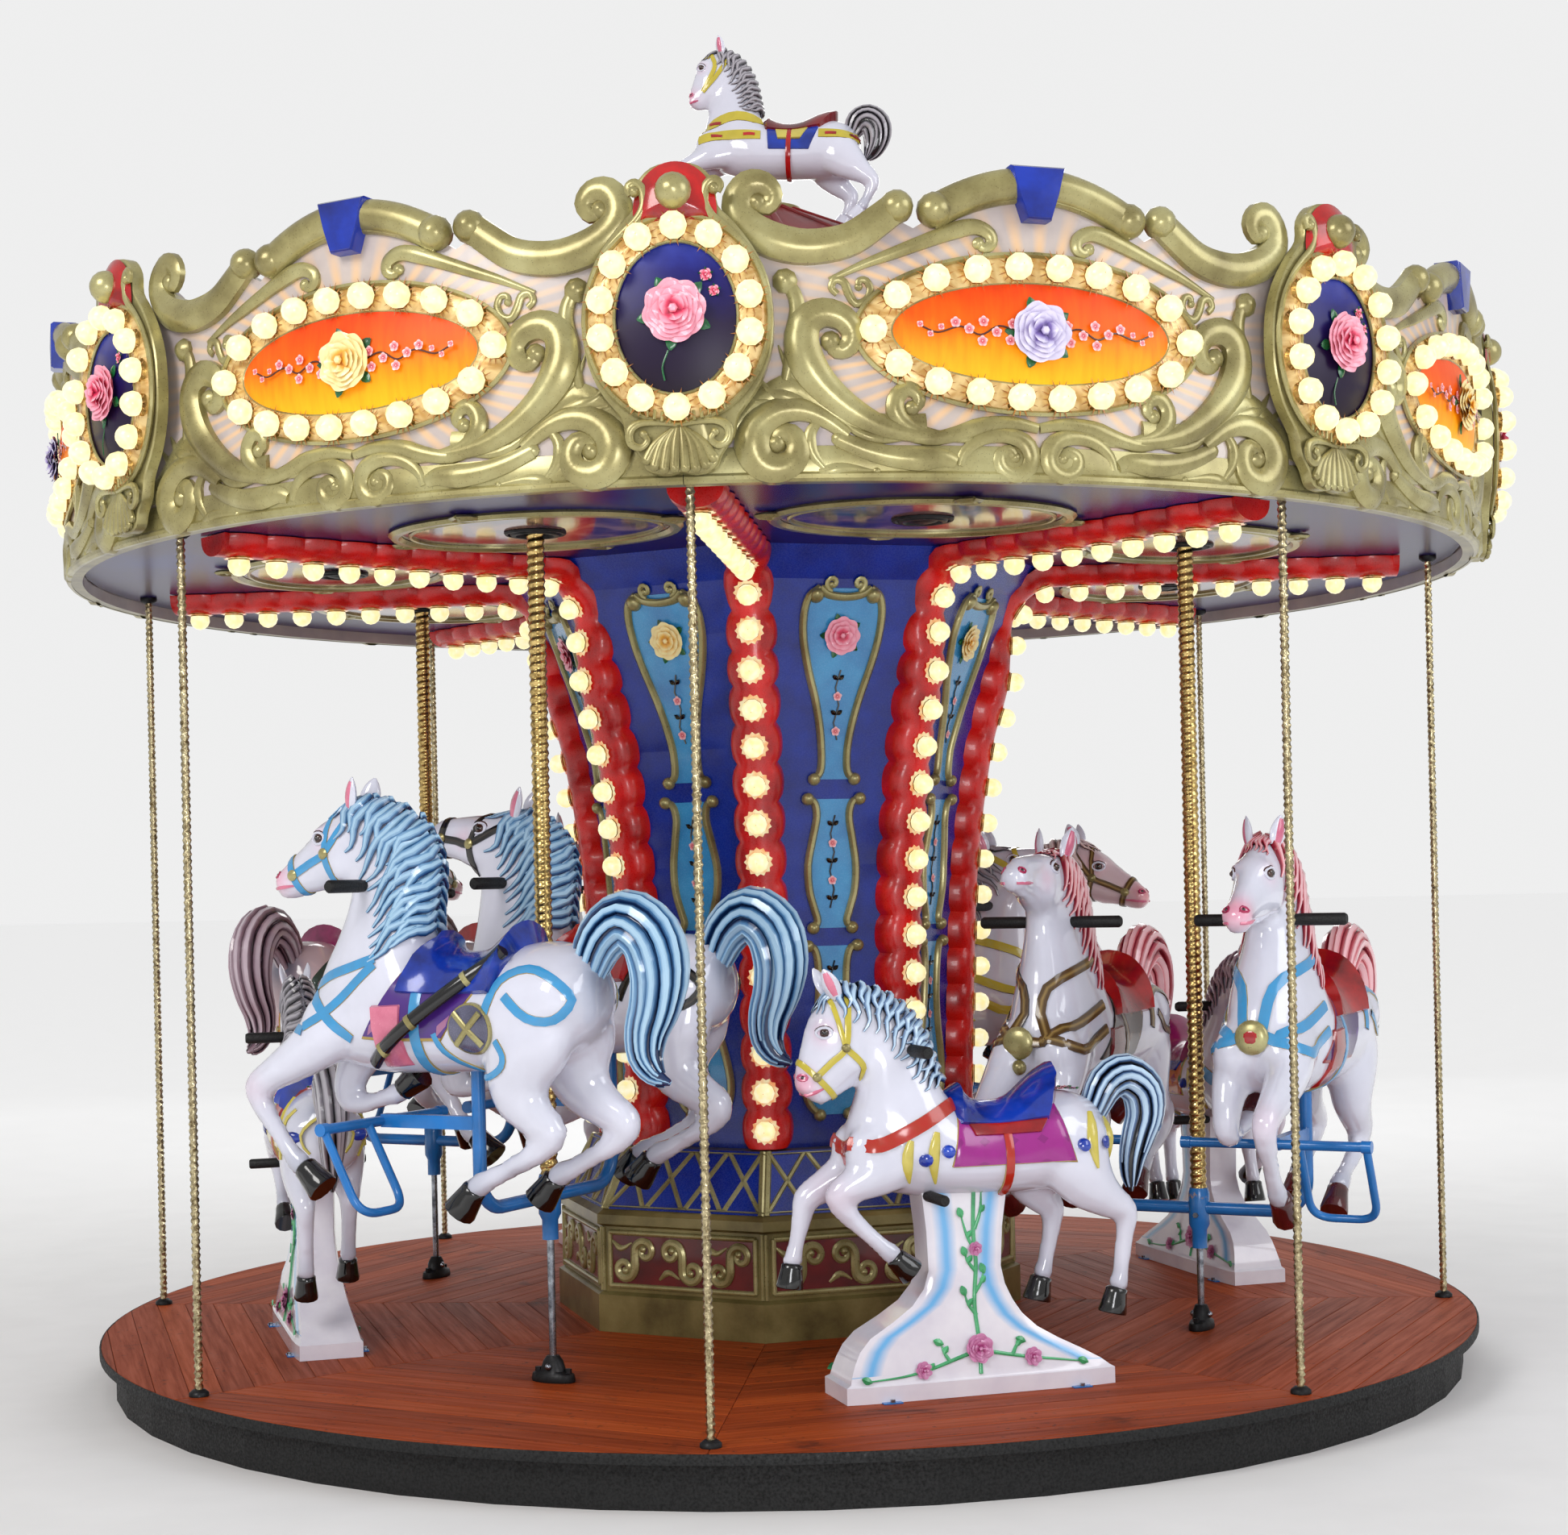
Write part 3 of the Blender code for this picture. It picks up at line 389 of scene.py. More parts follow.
def make_materials():
    made = {
        "gold": gold_paint("gold_relief", (192, 186, 134), (162, 152, 100), (114, 102, 58)),
        "deep_gold": gold_paint("gold_plinth", (158, 146, 92), (128, 116, 68), (86, 76, 40), 0.34),
        "red": enamel("red_enamel", (196, 16, 14), (120, 6, 8)),
        "dark_red": enamel("pedestal_red", (112, 16, 16), (70, 6, 8), 0.35),
        "blue": enamel("column_blue", (10, 46, 156), (6, 28, 120), 0.22, 0.15),
        "key_blue": enamel("keystone_blue", (6, 48, 168), (4, 26, 112)),
        "sky": enamel("cartouche_sky", (66, 158, 214), (48, 128, 190), 0.2),
        "black": enamel("hoof_black", (8, 8, 9), (3, 3, 3), 0.12),
        "maroon": enamel("hoof_maroon", (92, 18, 24), (58, 8, 14), 0.14),
        "rubber": enamel("grip_rubber", (14, 14, 15), (7, 7, 7), 0.5, 0.0),
        "skirt": enamel("skirt_black", (4, 4, 5), (2, 2, 2), 0.55, 0.0, 5.0),
        "eye": enamel("eye_brown", (70, 34, 14), (20, 8, 4), 0.05, 1.0, 160.0),
        "pupil": enamel("eye_black", (6, 5, 5), (2, 2, 2), 0.04, 1.0),
        "lip": enamel("lip_pink", (226, 130, 156), (196, 88, 122), 0.18),
        "magenta_lip": enamel("nostril_magenta", (186, 44, 92), (140, 24, 66), 0.18),
        "bulb": glow("bulb_lit", (255, 240, 170), 0.80),
        # Toothed discs of the ribs: they glow as painted light of the bulbs on the red ribs and are no lamps
        "painted_bulb_glow": glow("rib_painted_glow", (255, 96, 30), 0.45),
        "socket": worn_metal("bulb_socket", (190, 150, 80), (90, 60, 30), 0.35),
        "deck": deck_wood(),
        "sunset": oval_sunset(),
        "night": oval_night(),
        "ring": rayed_ring("bulb_ring_gold", (226, 196, 136), (190, 146, 78)),
        "ray": enamel("painted_ray", (176, 112, 34), (140, 84, 24), 0.3),
        "ground": board_ground(),
        "ceiling": ceiling_gloss(),
        "picture": ceiling_picture(),
        "roof": roof_canvas(),
        "brass": worn_metal("twisted_brass", (226, 196, 128), (120, 92, 48), 0.2, 60.0),
        "thin_brass": worn_metal("rim_pole_brass", (214, 200, 160), (96, 78, 48), 0.24, 60.0),
        "steel": worn_metal("guide_steel", (170, 176, 184), (84, 88, 96), 0.2, 24.0),
        "iron": worn_metal("foot_iron", (30, 30, 32), (10, 10, 11), 0.4, 24.0, 0.5),
        "tube": chipped("tube_blue", (26, 120, 200), (150, 130, 120)),
        "coat": horse_coat("horse_white", (224, 225, 240), (236, 160, 184)),
        "coat_pink": horse_coat("horse_rose", (224, 198, 204), (226, 140, 150)),
        "stand": stand_coat(),
        "leaf": enamel("leaf_green", (22, 110, 58), (10, 66, 34), 0.25),
        "vine": enamel("vine_green", (78, 182, 120), (40, 140, 84), 0.25),
        "twig": enamel("twig_brown", (74, 22, 16), (50, 12, 8), 0.4),
        "feather": banded("feather_yellow", (222, 206, 96), (150, 128, 40), 0.1),
        "shield_grey": enamel("disc_grey", (98, 98, 122), (70, 70, 92), 0.2),
    }
    for key, heart, middle, rim in (
        ("rose", (140, 12, 44), (226, 62, 100), (250, 168, 188)),
        ("violet", (46, 26, 92), (126, 104, 176), (222, 214, 240)),
        ("yellow", (186, 96, 10), (240, 178, 60), (255, 236, 170)),
        ("mauve", (110, 24, 70), (168, 60, 124), (206, 130, 176)),
        ("blossom", (196, 40, 60), (240, 140, 148), (252, 204, 206)),
    ):
        made[key] = petals("petals_" + key, heart, middle, rim)
    gold_edge = (178, 150, 72)
    named_as_key = {
        hair: {
            "hair_blue": ((168, 204, 230), (76, 128, 176), (14, 40, 84)),
            "hair_dark": ((176, 172, 180), (112, 108, 116), (26, 24, 30)),
            "hair_red": ((244, 190, 196), (206, 92, 104), (140, 24, 44)),
            "hair_mauve": ((196, 176, 188), (136, 108, 122), (52, 34, 44)),
            "hair_brown": ((238, 214, 212), (170, 134, 130), (60, 34, 34)),
            "hair_mixed": ((186, 214, 238), (64, 98, 146), (6, 10, 24)),
        },
        banded: {
            "strap_sky": ((54, 160, 222), (170, 150, 86)),
            "strap_red": ((190, 20, 22), (186, 150, 70)),
            "strap_yellow": ((214, 196, 66), (120, 100, 24)),
            "strap_black": ((12, 12, 14), (36, 32, 30), 0.22, (60, 50, 40)),
            "strap_brown": ((96, 70, 36), (22, 14, 10), 0.22, (170, 140, 80)),
            "strap_green": ((40, 70, 66), (170, 150, 86)),
        },
        enamel: {
            "rib_red": ((226, 20, 12), (164, 8, 6), 0.26, 0.25),
            "saddle_blue": ((16, 58, 176), (8, 24, 96), 0.16),
            "saddle_red": ((178, 18, 20), (104, 6, 10), 0.16),
            "saddle_magenta": ((150, 24, 92), (96, 10, 60), 0.16),
            "saddle_brown": ((128, 26, 30), (72, 12, 18), 0.18),
            "gem_blue": ((20, 72, 200), (8, 30, 120), 0.08, 1.0),
            "gem_red": ((206, 20, 26), (120, 6, 12), 0.08, 1.0),
        },
        cloth_pattern: {
            "blanket_purple": ((78, 40, 132), (170, 110, 150), gold_edge, (3, 4), 0.16),
            "blanket_check": ((10, 10, 14), (226, 226, 236), (26, 26, 30), (9, 13), 0.36),
            "blanket_gems": ((166, 32, 142), (146, 24, 126), gold_edge, (5, 8), 0.2, 0.05),
            "blanket_brown": ((74, 44, 34), (120, 84, 60), (24, 18, 14), (4, 10), 0.2),
            "blanket_plum": ((66, 34, 104), (96, 58, 140), (150, 28, 34), (4, 9), 0.2),
            "blanket_orange": ((206, 110, 30), (150, 24, 60), gold_edge, (6, 9), 0.34, 0.06, (60, 120, 60)),
            "blanket_blue": ((24, 40, 150), (196, 176, 60), (214, 196, 66), (3, 5), 0.12, 0.14),
        },
    }
    for maker, rows in named_as_key.items():
        made |= {key: maker(key, *row) for key, row in rows.items()}
    return made


M = make_materials()


# Shapes


def smooth_path(points, per_leg, closed=False):
    """Points on a smooth curve through the points given, of any number of values each."""
    points = np.array(points, float)
    count = len(points)
    if closed:
        around = np.vstack([points[-1], points, points[:2]])
        legs = count
    else:
        around = np.vstack([2 * points[0] - points[1], points, 2 * points[-1] - points[-2]])
        legs = count - 1
    result = []
    for leg in range(legs):
        p0, p1, p2, p3 = around[leg : leg + 4]
        for step in range(per_leg):
            t = step / per_leg
            bend, twist = 2 * p0 - 5 * p1 + 4 * p2 - p3, 3 * p1 - p0 - 3 * p2 + p3
            result.append(0.5 * (2 * p1 + (p2 - p0) * t + bend * t * t + twist * t**3))
    if not closed:
        result.append(points[-1])
    return np.array(result)


def unit(rows):
    """Vectors of length one, one a row."""
    return rows / np.maximum(np.linalg.norm(rows, axis=1), 1e-9)[:, None]


def headings(path, closed=False):
    """The way a path runs at each of its points."""
    return unit(np.roll(path, -1, 0) - np.roll(path, 1, 0) if closed else np.gradient(path, axis=0))


def heading(direction):
    """The ways ahead and to the left of a direction in the flat."""
    return np.array((cos(direction), sin(direction))), np.array((-sin(direction), cos(direction)))


def full_turn(count):
    """Angles at even steps round a circle."""
    return np.linspace(0, 2 * pi, count + 1)[:-1]


def sided(points, side):
    """Flat points as they are for side 1, and mirrored for side -1."""
    return [(side * across, up) for across, up in points]


def lengths(path):
    steps = np.linalg.norm(np.diff(path, axis=0), axis=1)
    return np.concatenate([[0], np.cumsum(steps)])


class Shape:
    """Points and faces of one piece, gathered from many forms, with UVs and a material for each face."""

    def __init__(self):
        self.points, self.faces, self.uvs, self.slots, self.keys, self.tones = [], [], [], [], [], []
        self.count = 0
        self.tone = 0.0

    def key(self, name):
        if name not in self.keys:
            self.keys.append(name)
        return self.keys.index(name)

    def add(self, points, faces, uvs, material):
        """Adds points, faces of indices, and a UV for each point."""
        slot = self.key(material)
        points = np.asarray(points, float)
        self.points.append(points)
        uvs = np.asarray(uvs, float)
        for face in faces:
            self.faces.append([index + self.count for index in face])
            self.uvs.extend(uvs[index] for index in face)
            self.slots.append(slot)
            self.tones.append(self.tone)
        self.count += len(points)

    def grid(self, rows, material, wrap=False, cap=False, uvs=None):
        """Skins rows of points. Wrap joins each row's end to its start, and cap closes the first and last row."""
        rows = np.asarray(rows, float)
        tall, wide = rows.shape[:2]
        across = wide if wrap else wide - 1
        faces = []
        for row in range(tall - 1):
            for column in range(across):
                after = (column + 1) % wide
                faces.append(
                    (row * wide + column, row * wide + after, (row + 1) * wide + after, (row + 1) * wide + column)
                )
        if uvs is None:
            u, v = np.meshgrid(np.linspace(0, 1, tall), np.linspace(0, 1, wide), indexing="ij")
            uvs = np.stack([u, v], -1).reshape(-1, 2)
        if cap:
            faces.append(tuple(range(wide))[::-1])
            faces.append(tuple((tall - 1) * wide + column for column in range(wide)))
        self.add(rows.reshape(-1, 3), faces, uvs, material)

    def sweep(self, path, wide, deep, material, sides, normal=None, closed=False):
        """A bar along a path. Wide and deep are half sizes along it, and normal is the way its depth faces."""
        path = np.asarray(path, float)
        count = len(path)
        wide = np.broadcast_to(np.asarray(wide, float), count)
        deep = wide if deep is None else np.broadcast_to(np.asarray(deep, float), count)
        tangent = headings(path, closed)
        if normal is None:
            facing = np.zeros_like(path)
            guess = np.array((0, 0, 1.0)) if abs(tangent[0][2]) < 0.9 else np.array((1.0, 0, 0))
            for index in range(count):
                guess = guess - tangent[index] * guess.dot(tangent[index])
                guess = guess / max(np.linalg.norm(guess), 1e-9)
                facing[index] = guess
        else:
            facing = np.broadcast_to(np.asarray(normal, float), path.shape)
            facing = unit(facing - tangent * (facing * tangent).sum(1)[:, None])
        side = np.cross(facing, tangent)
        turns = 2 * pi * np.arange(sides) / sides
        aside = side[:, None, :] * np.outer(wide, np.cos(turns))[..., None]
        upward = facing[:, None, :] * np.outer(deep, np.sin(turns))[..., None]
        rows = path[:, None, :] + aside + upward
        run = lengths(path)
        u = np.repeat(run, sides)
        v = np.tile((0.25 + np.arange(sides) / sides) % 1.0, count)
        uvs = np.stack([u, v], 1)
        if closed:
            rows = np.concatenate([rows, rows[:1]])
            uvs = np.concatenate([uvs, uvs[:sides]])
        self.grid(rows, material, wrap=True, cap=not closed, uvs=uvs)

    def ring(self, outline, lift, wide, deep, sides, material="gold", facing=1):
        """A bar round a closed flat outline, at one height."""
        path = np.column_stack([outline, np.full(len(outline), lift)])
        self.sweep(path, wide, deep, material, sides, normal=(0, 0, facing), closed=True)

    def lathe(self, profile, material, sides):
        """A closed round form about the Z axis, from reaches and heights."""
        turns = full_turn(sides)
        rows = [[(reach * cos(turn), reach * sin(turn), height) for turn in turns] for reach, height in profile]
        self.grid(rows, material, wrap=True, cap=True)

    def ball(self, centre, radius, material, rings, sides, squash=(1, 1, 1)):
        rows = []
        for ring in range(rings + 1):
            tilt = pi * ring / rings
            reach = max(sin(tilt), 0.02)
            turns = [2 * pi * side / sides for side in range(sides)]
            rows.append(
                [(reach * cos(t) * squash[0], reach * sin(t) * squash[1], cos(tilt) * squash[2]) for t in turns]
            )
        rows = np.array(rows) * radius + np.array(centre)
        self.grid(rows[::-1], material, wrap=True, cap=True)

    def mapped(self, function):
        """Moves every point through a function of points."""
        self.points = [function(block) for block in self.points]
        return self

    def merge(self, other, matrix=None):
        for block in other.points:
            self.points.append(block if matrix is None else moved(block, matrix))
        for face in other.faces:
            self.faces.append([index + self.count for index in face])
        self.uvs.extend(other.uvs)
        self.slots.extend(self.key(other.keys[slot]) for slot in other.slots)
        self.tones.extend(other.tones)
        self.count += other.count

    def mesh(self, name, sharp=40):
        mesh = bpy.data.meshes.new(name)
        mesh.from_pydata(np.concatenate(self.points).tolist(), [], self.faces)
        layer = mesh.uv_layers.new(name="UVMap")
        layer.data.foreach_set("uv", np.array(self.uvs, np.float32).ravel())
        mesh.polygons.foreach_set("material_index", self.slots)
        if any(self.tones):
            tone = mesh.attributes.new("tone", "FLOAT", "FACE")
            tone.data.foreach_set("value", self.tones)
        for key in self.keys:
            mesh.materials.append(M[key])
        mesh.validate()
        mesh.shade_smooth()
        mesh.set_sharp_from_angle(angle=radians(sharp))
        return mesh


def moved(points, matrix):
    turn = np.array(matrix.to_3x3())
    return np.asarray(points) @ turn.T + np.array(matrix.translation)


def piece(name, mesh, body, replaces=(), matrix=None):
    """Adds one piece. Its placing is baked into its points, so that its bounds are true."""
    if matrix is not None:
        mesh = mesh.copy()
        mesh.transform(matrix)
    obj = bpy.data.objects.new(name, mesh)
    bpy.context.scene.collection.objects.link(obj)
    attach(obj, body)
    if replaces:
        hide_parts(*replaces)
    return obj


def repaint(node_name, key):
    """Gives a solid of the pack that shows itself its own material."""
    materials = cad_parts[node_name].data.materials
    materials.clear()
    materials.append(M[key])


def turned_about(angle):
    return Matrix.Rotation(angle, 4, "Z")


def on_circle(radius, angle, height=0.0):
    """A place on a circle round the ride's axis, turned to face out."""
    return Matrix.Translation((radius * sin(angle), -radius * cos(angle), height)) @ turned_about(angle)


def fill_outline(shape, outline, height, material, bulge, centre=None, rings=4):
    """A filled flat outline in two directions plus height, drawn as rings that shrink to its centre."""
    outline = np.asarray(outline, float)
    centre = outline.mean(0) if centre is None else np.array(centre)
    rows = []
    for ring in range(rings + 1):
        share = max(1 - ring / rings, 0.001)
        flat = centre + (outline - centre) * share
        rise = height + bulge * (1 - share * share)
        rows.append(np.column_stack([flat, np.full(len(flat), rise)]))
    rows = np.array(rows)
    low, size = outline.min(0), np.ptp(outline, axis=0)
    uvs = (rows.reshape(-1, 3)[:, :2] - low) / size
    shape.grid(rows, material, wrap=True, uvs=uvs)


def ellipse(centre, half, count, start=0.0):
    turns = start + 2 * pi * np.arange(count) / count
    return np.stack([centre[0] + half[0] * np.cos(turns), centre[1] + half[1] * np.sin(turns)], 1)


def evenly(outline, count):
    """Points spaced evenly along a closed outline."""
    closed = np.vstack([outline, outline[:1]])
    run = lengths(closed)
    spots = np.arange(count) / count * run[-1]
    return np.stack([np.interp(spots, run, closed[:, axis]) for axis in range(closed.shape[1])], 1)


# A spiral's last radius, as a share of its first
SPIRAL_EYE = 0.22


def spiral(centre, radius, turns, start, steps):
    """A flat spiral from its outside in. Negative turns run clockwise."""
    share = np.linspace(0, 1, steps)
    angle = start + 2 * pi * turns * share
    reach = radius * (1 - share * (1 - SPIRAL_EYE))
    return np.stack([centre[0] + reach * np.cos(angle), centre[1] + reach * np.sin(angle)], 1)


def relief(shape, flat, wide, lift, material="gold", sides=6, deep=None, end=None):
    """A carved bar along flat points, half sunk: wide is its half width and deep its height."""
    flat = np.asarray(flat, float)
    wide = np.broadcast_to(np.asarray(wide, float), len(flat))
    deep = wide * 0.8 if deep is None else np.broadcast_to(np.asarray(deep, float), len(flat))
    ahead = headings(flat)
    side = np.stack([-ahead[:, 1], ahead[:, 0]], 1)
    turns = np.linspace(-0.3, pi + 0.3, sides)
    rows = []
    for spot, way, half, tall in zip(flat, side, wide, deep):
        rows.append([(*(spot + way * half * cos(turn)), lift + tall * sin(turn)) for turn in turns])
    rows = [[(*flat[0], lift)] * sides] + rows + [[(*flat[-1], lift)] * sides]
    run = np.concatenate([[0], lengths(flat), [lengths(flat)[-1]]])
    uvs = np.stack([np.repeat(run, sides), np.tile(0.25 + turns / (2 * pi), len(rows))], 1)
    shape.grid(rows, material, uvs=uvs)
    if end:
        shape.ball((*flat[-1], lift), end, material, 5, 9, (1, 1, 0.8))


def taper(count, first, middle, last, peak=0.4):
    share = np.linspace(0, 1, count)
    return np.interp(share, [0, peak, 1], [first, middle, last])


def flower(shape, centre, size, material, lift, layers, per_layer, turn=0.0, leaves=True):
    """Petals in rings, each ring smaller and higher, with a few leaves behind."""
    centre = np.array(centre, float)
    if leaves:
        for index in range(5):
            direction = turn + 0.6 + 2 * pi * index / 5
            add_leaf(shape, centre + 0.75 * size * heading(direction)[0], direction, size * 0.55, lift)
    fine = 5 if size > 0.05 else 4 if size > 0.03 else 3
    for layer in range(layers):
        reach = size * (1 - layer * 0.72 / layers)
        rise = lift + 0.0035 * (layer + 1) * size / 0.05
        count = max(per_layer - layer, 3)
        for index in range(count):
            ahead, across = heading(turn + layer * 0.55 + 2 * pi * index / count)
            rows = []
            for row in np.linspace(0.0, 1.0, fine):
                width = reach * 0.62 * sin(pi * min(0.12 + row * 0.80, 1.0)) ** 0.7
                middle = centre + ahead * reach * (0.12 + 0.88 * row)
                curl = 0.006 * size / 0.05 * row * row
                line = []
                for side in np.linspace(1, -1, fine):
                    notch = -0.07 * reach * (side * side) * row
                    spot = middle + across * width * side + ahead * notch
                    line.append((*spot, rise + curl + 0.004 * size / 0.05 * (1 - side * side)))
                rows.append(line)
            shape.grid(rows, material)
    shape.ball((*centre, lift + 0.004 * (layers + 1) * size / 0.05), size * 0.16, material, 4, 6, (1, 1, 0.6))


def add_leaf(shape, centre, direction, size, lift, material="leaf"):
    ahead, across = heading(direction)
    rows = []
    for row in np.linspace(0, 1, 5):
        width = size * 0.34 * sin(pi * min(max(row, 0.03), 0.97)) ** 0.8
        spot = np.array(centre) + ahead * size * (row - 0.2)
        rows.append([(*(spot + across * width * side), lift + 0.002 + 0.004 * (1 - abs(side))) for side in (1, 0, -1)])
    shape.grid(rows, material)


def facing_out(outward):
    """The turn that brings the Z axis to a way out, for points as rows."""
    return np.array(Vector(outward).to_track_quat("Z", "Y").to_matrix()).T


def bulb(shape, base, outward, radius=BULB, proud=0.62):
    """A lit globe in its socket. Outward is the way it faces."""
    base = np.array(base, float)
    turn = facing_out(np.array(outward, float) / np.linalg.norm(outward))
    sides = 2 * pi * np.arange(10) / 10
    globe = [(radius * sin(radians(tilt)), radius * (proud + cos(radians(tilt)))) for tilt in (112, 82, 54, 27, 2)]
    for material, profile in (("bulb", globe), ("socket", [(radius * 1.02, -0.004), (radius * 0.86, radius * 0.26)])):
        rows = []
        for reach, height in profile:
            rows.append(np.stack([reach * np.cos(sides), reach * np.sin(sides), np.full(10, height)], 1) @ turn + base)
        shape.grid(rows, material, wrap=True)


def painted_bulb_glow(shape, base, outward, radius):
    """A toothed disc behind a bulb, glowing orange-red as painted light of the bulb on the rib."""
    turn = facing_out(outward)
    count = 26
    sides = 2 * pi * np.arange(count) / count
    reach = np.where(np.arange(count) % 2, radius, radius * 0.84)
    rows = []
    for share, height in ((1.0, 0.0015), (0.4, 0.003)):
        ring = np.stack([reach * share * np.cos(sides), reach * share * np.sin(sides), np.full(count, height)], 1)
        rows.append(ring @ turn + np.array(base, float))
    shape.grid(rows, "painted_bulb_glow", wrap=True)


def bulb_rays(shape, centre, radius, lift, count=16, reach=0.55):
    """Painted rays round one bulb."""
    points, faces = [], []
    for index in range(count):
        ahead, across = heading(2 * pi * index / count)
        long = radius * (1.0 + reach * (1.0 if index % 2 else 0.7))
        inner = np.array(centre) + ahead * radius * 0.9
        for spot in (inner - across * radius * 0.07, inner + across * radius * 0.07, np.array(centre) + ahead * long):
            points.append((*spot, lift))
        faces.append((3 * index, 3 * index + 1, 3 * index + 2))
    shape.add(points, faces, np.zeros((len(points), 2)), "ray")


# Rounding boards, in flat coordinates: across from the board's middle, up from the deck, and lift off its face

BOARD_FOOT = 2.46
BOARD_BACK = -0.037
OVAL_HEIGHT = 2.838
OVAL_HALF = (0.385, 0.130)
OVAL_BULBS = (0.435, 0.168)
OVAL_RING = (0.478, 0.204)
BOARD_TOP_LINE = [
    (0.0, 3.225), (0.1, 3.212), (0.2, 3.178), (0.27, 3.135), (0.32, 3.10), (0.38, 3.13), (0.45, 3.08), (0.53, 3.045),
    (0.62, 3.05), (0.68, 3.10), (0.74, 3.15), (0.80, 3.12), (0.917, 3.10),
]

# Carved bars of a board's right half: points, half width at the start, middle and end, and a ball at the end
BOARD_SCROLLS = [
    (
        [
            (0.37, 3.15), (0.42, 3.112), (0.48, 3.072), (0.545, 3.054), (0.62, 3.052), (0.70, 3.076), (0.758, 3.122),
            (0.768, 3.172), (0.74, 3.212), (0.70, 3.212), (0.678, 3.182), (0.695, 3.155), (0.718, 3.165),
        ],
        (0.042, 0.050, 0.020), 0.028,
    ),
    (
        [
            (0.54, 2.968), (0.45, 3.008), (0.38, 3.034), (0.255, 3.082), (0.19, 3.104), (0.152, 3.106), (0.122, 3.09),
            (0.118, 3.066), (0.136, 3.054), (0.153, 3.066),
        ],
        (0.007, 0.024, 0.012), 0.017,
    ),
    (
        [
            (0.20, 2.572), (0.308, 2.575), (0.40, 2.592), (0.475, 2.628), (0.545, 2.682), (0.595, 2.745), (0.614, 2.81),
            (0.600, 2.862), (0.556, 2.884), (0.508, 2.870), (0.484, 2.835), (0.494, 2.800), (0.524, 2.790),
            (0.54, 2.812),
        ],
        (0.012, 0.052, 0.020), 0.028,
    ),
    (
        [
            (0.520, 2.932), (0.535, 2.948), (0.525, 2.968), (0.503, 2.962), (0.492, 2.934), (0.474, 2.908),
            (0.448, 2.916), (0.436, 2.942), (0.446, 2.966), (0.464, 2.966), (0.466, 2.950),
        ],
        (0.009, 0.012, 0.008), 0.011,
    ),
    (
        [(0.655, 2.715), (0.642, 2.77), (0.634, 2.83), (0.622, 2.89), (0.630, 2.935), (0.652, 2.965)],
        (0.014, 0.024, 0.018), 0.034,
    ),
    (
        [
            (0.50, 2.575), (0.56, 2.618), (0.62, 2.640), (0.68, 2.634), (0.728, 2.600), (0.744, 2.550), (0.722, 2.506),
            (0.680, 2.492), (0.640, 2.510), (0.628, 2.548), (0.646, 2.580), (0.676, 2.578), (0.682, 2.556),
        ],
        (0.018, 0.050, 0.020), 0.027,
    ),
    (
        [
            (0.18, 2.566), (0.27, 2.574), (0.335, 2.592), (0.374, 2.625), (0.378, 2.664), (0.352, 2.692),
            (0.322, 2.682), (0.318, 2.656), (0.336, 2.644),
        ],
        (0.010, 0.027, 0.015), 0.021,
    ),
    (
        [(0.002, 2.598), (0.07, 2.610), (0.15, 2.603), (0.22, 2.580), (0.30, 2.566), (0.38, 2.588), (0.44, 2.634)],
        (0.014, 0.024, 0.010), 0,
    ),
    (
        [
            (0.215, 2.498), (0.200, 2.535), (0.155, 2.568), (0.095, 2.578), (0.042, 2.562), (0.022, 2.524),
            (0.036, 2.488), (0.072, 2.476), (0.104, 2.494), (0.108, 2.526), (0.082, 2.540), (0.066, 2.522),
        ],
        (0.012, 0.026, 0.014), 0.016,
    ),
    (
        [(0.225, 2.506), (0.26, 2.518), (0.32, 2.514), (0.39, 2.520), (0.46, 2.538), (0.525, 2.566)],
        (0.018, 0.034, 0.022), 0.020,
    ),
    ([(0.575, 2.480), (0.545, 2.486), (0.50, 2.492), (0.43, 2.484)], (0.012, 0.020, 0.006), 0.012),
    ([(0.56, 2.49), (0.592, 2.530), (0.598, 2.575), (0.570, 2.612), (0.515, 2.612)], (0.010, 0.020, 0.006), 0),
    ([(0.36, 2.565), (0.43, 2.566), (0.49, 2.592), (0.54, 2.650)], (0.005, 0.017, 0.003), 0),
    ([(0.60, 2.665), (0.65, 2.672), (0.70, 2.690), (0.735, 2.735)], (0.010, 0.024, 0.003), 0),
    ([(0.63, 2.66), (0.69, 2.655), (0.745, 2.668), (0.79, 2.705)], (0.008, 0.020, 0.003), 0),
    ([(0.60, 2.70), (0.628, 2.72), (0.655, 2.760), (0.672, 2.805)], (0.006, 0.014, 0.002), 0),
]


def to_board(points):
    """From a board's flat coordinates onto its curved face."""
    angle = points[:, 0] / BOARD_FACE
    reach = BOARD_FACE + points[:, 2]
    return np.stack([reach * np.sin(angle), -reach * np.cos(angle), DECK_TOP + points[:, 1]], 1)


def annulus(shape, centre, inner, outer, lifts, material):
    """A flat ring between two ellipses, with a lift for each of its rows."""
    count = 56
    rows = []
    for share, lift in zip(np.linspace(0, 1, len(lifts)), lifts):
        half = [near + (far - near) * share for near, far in zip(inner, outer)]
        flat = ellipse(centre, half, count + 1)
        flat[-1] = flat[0]
        rows.append(np.column_stack([flat, np.full(count + 1, lift)]))
    u, v = np.meshgrid(np.linspace(0, 1, len(lifts)), np.linspace(0, 1, count + 1), indexing="ij")
    shape.grid(rows[::-1], material, uvs=np.stack([v, u], -1).reshape(-1, 2))


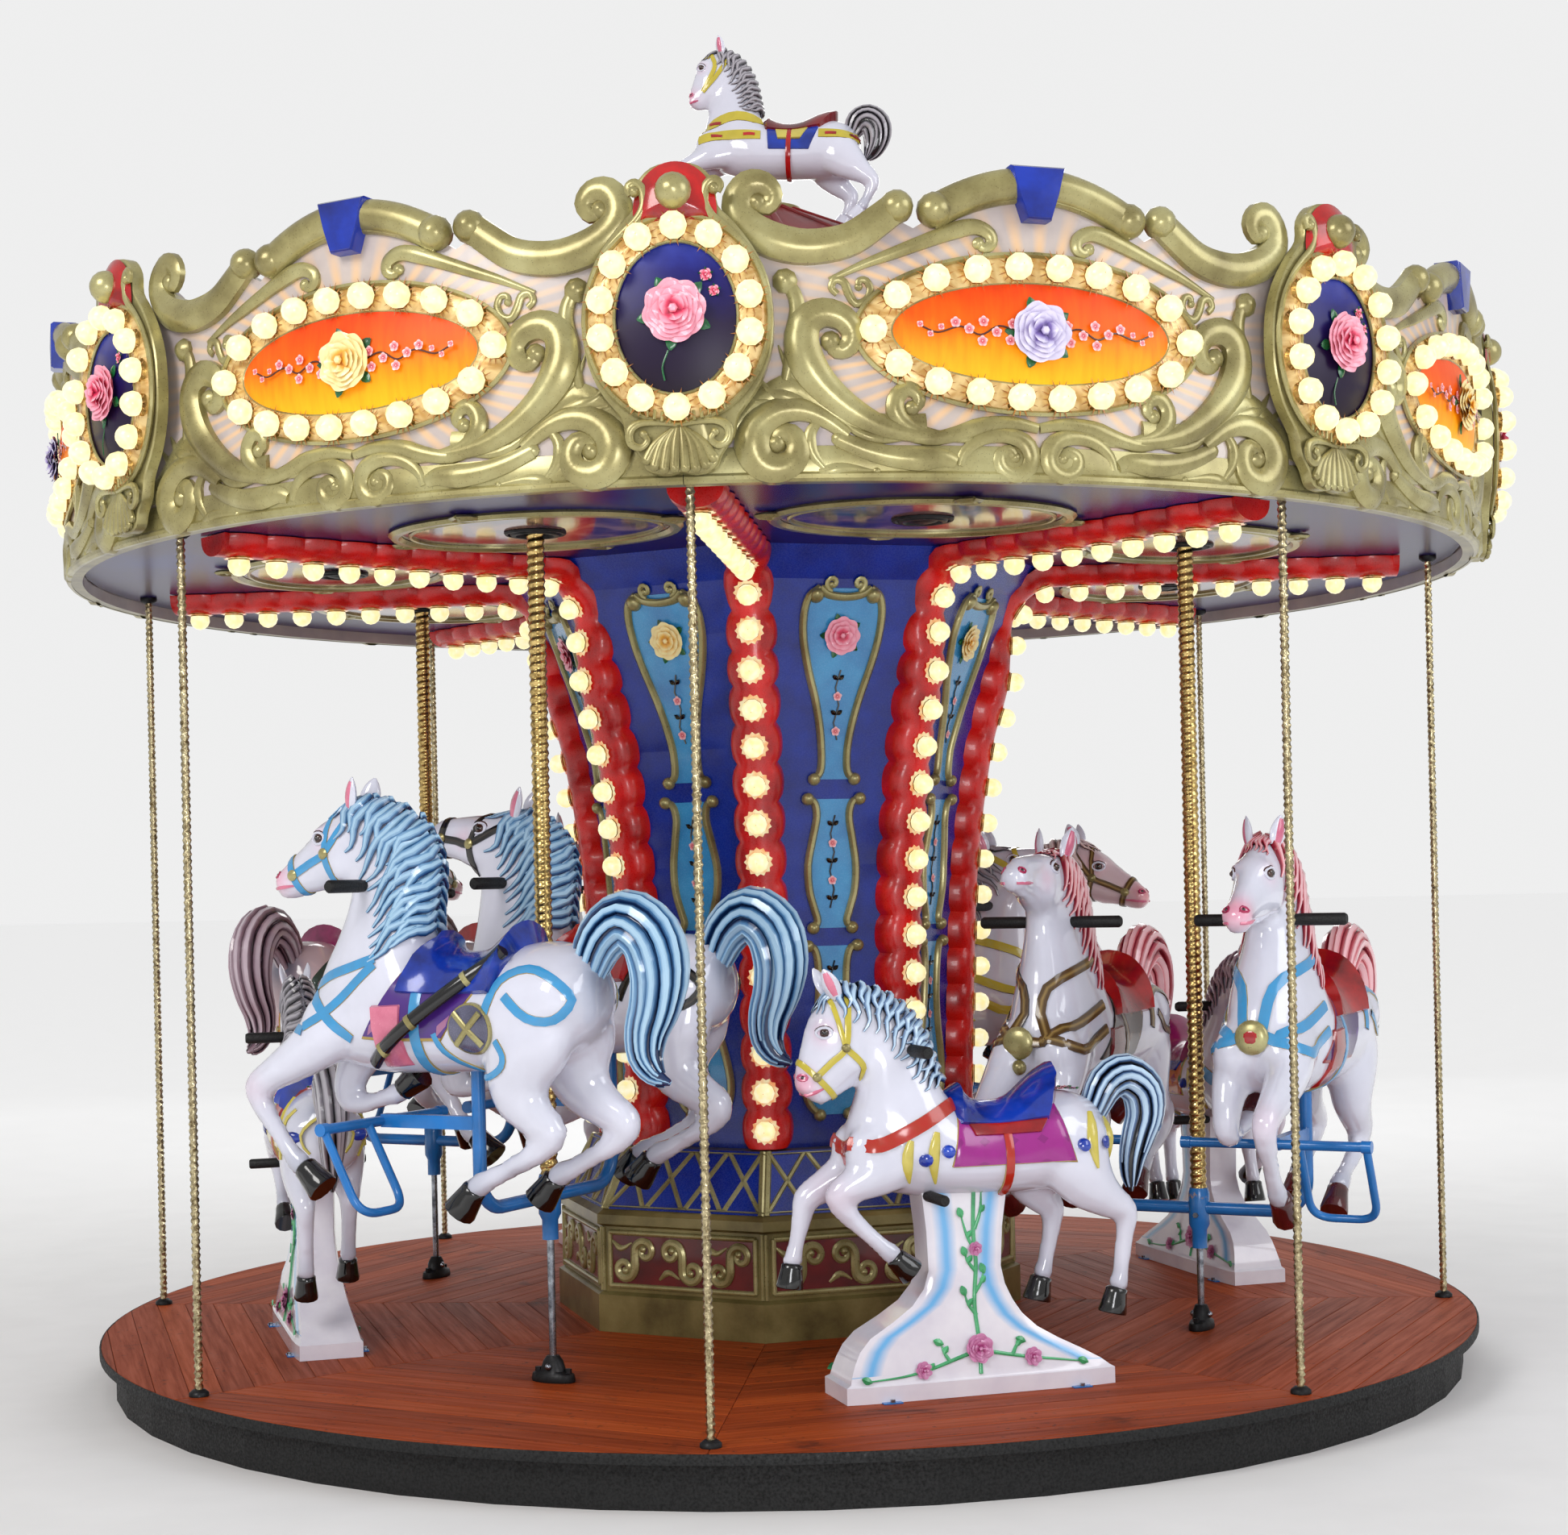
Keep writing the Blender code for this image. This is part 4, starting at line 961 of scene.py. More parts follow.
def blossom_sprig(shape, side, lift):
    """A thin twig with small white blossoms, out from the middle flower."""
    twig = [(0.06, OVAL_HEIGHT), (0.11, 2.852), (0.16, 2.828), (0.21, 2.848), (0.27, 2.832), (0.31, 2.846)]
    open_ones = [(0.075, 2.858), (0.082, 2.816), (0.118, 2.836), (0.152, 2.862), (0.156, 2.812), (0.19, 2.842)]
    open_ones.append((0.225, 2.858))
    buds = [(0.262, 2.846), (0.290, 2.828), (0.316, 2.852)]
    relief(shape, sided(smooth_path(twig, 5), side), 0.0026, lift, "twig", 4)
    for spots, size, petals_each, turn in ((open_ones, 0.014, 5, 0.3), (buds, 0.009, 4, 0.9)):
        for spot in sided(spots, side):
            flower(shape, spot, size, "blossom", lift, 1, petals_each, turn, leaves=False)


def board_shape(petal_colour):
    shape = Shape()
    half = BOARD_FACE * BAY / 2 - 0.001
    across = np.linspace(-half, half, 75)
    top = np.interp(np.abs(across), *zip(*BOARD_TOP_LINE))
    rows = []
    uvs = []
    for spot, height in zip(across, top):
        heights = [BOARD_FOOT, height, height, BOARD_FOOT]
        rows.append([(spot, up, lift) for up, lift in zip(heights, (0.0, 0.0, BOARD_BACK, BOARD_BACK))])
        uvs.extend([(spot / (2 * half) + 0.5, (up - BOARD_FOOT) / 0.8) for up in heights])
    shape.grid(rows, "ground", uvs=uvs)
    shape.grid([[(spot, BOARD_FOOT, BOARD_BACK), (spot, BOARD_FOOT, 0.0)] for spot in across], "deep_gold")
    arch = [(spot, 3.222 - 1.12 * spot * spot) for spot in np.linspace(-0.268, 0.268, 25)]
    relief(shape, arch, 0.044, 0.004, deep=0.038, sides=12)
    relief(shape, [(x, z - 0.040) for x, z in arch], 0.008, 0.006, deep=0.014)
    for side in (-1, 1):
        shape.ball((side * 0.268, 3.146, 0.008), 0.047, "gold", 8, 14)
        shape.ball((side * 0.366, 3.152, 0.008), 0.044, "gold", 8, 14)
        for points, width, ball in BOARD_SCROLLS:
            flat = smooth_path(sided(points, side), 3)
            widths = taper(len(flat), *width)
            relief(shape, flat, widths, 0.003, end=ball)
        blossom_sprig(shape, side, 0.030)
    keystone = np.array(
        [(-0.034, 3.124), (0.034, 3.124), (0.056, 3.190), (0.074, 3.262), (-0.074, 3.262), (-0.056, 3.190)]
    )
    middle = np.mean(keystone, 0)
    rows = [[(*point, -0.03) for point in keystone], [(*point, 0.038) for point in keystone]]
    for share, lift in ((0.92, 0.047), (0.05, 0.049)):
        rows.append([(*(middle + (point - middle) * share), lift) for point in keystone])
    shape.grid(rows, "key_blue", wrap=True, cap=True)
    edge = np.linspace(-half, half, 60)
    relief(shape, [(spot, 2.472) for spot in edge], 0.014, 0.002, deep=0.013)
    relief(shape, [(spot, 2.508) for spot in edge], 0.046, 0.0, deep=0.009)
    for side in (-1, 1):
        swag = [
            (0.30, 2.60), (0.42, 2.60), (0.54, 2.64), (0.64, 2.70), (0.72, 2.66), (0.80, 2.60), (half - 0.002, 2.585)
        ]
        relief(shape, smooth_path(sided(swag, side), 4), 0.034, 0.0, deep=0.015)
    middle = (0, OVAL_HEIGHT)
    annulus(shape, middle, OVAL_HALF, OVAL_RING, (0.012, 0.016, 0.014, 0.004), "ring")
    fill_outline(shape, ellipse(middle, OVAL_HALF, 56), 0.011, "sunset", 0.016)
    for outer, radius in ((OVAL_RING, 0.0075), (OVAL_HALF, 0.0035)):
        shape.ring(ellipse(middle, outer, 56), 0.010, radius, radius, 5)
    for spot in evenly(ellipse(middle, OVAL_BULBS, 96), 18):
        bulb(shape, (*spot, 0.012), (0, 0, 1))
        bulb_rays(shape, spot, BULB, 0.0185)
    flower(shape, middle, 0.080, petal_colour, 0.026, 5, 7)
    return shape.mapped(to_board)


# Shields, in flat coordinates: across, up from the deck, and lift off the plate

SHIELD_PLATE = 2.40
SHIELD_MIDDLE = 2.863
SHIELD_OUTLINE = [
    (0.0, 3.262), (0.06, 3.248), (0.10, 3.205), (0.105, 3.15), (0.15, 3.10), (0.205, 3.02), (0.236, 2.93),
    (0.238, 2.80), (0.205, 2.70), (0.15, 2.625), (0.135, 2.57), (0.105, 2.53), (0.085, 2.49), (0.04, 2.478),
    (0.0, 2.484),
]


def to_shield(points):
    return np.stack([points[:, 0], -(SHIELD_PLATE + points[:, 2]), DECK_TOP + points[:, 1]], 1)


def shield_shape():
    shape = Shape()
    right = smooth_path(SHIELD_OUTLINE, 3)
    outline = np.vstack([right, sided(right[-2:0:-1], -1)])
    middle = np.array((0.0, SHIELD_MIDDLE))
    rows = []
    for share, lift in ((1.0, -0.034), (1.0, -0.004), (0.985, 0.0), (0.5, 0.004), (0.01, 0.004)):
        rows.append([(*(middle + (point - middle) * share), lift) for point in outline])
    shape.grid(rows, "gold", wrap=True, cap=True)
    annulus(shape, middle, (0.154, 0.189), (0.232, 0.260), (0.024, 0.032, 0.028, 0.004), "ring")
    fill_outline(shape, ellipse(middle, (0.155, 0.190), 48), 0.020, "night", 0.022, rings=5)
    for half, radius, lift in (((0.234, 0.262), 0.008, 0.012), ((0.156, 0.191), 0.0045, 0.026)):
        shape.ring(ellipse(middle, half, 48), lift, radius, radius, 6)
    for spot in evenly(ellipse(middle, (0.192, 0.226), 96, pi / 2), 14):
        bulb(shape, (*spot, 0.026), (0, 0, 1))
        bulb_rays(shape, spot, BULB, 0.0335, 14, 0.45)
    cap = [(0.106 * cos(turn), 3.135 + 0.124 * sin(turn)) for turn in np.linspace(-0.25, pi + 0.25, 26)]
    fill_outline(shape, cap, 0.006, "red", 0.034, (0, 3.16), 6)
    shape.ball((0, 3.178, 0.032), 0.047, "gold", 9, 16)
    flower(shape, (0.0, SHIELD_MIDDLE + 0.012), 0.082, "rose", 0.040, 6, 8, 0.2)
    for spot, size in (((0.078, 2.965), 0.017), ((0.098, 2.925), 0.015)):
        flower(shape, spot, size, "rose", 0.034, 2, 4, 1.0)
    stem = smooth_path([(-0.02, 2.78), (-0.035, 2.74), (-0.03, 2.705)], 5)
    relief(shape, stem, 0.0025, 0.036, "leaf", 5)
    for side in (-1, 1):
        curl = [(0.106, 3.178), (0.114, 3.196), (0.098, 3.206), (0.080, 3.188), (0.076, 3.152), (0.094, 3.118)]
        curl += [(0.132, 3.084), (0.172, 3.042), (0.206, 2.985), (0.226, 2.92)]
        flat = smooth_path(sided(curl, side), 4)
        relief(shape, flat, taper(len(flat), 0.013, 0.013, 0.005), 0.012)
        shape.ball((side * 0.100, 3.184, 0.016), 0.015, "gold", 6, 10)
        volute = [(0.004, 2.600), (0.05, 2.606), (0.096, 2.606), (0.124, 2.588), (0.122, 2.556), (0.098, 2.544)]
        volute += [(0.080, 2.560), (0.090, 2.578)]
        flat = smooth_path(sided(volute, side), 4)
        relief(shape, flat, taper(len(flat), 0.007, 0.012, 0.007), 0.014, end=0.011)
        for fan, foot in ((0.014, 2.492), (0.040, 2.490), (0.064, 2.498), (0.084, 2.514)):
            flat = smooth_path([(side * 0.004, 2.600), (side * fan * 0.7, 2.555), (side * fan, foot)], 4)
            relief(shape, flat, taper(len(flat), 0.004, 0.012, 0.0135, 0.6), 0.008, end=0.0135)
        for index in range(6):
            tip = (side * (0.020 + 0.019 * index), 2.612 + 0.006 * index)
            relief(shape, [(tip[0], tip[1] + 0.012), (tip[0] + side * 0.002, tip[1] - 0.012)], 0.0045, 0.026, "gold", 6)
    return shape.mapped(to_shield)


def canopy():
    boards = [board_shape(colour).mesh(f"board_{colour}") for colour in ("violet", "yellow")]
    shield_mesh = shield_shape().mesh("shield")
    for index in range(8):
        turn = turned_about((index + 0.5) * BAY)
        name = f"rounding_board_{index + 1}"
        piece(name + "_carved", boards[index % 2], "turntable", (name,), turn)
        name = f"shield_{index + 1}"
        piece(name + "_carved", shield_mesh, "turntable", (name,), turned_about(index * BAY))


# Roof, ceiling and light ribs

ROOF_EDGE = (2.29, 2.78)
ROOF_CAP = (0.12, 3.755)


def roof_height(reach):
    share = max((reach - ROOF_CAP[0]) / (ROOF_EDGE[0] - ROOF_CAP[0]), 0)
    return ROOF_CAP[1] + (ROOF_EDGE[1] - ROOF_CAP[1]) * share


def roof():
    repaint("roof", "roof")
    shape = Shape()
    for index in range(16):
        angle = (index + 0.5) * BAY / 2
        path = []
        for share in np.linspace(0, 1, 8):
            reach = ROOF_EDGE[0] + (ROOF_CAP[0] - ROOF_EDGE[0]) * share
            height = DECK_TOP + ROOF_EDGE[1] + (ROOF_CAP[1] - ROOF_EDGE[1]) * share + 0.002
            path.append((reach * sin(angle) * 0.997, -reach * cos(angle) * 0.997, height))
        shape.sweep(path, 0.012, 0.006, "roof", 8, normal=(0, 0, 1))
    for reach, size in ((0.12, 0.012), (1.3, 0.006)):
        outline = [(reach * sin(turn), -reach * cos(turn)) for turn in full_turn(64)]
        shape.ring(outline, DECK_TOP + (roof_height(reach) + 0.002), size, size, 8)
    piece("roof_seams", shape.mesh("roof_seams"), "turntable")


def ceiling():
    repaint("ceiling", "ceiling")
    shape = Shape()
    low = DECK_TOP + CEILING
    frame_half = (0.44, 0.34)
    for index in range(8):
        part = Shape()
        outer = ellipse((0, 0), frame_half, 40)
        inner = ellipse((0, 0), (0.056, 0.056), 40)
        rows = []
        for share in (0.0, 0.25, 0.5, 0.75, 1.0):
            flat = outer + (inner - outer) * share
            rows.append(np.column_stack([flat, np.full(40, low - 0.006 - 0.004 * share)]))
        uvs = np.array(rows).reshape(-1, 3)[:, :2]
        part.grid(rows[::-1], "picture", wrap=True, uvs=uvs)
        part.ring(outer, low - 0.008, 0.020, 0.012, 6, facing=-1)
        part.ring(ellipse((0, 0), (0.395, 0.295), 40), low - 0.010, 0.006, 0.005, 5, facing=-1)
        for turn in np.arange(4) * pi / 2:
            middle = np.array((frame_half[0] * cos(turn), frame_half[1] * sin(turn)))
            for side in (-1, 1):
                flat = spiral(middle * 1.04, 0.045, side * 1.1, turn, 9)
                part.sweep(np.column_stack([flat, np.full(9, low - 0.012)]), 0.009, 0.007, "gold", 4, normal=(0, 0, -1))
        for hub, size in ((0.064, 0.012), (0.085, 0.007)):
            part.ring(ellipse((0, 0), (hub, hub), 20), low - 0.012, size, size, 6, "iron", -1)
        if index % 2:
            part.ball((0, 0, low - 0.006), 0.056, "iron", 8, 20, (1, 1, 0.35))
        shape.merge(part, on_circle(JUMPER_CIRCLE, (index - 0.5) * BAY))
    piece("ceiling_ovals", shape.mesh("ceiling_ovals"), "turntable")


COLUMN_CORNERS = [
    (0.587, 0.585), (1.05, 0.60), (1.50, 0.625), (1.88, 0.68), (2.10, 0.74), (2.24, 0.785), (2.40, 0.85), (2.50, 0.93),
]
RIB_DEPTH = 0.062
RIB_HALF = 0.082
RIB_LOBE = 0.123


def rib_line():
    """The front line of a light rib: reach and height, at even steps, with the way it faces."""
    bend = [(0.81 + 0.16 * (1 - cos(turn)), 2.235 + 0.20 * sin(turn)) for turn in np.linspace(0, pi / 2, 6)]
    line = [
        (0.647, 0.592), (0.662, 1.05), (0.687, 1.50), (0.742, 1.88), (0.802, 2.10)
    ] + bend[1:] + [(1.4, 2.435), (2.135, 2.435)]
    line = smooth_path(line, 10)
    run = lengths(line)
    even = np.arange(0, run[-1], RIB_LOBE / 6)
    line = np.stack([np.interp(even, run, line[:, axis]) for axis in (0, 1)], 1)
    ahead = headings(line)
    return line, np.stack([ahead[:, 1], -ahead[:, 0]], 1), even


def rib_shape():
    line, facing, run = rib_line()
    shape = Shape()
    rows = []
    for spot, out, along in zip(line, facing, run):
        lobe = abs(sin(pi * along / RIB_LOBE)) ** 0.55
        row = []
        for turn in np.linspace(-pi / 2, pi / 2, 13):
            swell = 1.0 if abs(turn) < 0.35 else 0.78 + 0.22 * lobe
            across = RIB_HALF * sin(turn) * swell
            lift = RIB_DEPTH * (cos(turn) ** 0.8 - 1) * (0.95 + 0.05 * lobe)
            row.append((across, -(spot[0] + out[0] * lift), DECK_TOP + spot[1] + out[1] * lift))
        for side in (1, -1):
            lift = -RIB_DEPTH - 0.030 * min(1.0, max(0.0, (2.30 - spot[1]) / 0.2))
            edge = side * RIB_HALF * (0.78 + 0.22 * lobe)
            row.append(
                (edge, -(spot[0] + out[0] * lift), min(DECK_TOP + spot[1] + out[1] * lift, DECK_TOP + CEILING - 0.001))
            )
        rows.append(row)
    shape.grid(rows, "rib_red", wrap=True, cap=True)
    for index in range(int(run[-1] / RIB_LOBE)):
        along = (index + 0.5) * RIB_LOBE
        spot = [np.interp(along, run, line[:, axis]) for axis in (0, 1)]
        out = [np.interp(along, run, facing[:, axis]) for axis in (0, 1)]
        base, outward = (0, -spot[0] - out[0] * 0.001, DECK_TOP + spot[1] + out[1] * 0.001), (0, -out[0], out[1])
        bulb(shape, base, outward, 0.034, 0.55)
        painted_bulb_glow(shape, base, outward, 0.047)
    return shape


def light_ribs():
    mesh = rib_shape().mesh("light_rib", 50)
    for index in range(8):
        name = f"light_rib_{index + 1}"
        piece(name + "_lobed", mesh, "turntable", (name,), turned_about(index * BAY))


# Column cartouches and pedestal

CARTOUCHE = [
    [
        (2.372, 0.085), (2.345, 0.118), (2.29, 0.130), (2.21, 0.124), (2.12, 0.102), (2.03, 0.074), (1.94, 0.053),
        (1.86, 0.043), (1.80, 0.046), (1.775, 0.068),
    ],
    [
        (1.712, 0.088), (1.70, 0.064), (1.655, 0.055), (1.58, 0.068), (1.50, 0.081), (1.42, 0.077), (1.36, 0.061),
        (1.318, 0.050), (1.296, 0.066),
    ],
    [
        (1.238, 0.084), (1.226, 0.060), (1.17, 0.048), (1.06, 0.048), (0.96, 0.062), (0.87, 0.086), (0.79, 0.098),
        (0.73, 0.085), (0.69, 0.05),
    ],
]


def to_column(points):
    """From a column face's flat coordinates onto the flared face."""
    heights, corners = zip(*COLUMN_CORNERS)
    apothem = np.interp(points[:, 1], heights, corners) * cos(BAY / 2)
    return np.stack([points[:, 0], -(apothem + points[:, 2]), DECK_TOP + points[:, 1]], 1)


def cartouche_shape(petal_colour):
    shape = Shape()
    for number, segment in enumerate(CARTOUCHE):
        flat = smooth_path(segment, 4)
        rows = [[(side * half * 0.97, height, 0.002) for side in np.linspace(-1, 1, 5)] for height, half in flat]
        shape.grid(rows, "sky")
        for side in (-1, 1):
            edge = [(side * half, height) for height, half in flat]
            relief(shape, edge, 0.013, 0.004, deep=0.016)
            for end in ((edge[0], edge[-1]) if number else (edge[-1],)):
                shape.ball((*end, 0.010), 0.021, "gold", 7, 12)
        if number == 0:
            top = smooth_path([(-0.085, 2.372), (-0.055, 2.352), (0, 2.345), (0.055, 2.352), (0.085, 2.372)], 4)
            relief(shape, top, 0.013, 0.004, deep=0.016)
            for side in (-1, 1):
                shape.ball((side * 0.095, 2.348, 0.010), 0.024, "gold", 7, 12)
                flat = spiral((side * 0.045, 2.385), 0.024, side * 1.1, -pi / 2, 12)
                relief(shape, flat, 0.008, 0.008, end=0.010)
    flower(shape, (0, 2.225), 0.060, petal_colour, 0.004, 3, 8)
    for top, foot in ((2.12, 1.90), (1.66, 1.36), (1.19, 0.80)):
        count = max(int((top - foot) / 0.05), 3)
        twig = [(0.007 * (-1) ** step, top + (foot - top) * step / count) for step in range(count + 1)]
        relief(shape, twig, 0.0028, 0.004, "pupil", 5)
        for step in range(count):
            height = top + (foot - top) * (step + 0.5) / count
            if step % 2:
                flower(shape, (0, height), 0.015, "blossom", 0.005, 1, 5, 0.3, leaves=False)
            else:
                for side in (-1, 1):
                    add_leaf(shape, (side * 0.005, height), pi / 2 + side * -0.9, 0.022, 0.004, "pupil")
    return shape.mapped(to_column)


def column():
    repaint("column", "blue")
    for index in range(8):
        name = f"cartouche_{index + 1}"
        mesh = cartouche_shape(("yellow", "rose")[index % 2]).mesh(name)
        piece(name, mesh, "turntable", (), turned_about((index - 0.5) * BAY))


# The pedestal's red panel and its slope: reach to a corner, and heights above the deck
PANEL_CORNER = 0.78
PANEL_MIDDLE = 0.236
SLOPE_LOW = (0.775, 0.396)
SLOPE_HIGH = (0.67, 0.587)


def pedestal_shape():
    """Relief panel and lattice of one side of the pedestal."""
    shape = Shape()
    flat = Shape()
    half = PANEL_CORNER * sin(BAY / 2)
    inner = half - 0.030
    low, high = 0.150, 0.322
    loop = [(-inner, low), (inner, low), (inner, high), (-inner, high)]
    flat.grid([[(side * inner, height, 0.002) for side in (-1, 1)] for height in (low, high)], "dark_red")
    for start, end in zip(loop, loop[1:] + loop[:1]):
        relief(flat, [start, end], 0.009, 0.002, deep=0.010, sides=8)
    for side in (-1, 1):
        relief(flat, [(side * (half - 0.006), 0.132), (side * (half - 0.006), 0.338)], 0.006, 0.0, deep=0.008)
    for middle, hand in ((-0.176, -1), (0.0, 1), (0.176, -1)):
        first = spiral((middle - 0.038, PANEL_MIDDLE + hand * 0.028), 0.040, hand * 1.25, -hand * 0.4, 20)
        second = spiral((middle + 0.038, PANEL_MIDDLE - hand * 0.028), 0.040, hand * 1.25, pi - hand * 0.4, 20)
        path = smooth_path(np.vstack([first[::-1][::2], second[::2]]), 3)
        relief(flat, path, taper(len(path), 0.010, 0.016, 0.010, 0.5), 0.002, end=0.013)
        flat.ball((*first[-1], 0.004), 0.013, "gold", 6, 10)
        leaf = [(-0.085, 0.06), (-0.05, 0.035), (-0.01, 0.055)]
        leaf = smooth_path([(middle + across, PANEL_MIDDLE - hand * drop) for across, drop in leaf], 4)
        relief(flat, leaf, taper(len(leaf), 0.004, 0.012, 0.003), 0.002)

    def to_panel(points):
        return np.stack([points[:, 0], -(PANEL_CORNER * cos(BAY / 2) + points[:, 2]), DECK_TOP + points[:, 1]], 1)

    shape.merge(flat.mapped(to_panel))
    # The lattice is drawn in real widths, with its height as a share of the slope
    slope = Shape()
    low_half, high_half = (corner * sin(BAY / 2) for corner in (SLOPE_LOW[0], SLOPE_HIGH[0]))
    corners = [[(side * half, up, 0.001) for side in (-1, 1)] for half, up in ((low_half, 0), (high_half, 1))]
    slope.grid(corners, "blue")
    cells = 4
    for index in range(-1, cells + 1):
        for hand in (-1, 1):
            ends = []
            for up in (0.06, 0.94):
                share = (index + (up if hand > 0 else 1 - up)) / cells * 2 - 1
                reach = low_half + (high_half - low_half) * up - 0.008
                ends.append((share * reach, up, 0.001))
            path = np.array([ends[0] + (np.array(ends[1]) - ends[0]) * t for t in np.linspace(0, 1, 6)])
            keep = [point for point in path if abs(point[0]) < low_half + (high_half - low_half) * point[1]]
            if len(keep) > 1:
                slope.sweep(keep, 0.010, 0.008, "gold", 6, normal=(0, 0, 1))
    for up, size in ((0.045, 0.014), (0.955, 0.012)):
        reach = low_half + (high_half - low_half) * up
        slope.sweep([(-reach, up, 0), (reach, up, 0)], size, 0.008, "gold", 6, normal=(0, 0, 1))
    for side in (-1, 1):
        ends = [(side * (half - 0.01), up, 0) for half, up in ((low_half, 0.0), (high_half, 1.0))]
        slope.sweep(ends, 0.012, 0.008, "gold", 6, normal=(0, 0, 1))

    rise = np.array(((SLOPE_LOW[0] - SLOPE_HIGH[0]) * cos(BAY / 2), SLOPE_HIGH[1] - SLOPE_LOW[1]))
    out = np.array((rise[1], rise[0])) / np.linalg.norm(rise)

    def to_slope(points):
        up = points[:, 1]
        reach = (SLOPE_LOW[0] + (SLOPE_HIGH[0] - SLOPE_LOW[0]) * up) * cos(BAY / 2) + points[:, 2] * out[0]
        height = SLOPE_LOW[1] + (SLOPE_HIGH[1] - SLOPE_LOW[1]) * up + points[:, 2] * out[1]
        return np.stack([points[:, 0], -reach, DECK_TOP + height], 1)

    shape.merge(slope.mapped(to_slope))
    return shape


def pedestal():
    repaint("pedestal", "deep_gold")
    mesh = pedestal_shape().mesh("pedestal_side", 35)
    for index in range(8):
        piece(f"pedestal_panel_{index + 1}", mesh, "turntable", (), turned_about((index + 0.5) * BAY))


# Deck

BOARD_WIDTH = 0.094


def deck():
    repaint("base", "skirt")
    rng = random.Random(5)
    shape = Shape()
    rim = DECK_RADIUS - 0.006
    low, high = DECK_TOP - 0.03, DECK_TOP
    for sector in range(8):
        middle = (sector + 0.5) * BAY
        reach = 0.10
        while reach < rim - 0.01:
            far = min(reach + BOARD_WIDTH, rim)
            right = []
            for step in np.linspace(reach + 0.0008, far - 0.0008, 4 if far < rim * 0.9 else 9):
                edge = min(step * tan(BAY / 2), sqrt(max(rim * rim - step * step, 0)))
                right.append((max(edge - 0.0008, 0.003), step))
            outline = np.array(right + sided(right[::-1], -1))
            centre = outline.mean(0)
            part = Shape()
            part.tone = rng.uniform(0.02, 1.0)
            shift = rng.uniform(0, 20)
            rows = []
            away = outline - centre
            for inset, height in ((0.0, low), (0.0, high - 0.0015), (0.0015, high)):
                flat = centre + away * (1 - inset / np.maximum(np.abs(away), 0.02))
                rows.append(np.column_stack([flat, np.full(len(outline), height)]))
            rows = np.array(rows)
            uvs = rows.reshape(-1, 3)[:, :2] + (shift, shift)
            part.grid(rows, "deck", wrap=True, cap=True, uvs=uvs)
            shape.merge(part, turned_about(middle) @ turned_about(pi))
            reach = far
    turns = np.linspace(0, 2 * pi, 145)
    profile = [(rim + 0.001, low), (rim + 0.001, high - 0.001), (DECK_RADIUS - 0.001, high - 0.001)]
    profile += [(DECK_RADIUS, high - 0.003), (DECK_RADIUS, low)]
    rows = [[(reach * sin(turn), -reach * cos(turn), height) for turn in turns] for reach, height in profile]
    shape.grid(rows, "skirt")
    piece("deck_boards", shape.mesh("deck_boards", 30), "turntable", ("deck",))


# Poles and lifting frames


def twisted(shape, radius, low, high, ridges, pitch, step, sides, material, depth):
    """A pole with ridges that wind up it."""
    heights = np.arange(low, high, step)
    turns = 2 * pi * np.arange(sides) / sides
    reach = radius * (
        1 - depth + depth * np.cos(ridges * (turns[None, :] - 2 * pi * heights[:, None] / pitch / ridges))
    )
    rows = np.stack([reach * np.cos(turns), reach * np.sin(turns), np.repeat(heights[:, None], sides, 1)], -1)
    shape.grid(rows, material, wrap=True, cap=True)


def rim_poles():
    shape = Shape()
    twisted(shape, 0.0138, 0.012, CEILING - 0.001, 2, 0.020, 0.0060, 6, "thin_brass", 0.16)
    for base, top in ((0.0004, 0.020), (CEILING - 0.020, CEILING - 0.0008)):
        reaches = (0.029, 0.029, 0.017) if base < 1 else (0.017, 0.029, 0.029)
        shape.lathe(list(zip(reaches, (base, (base + top) / 2, top))), "iron", 20)
    for turn in np.arange(4) * pi / 2 + 0.4:
        shape.ball((0.023 * cos(turn), 0.023 * sin(turn), 0.011), 0.004, "iron", 4, 6)
    mesh = shape.mesh("rim_pole", 60)
    for index in range(8):
        name = f"rim_pole_{index + 1}"
        place = on_circle(RIM_POLE_CIRCLE, index * BAY, DECK_TOP)
        piece(name + "_twisted", mesh, "turntable", (name,), place)


def jumper_place(index, raised=True):
    height = DECK_TOP + (ARM_MEAN + JUMPER_RISE[index] if raised else 0)
    return on_circle(JUMPER_CIRCLE, (2 * index - 0.5) * BAY, height)


def guide_rods():
    shape = Shape()
    shape.sweep([(0, 0, 0.03), (0, 0, 0.40), (0, 0, 0.80)], 0.011, None, "steel", 16)
    foot = [(0.068, 0.034, 0.0004), (0.070, 0.035, 0.006), (0.066, 0.032, 0.024)]
    foot += [(0.040, 0.026, 0.032), (0.030, 0.024, 0.060), (0.018, 0.018, 0.076)]
    rows = []
    for half_x, half_y, height in foot:
        rows.append([(half_x * cos(t) * 1.05, half_y * sin(t) * 1.05, height) for t in full_turn(20)])
    shape.grid(rows, "iron", wrap=True, cap=True)
    for side in (-1, 1):
        shape.sweep([(side * 0.052, 0, 0.010), (side * 0.052, 0, 0.040)], 0.010, None, "iron", 6)
        shape.ball((0.0, side * 0.026, 0.046), 0.011, "steel", 6, 10)
    mesh = shape.mesh("guide_rod")
    for index in range(4):
        name = f"guide_rod_{index + 1}"
        piece(name + "_steel", mesh, "turntable", (name,), jumper_place(index, False))


# Where a lifting frame's foot bars are: ahead of its pole and above its arms
FOOT_BAR = -0.33
FOOT_BAR_UP = 0.246


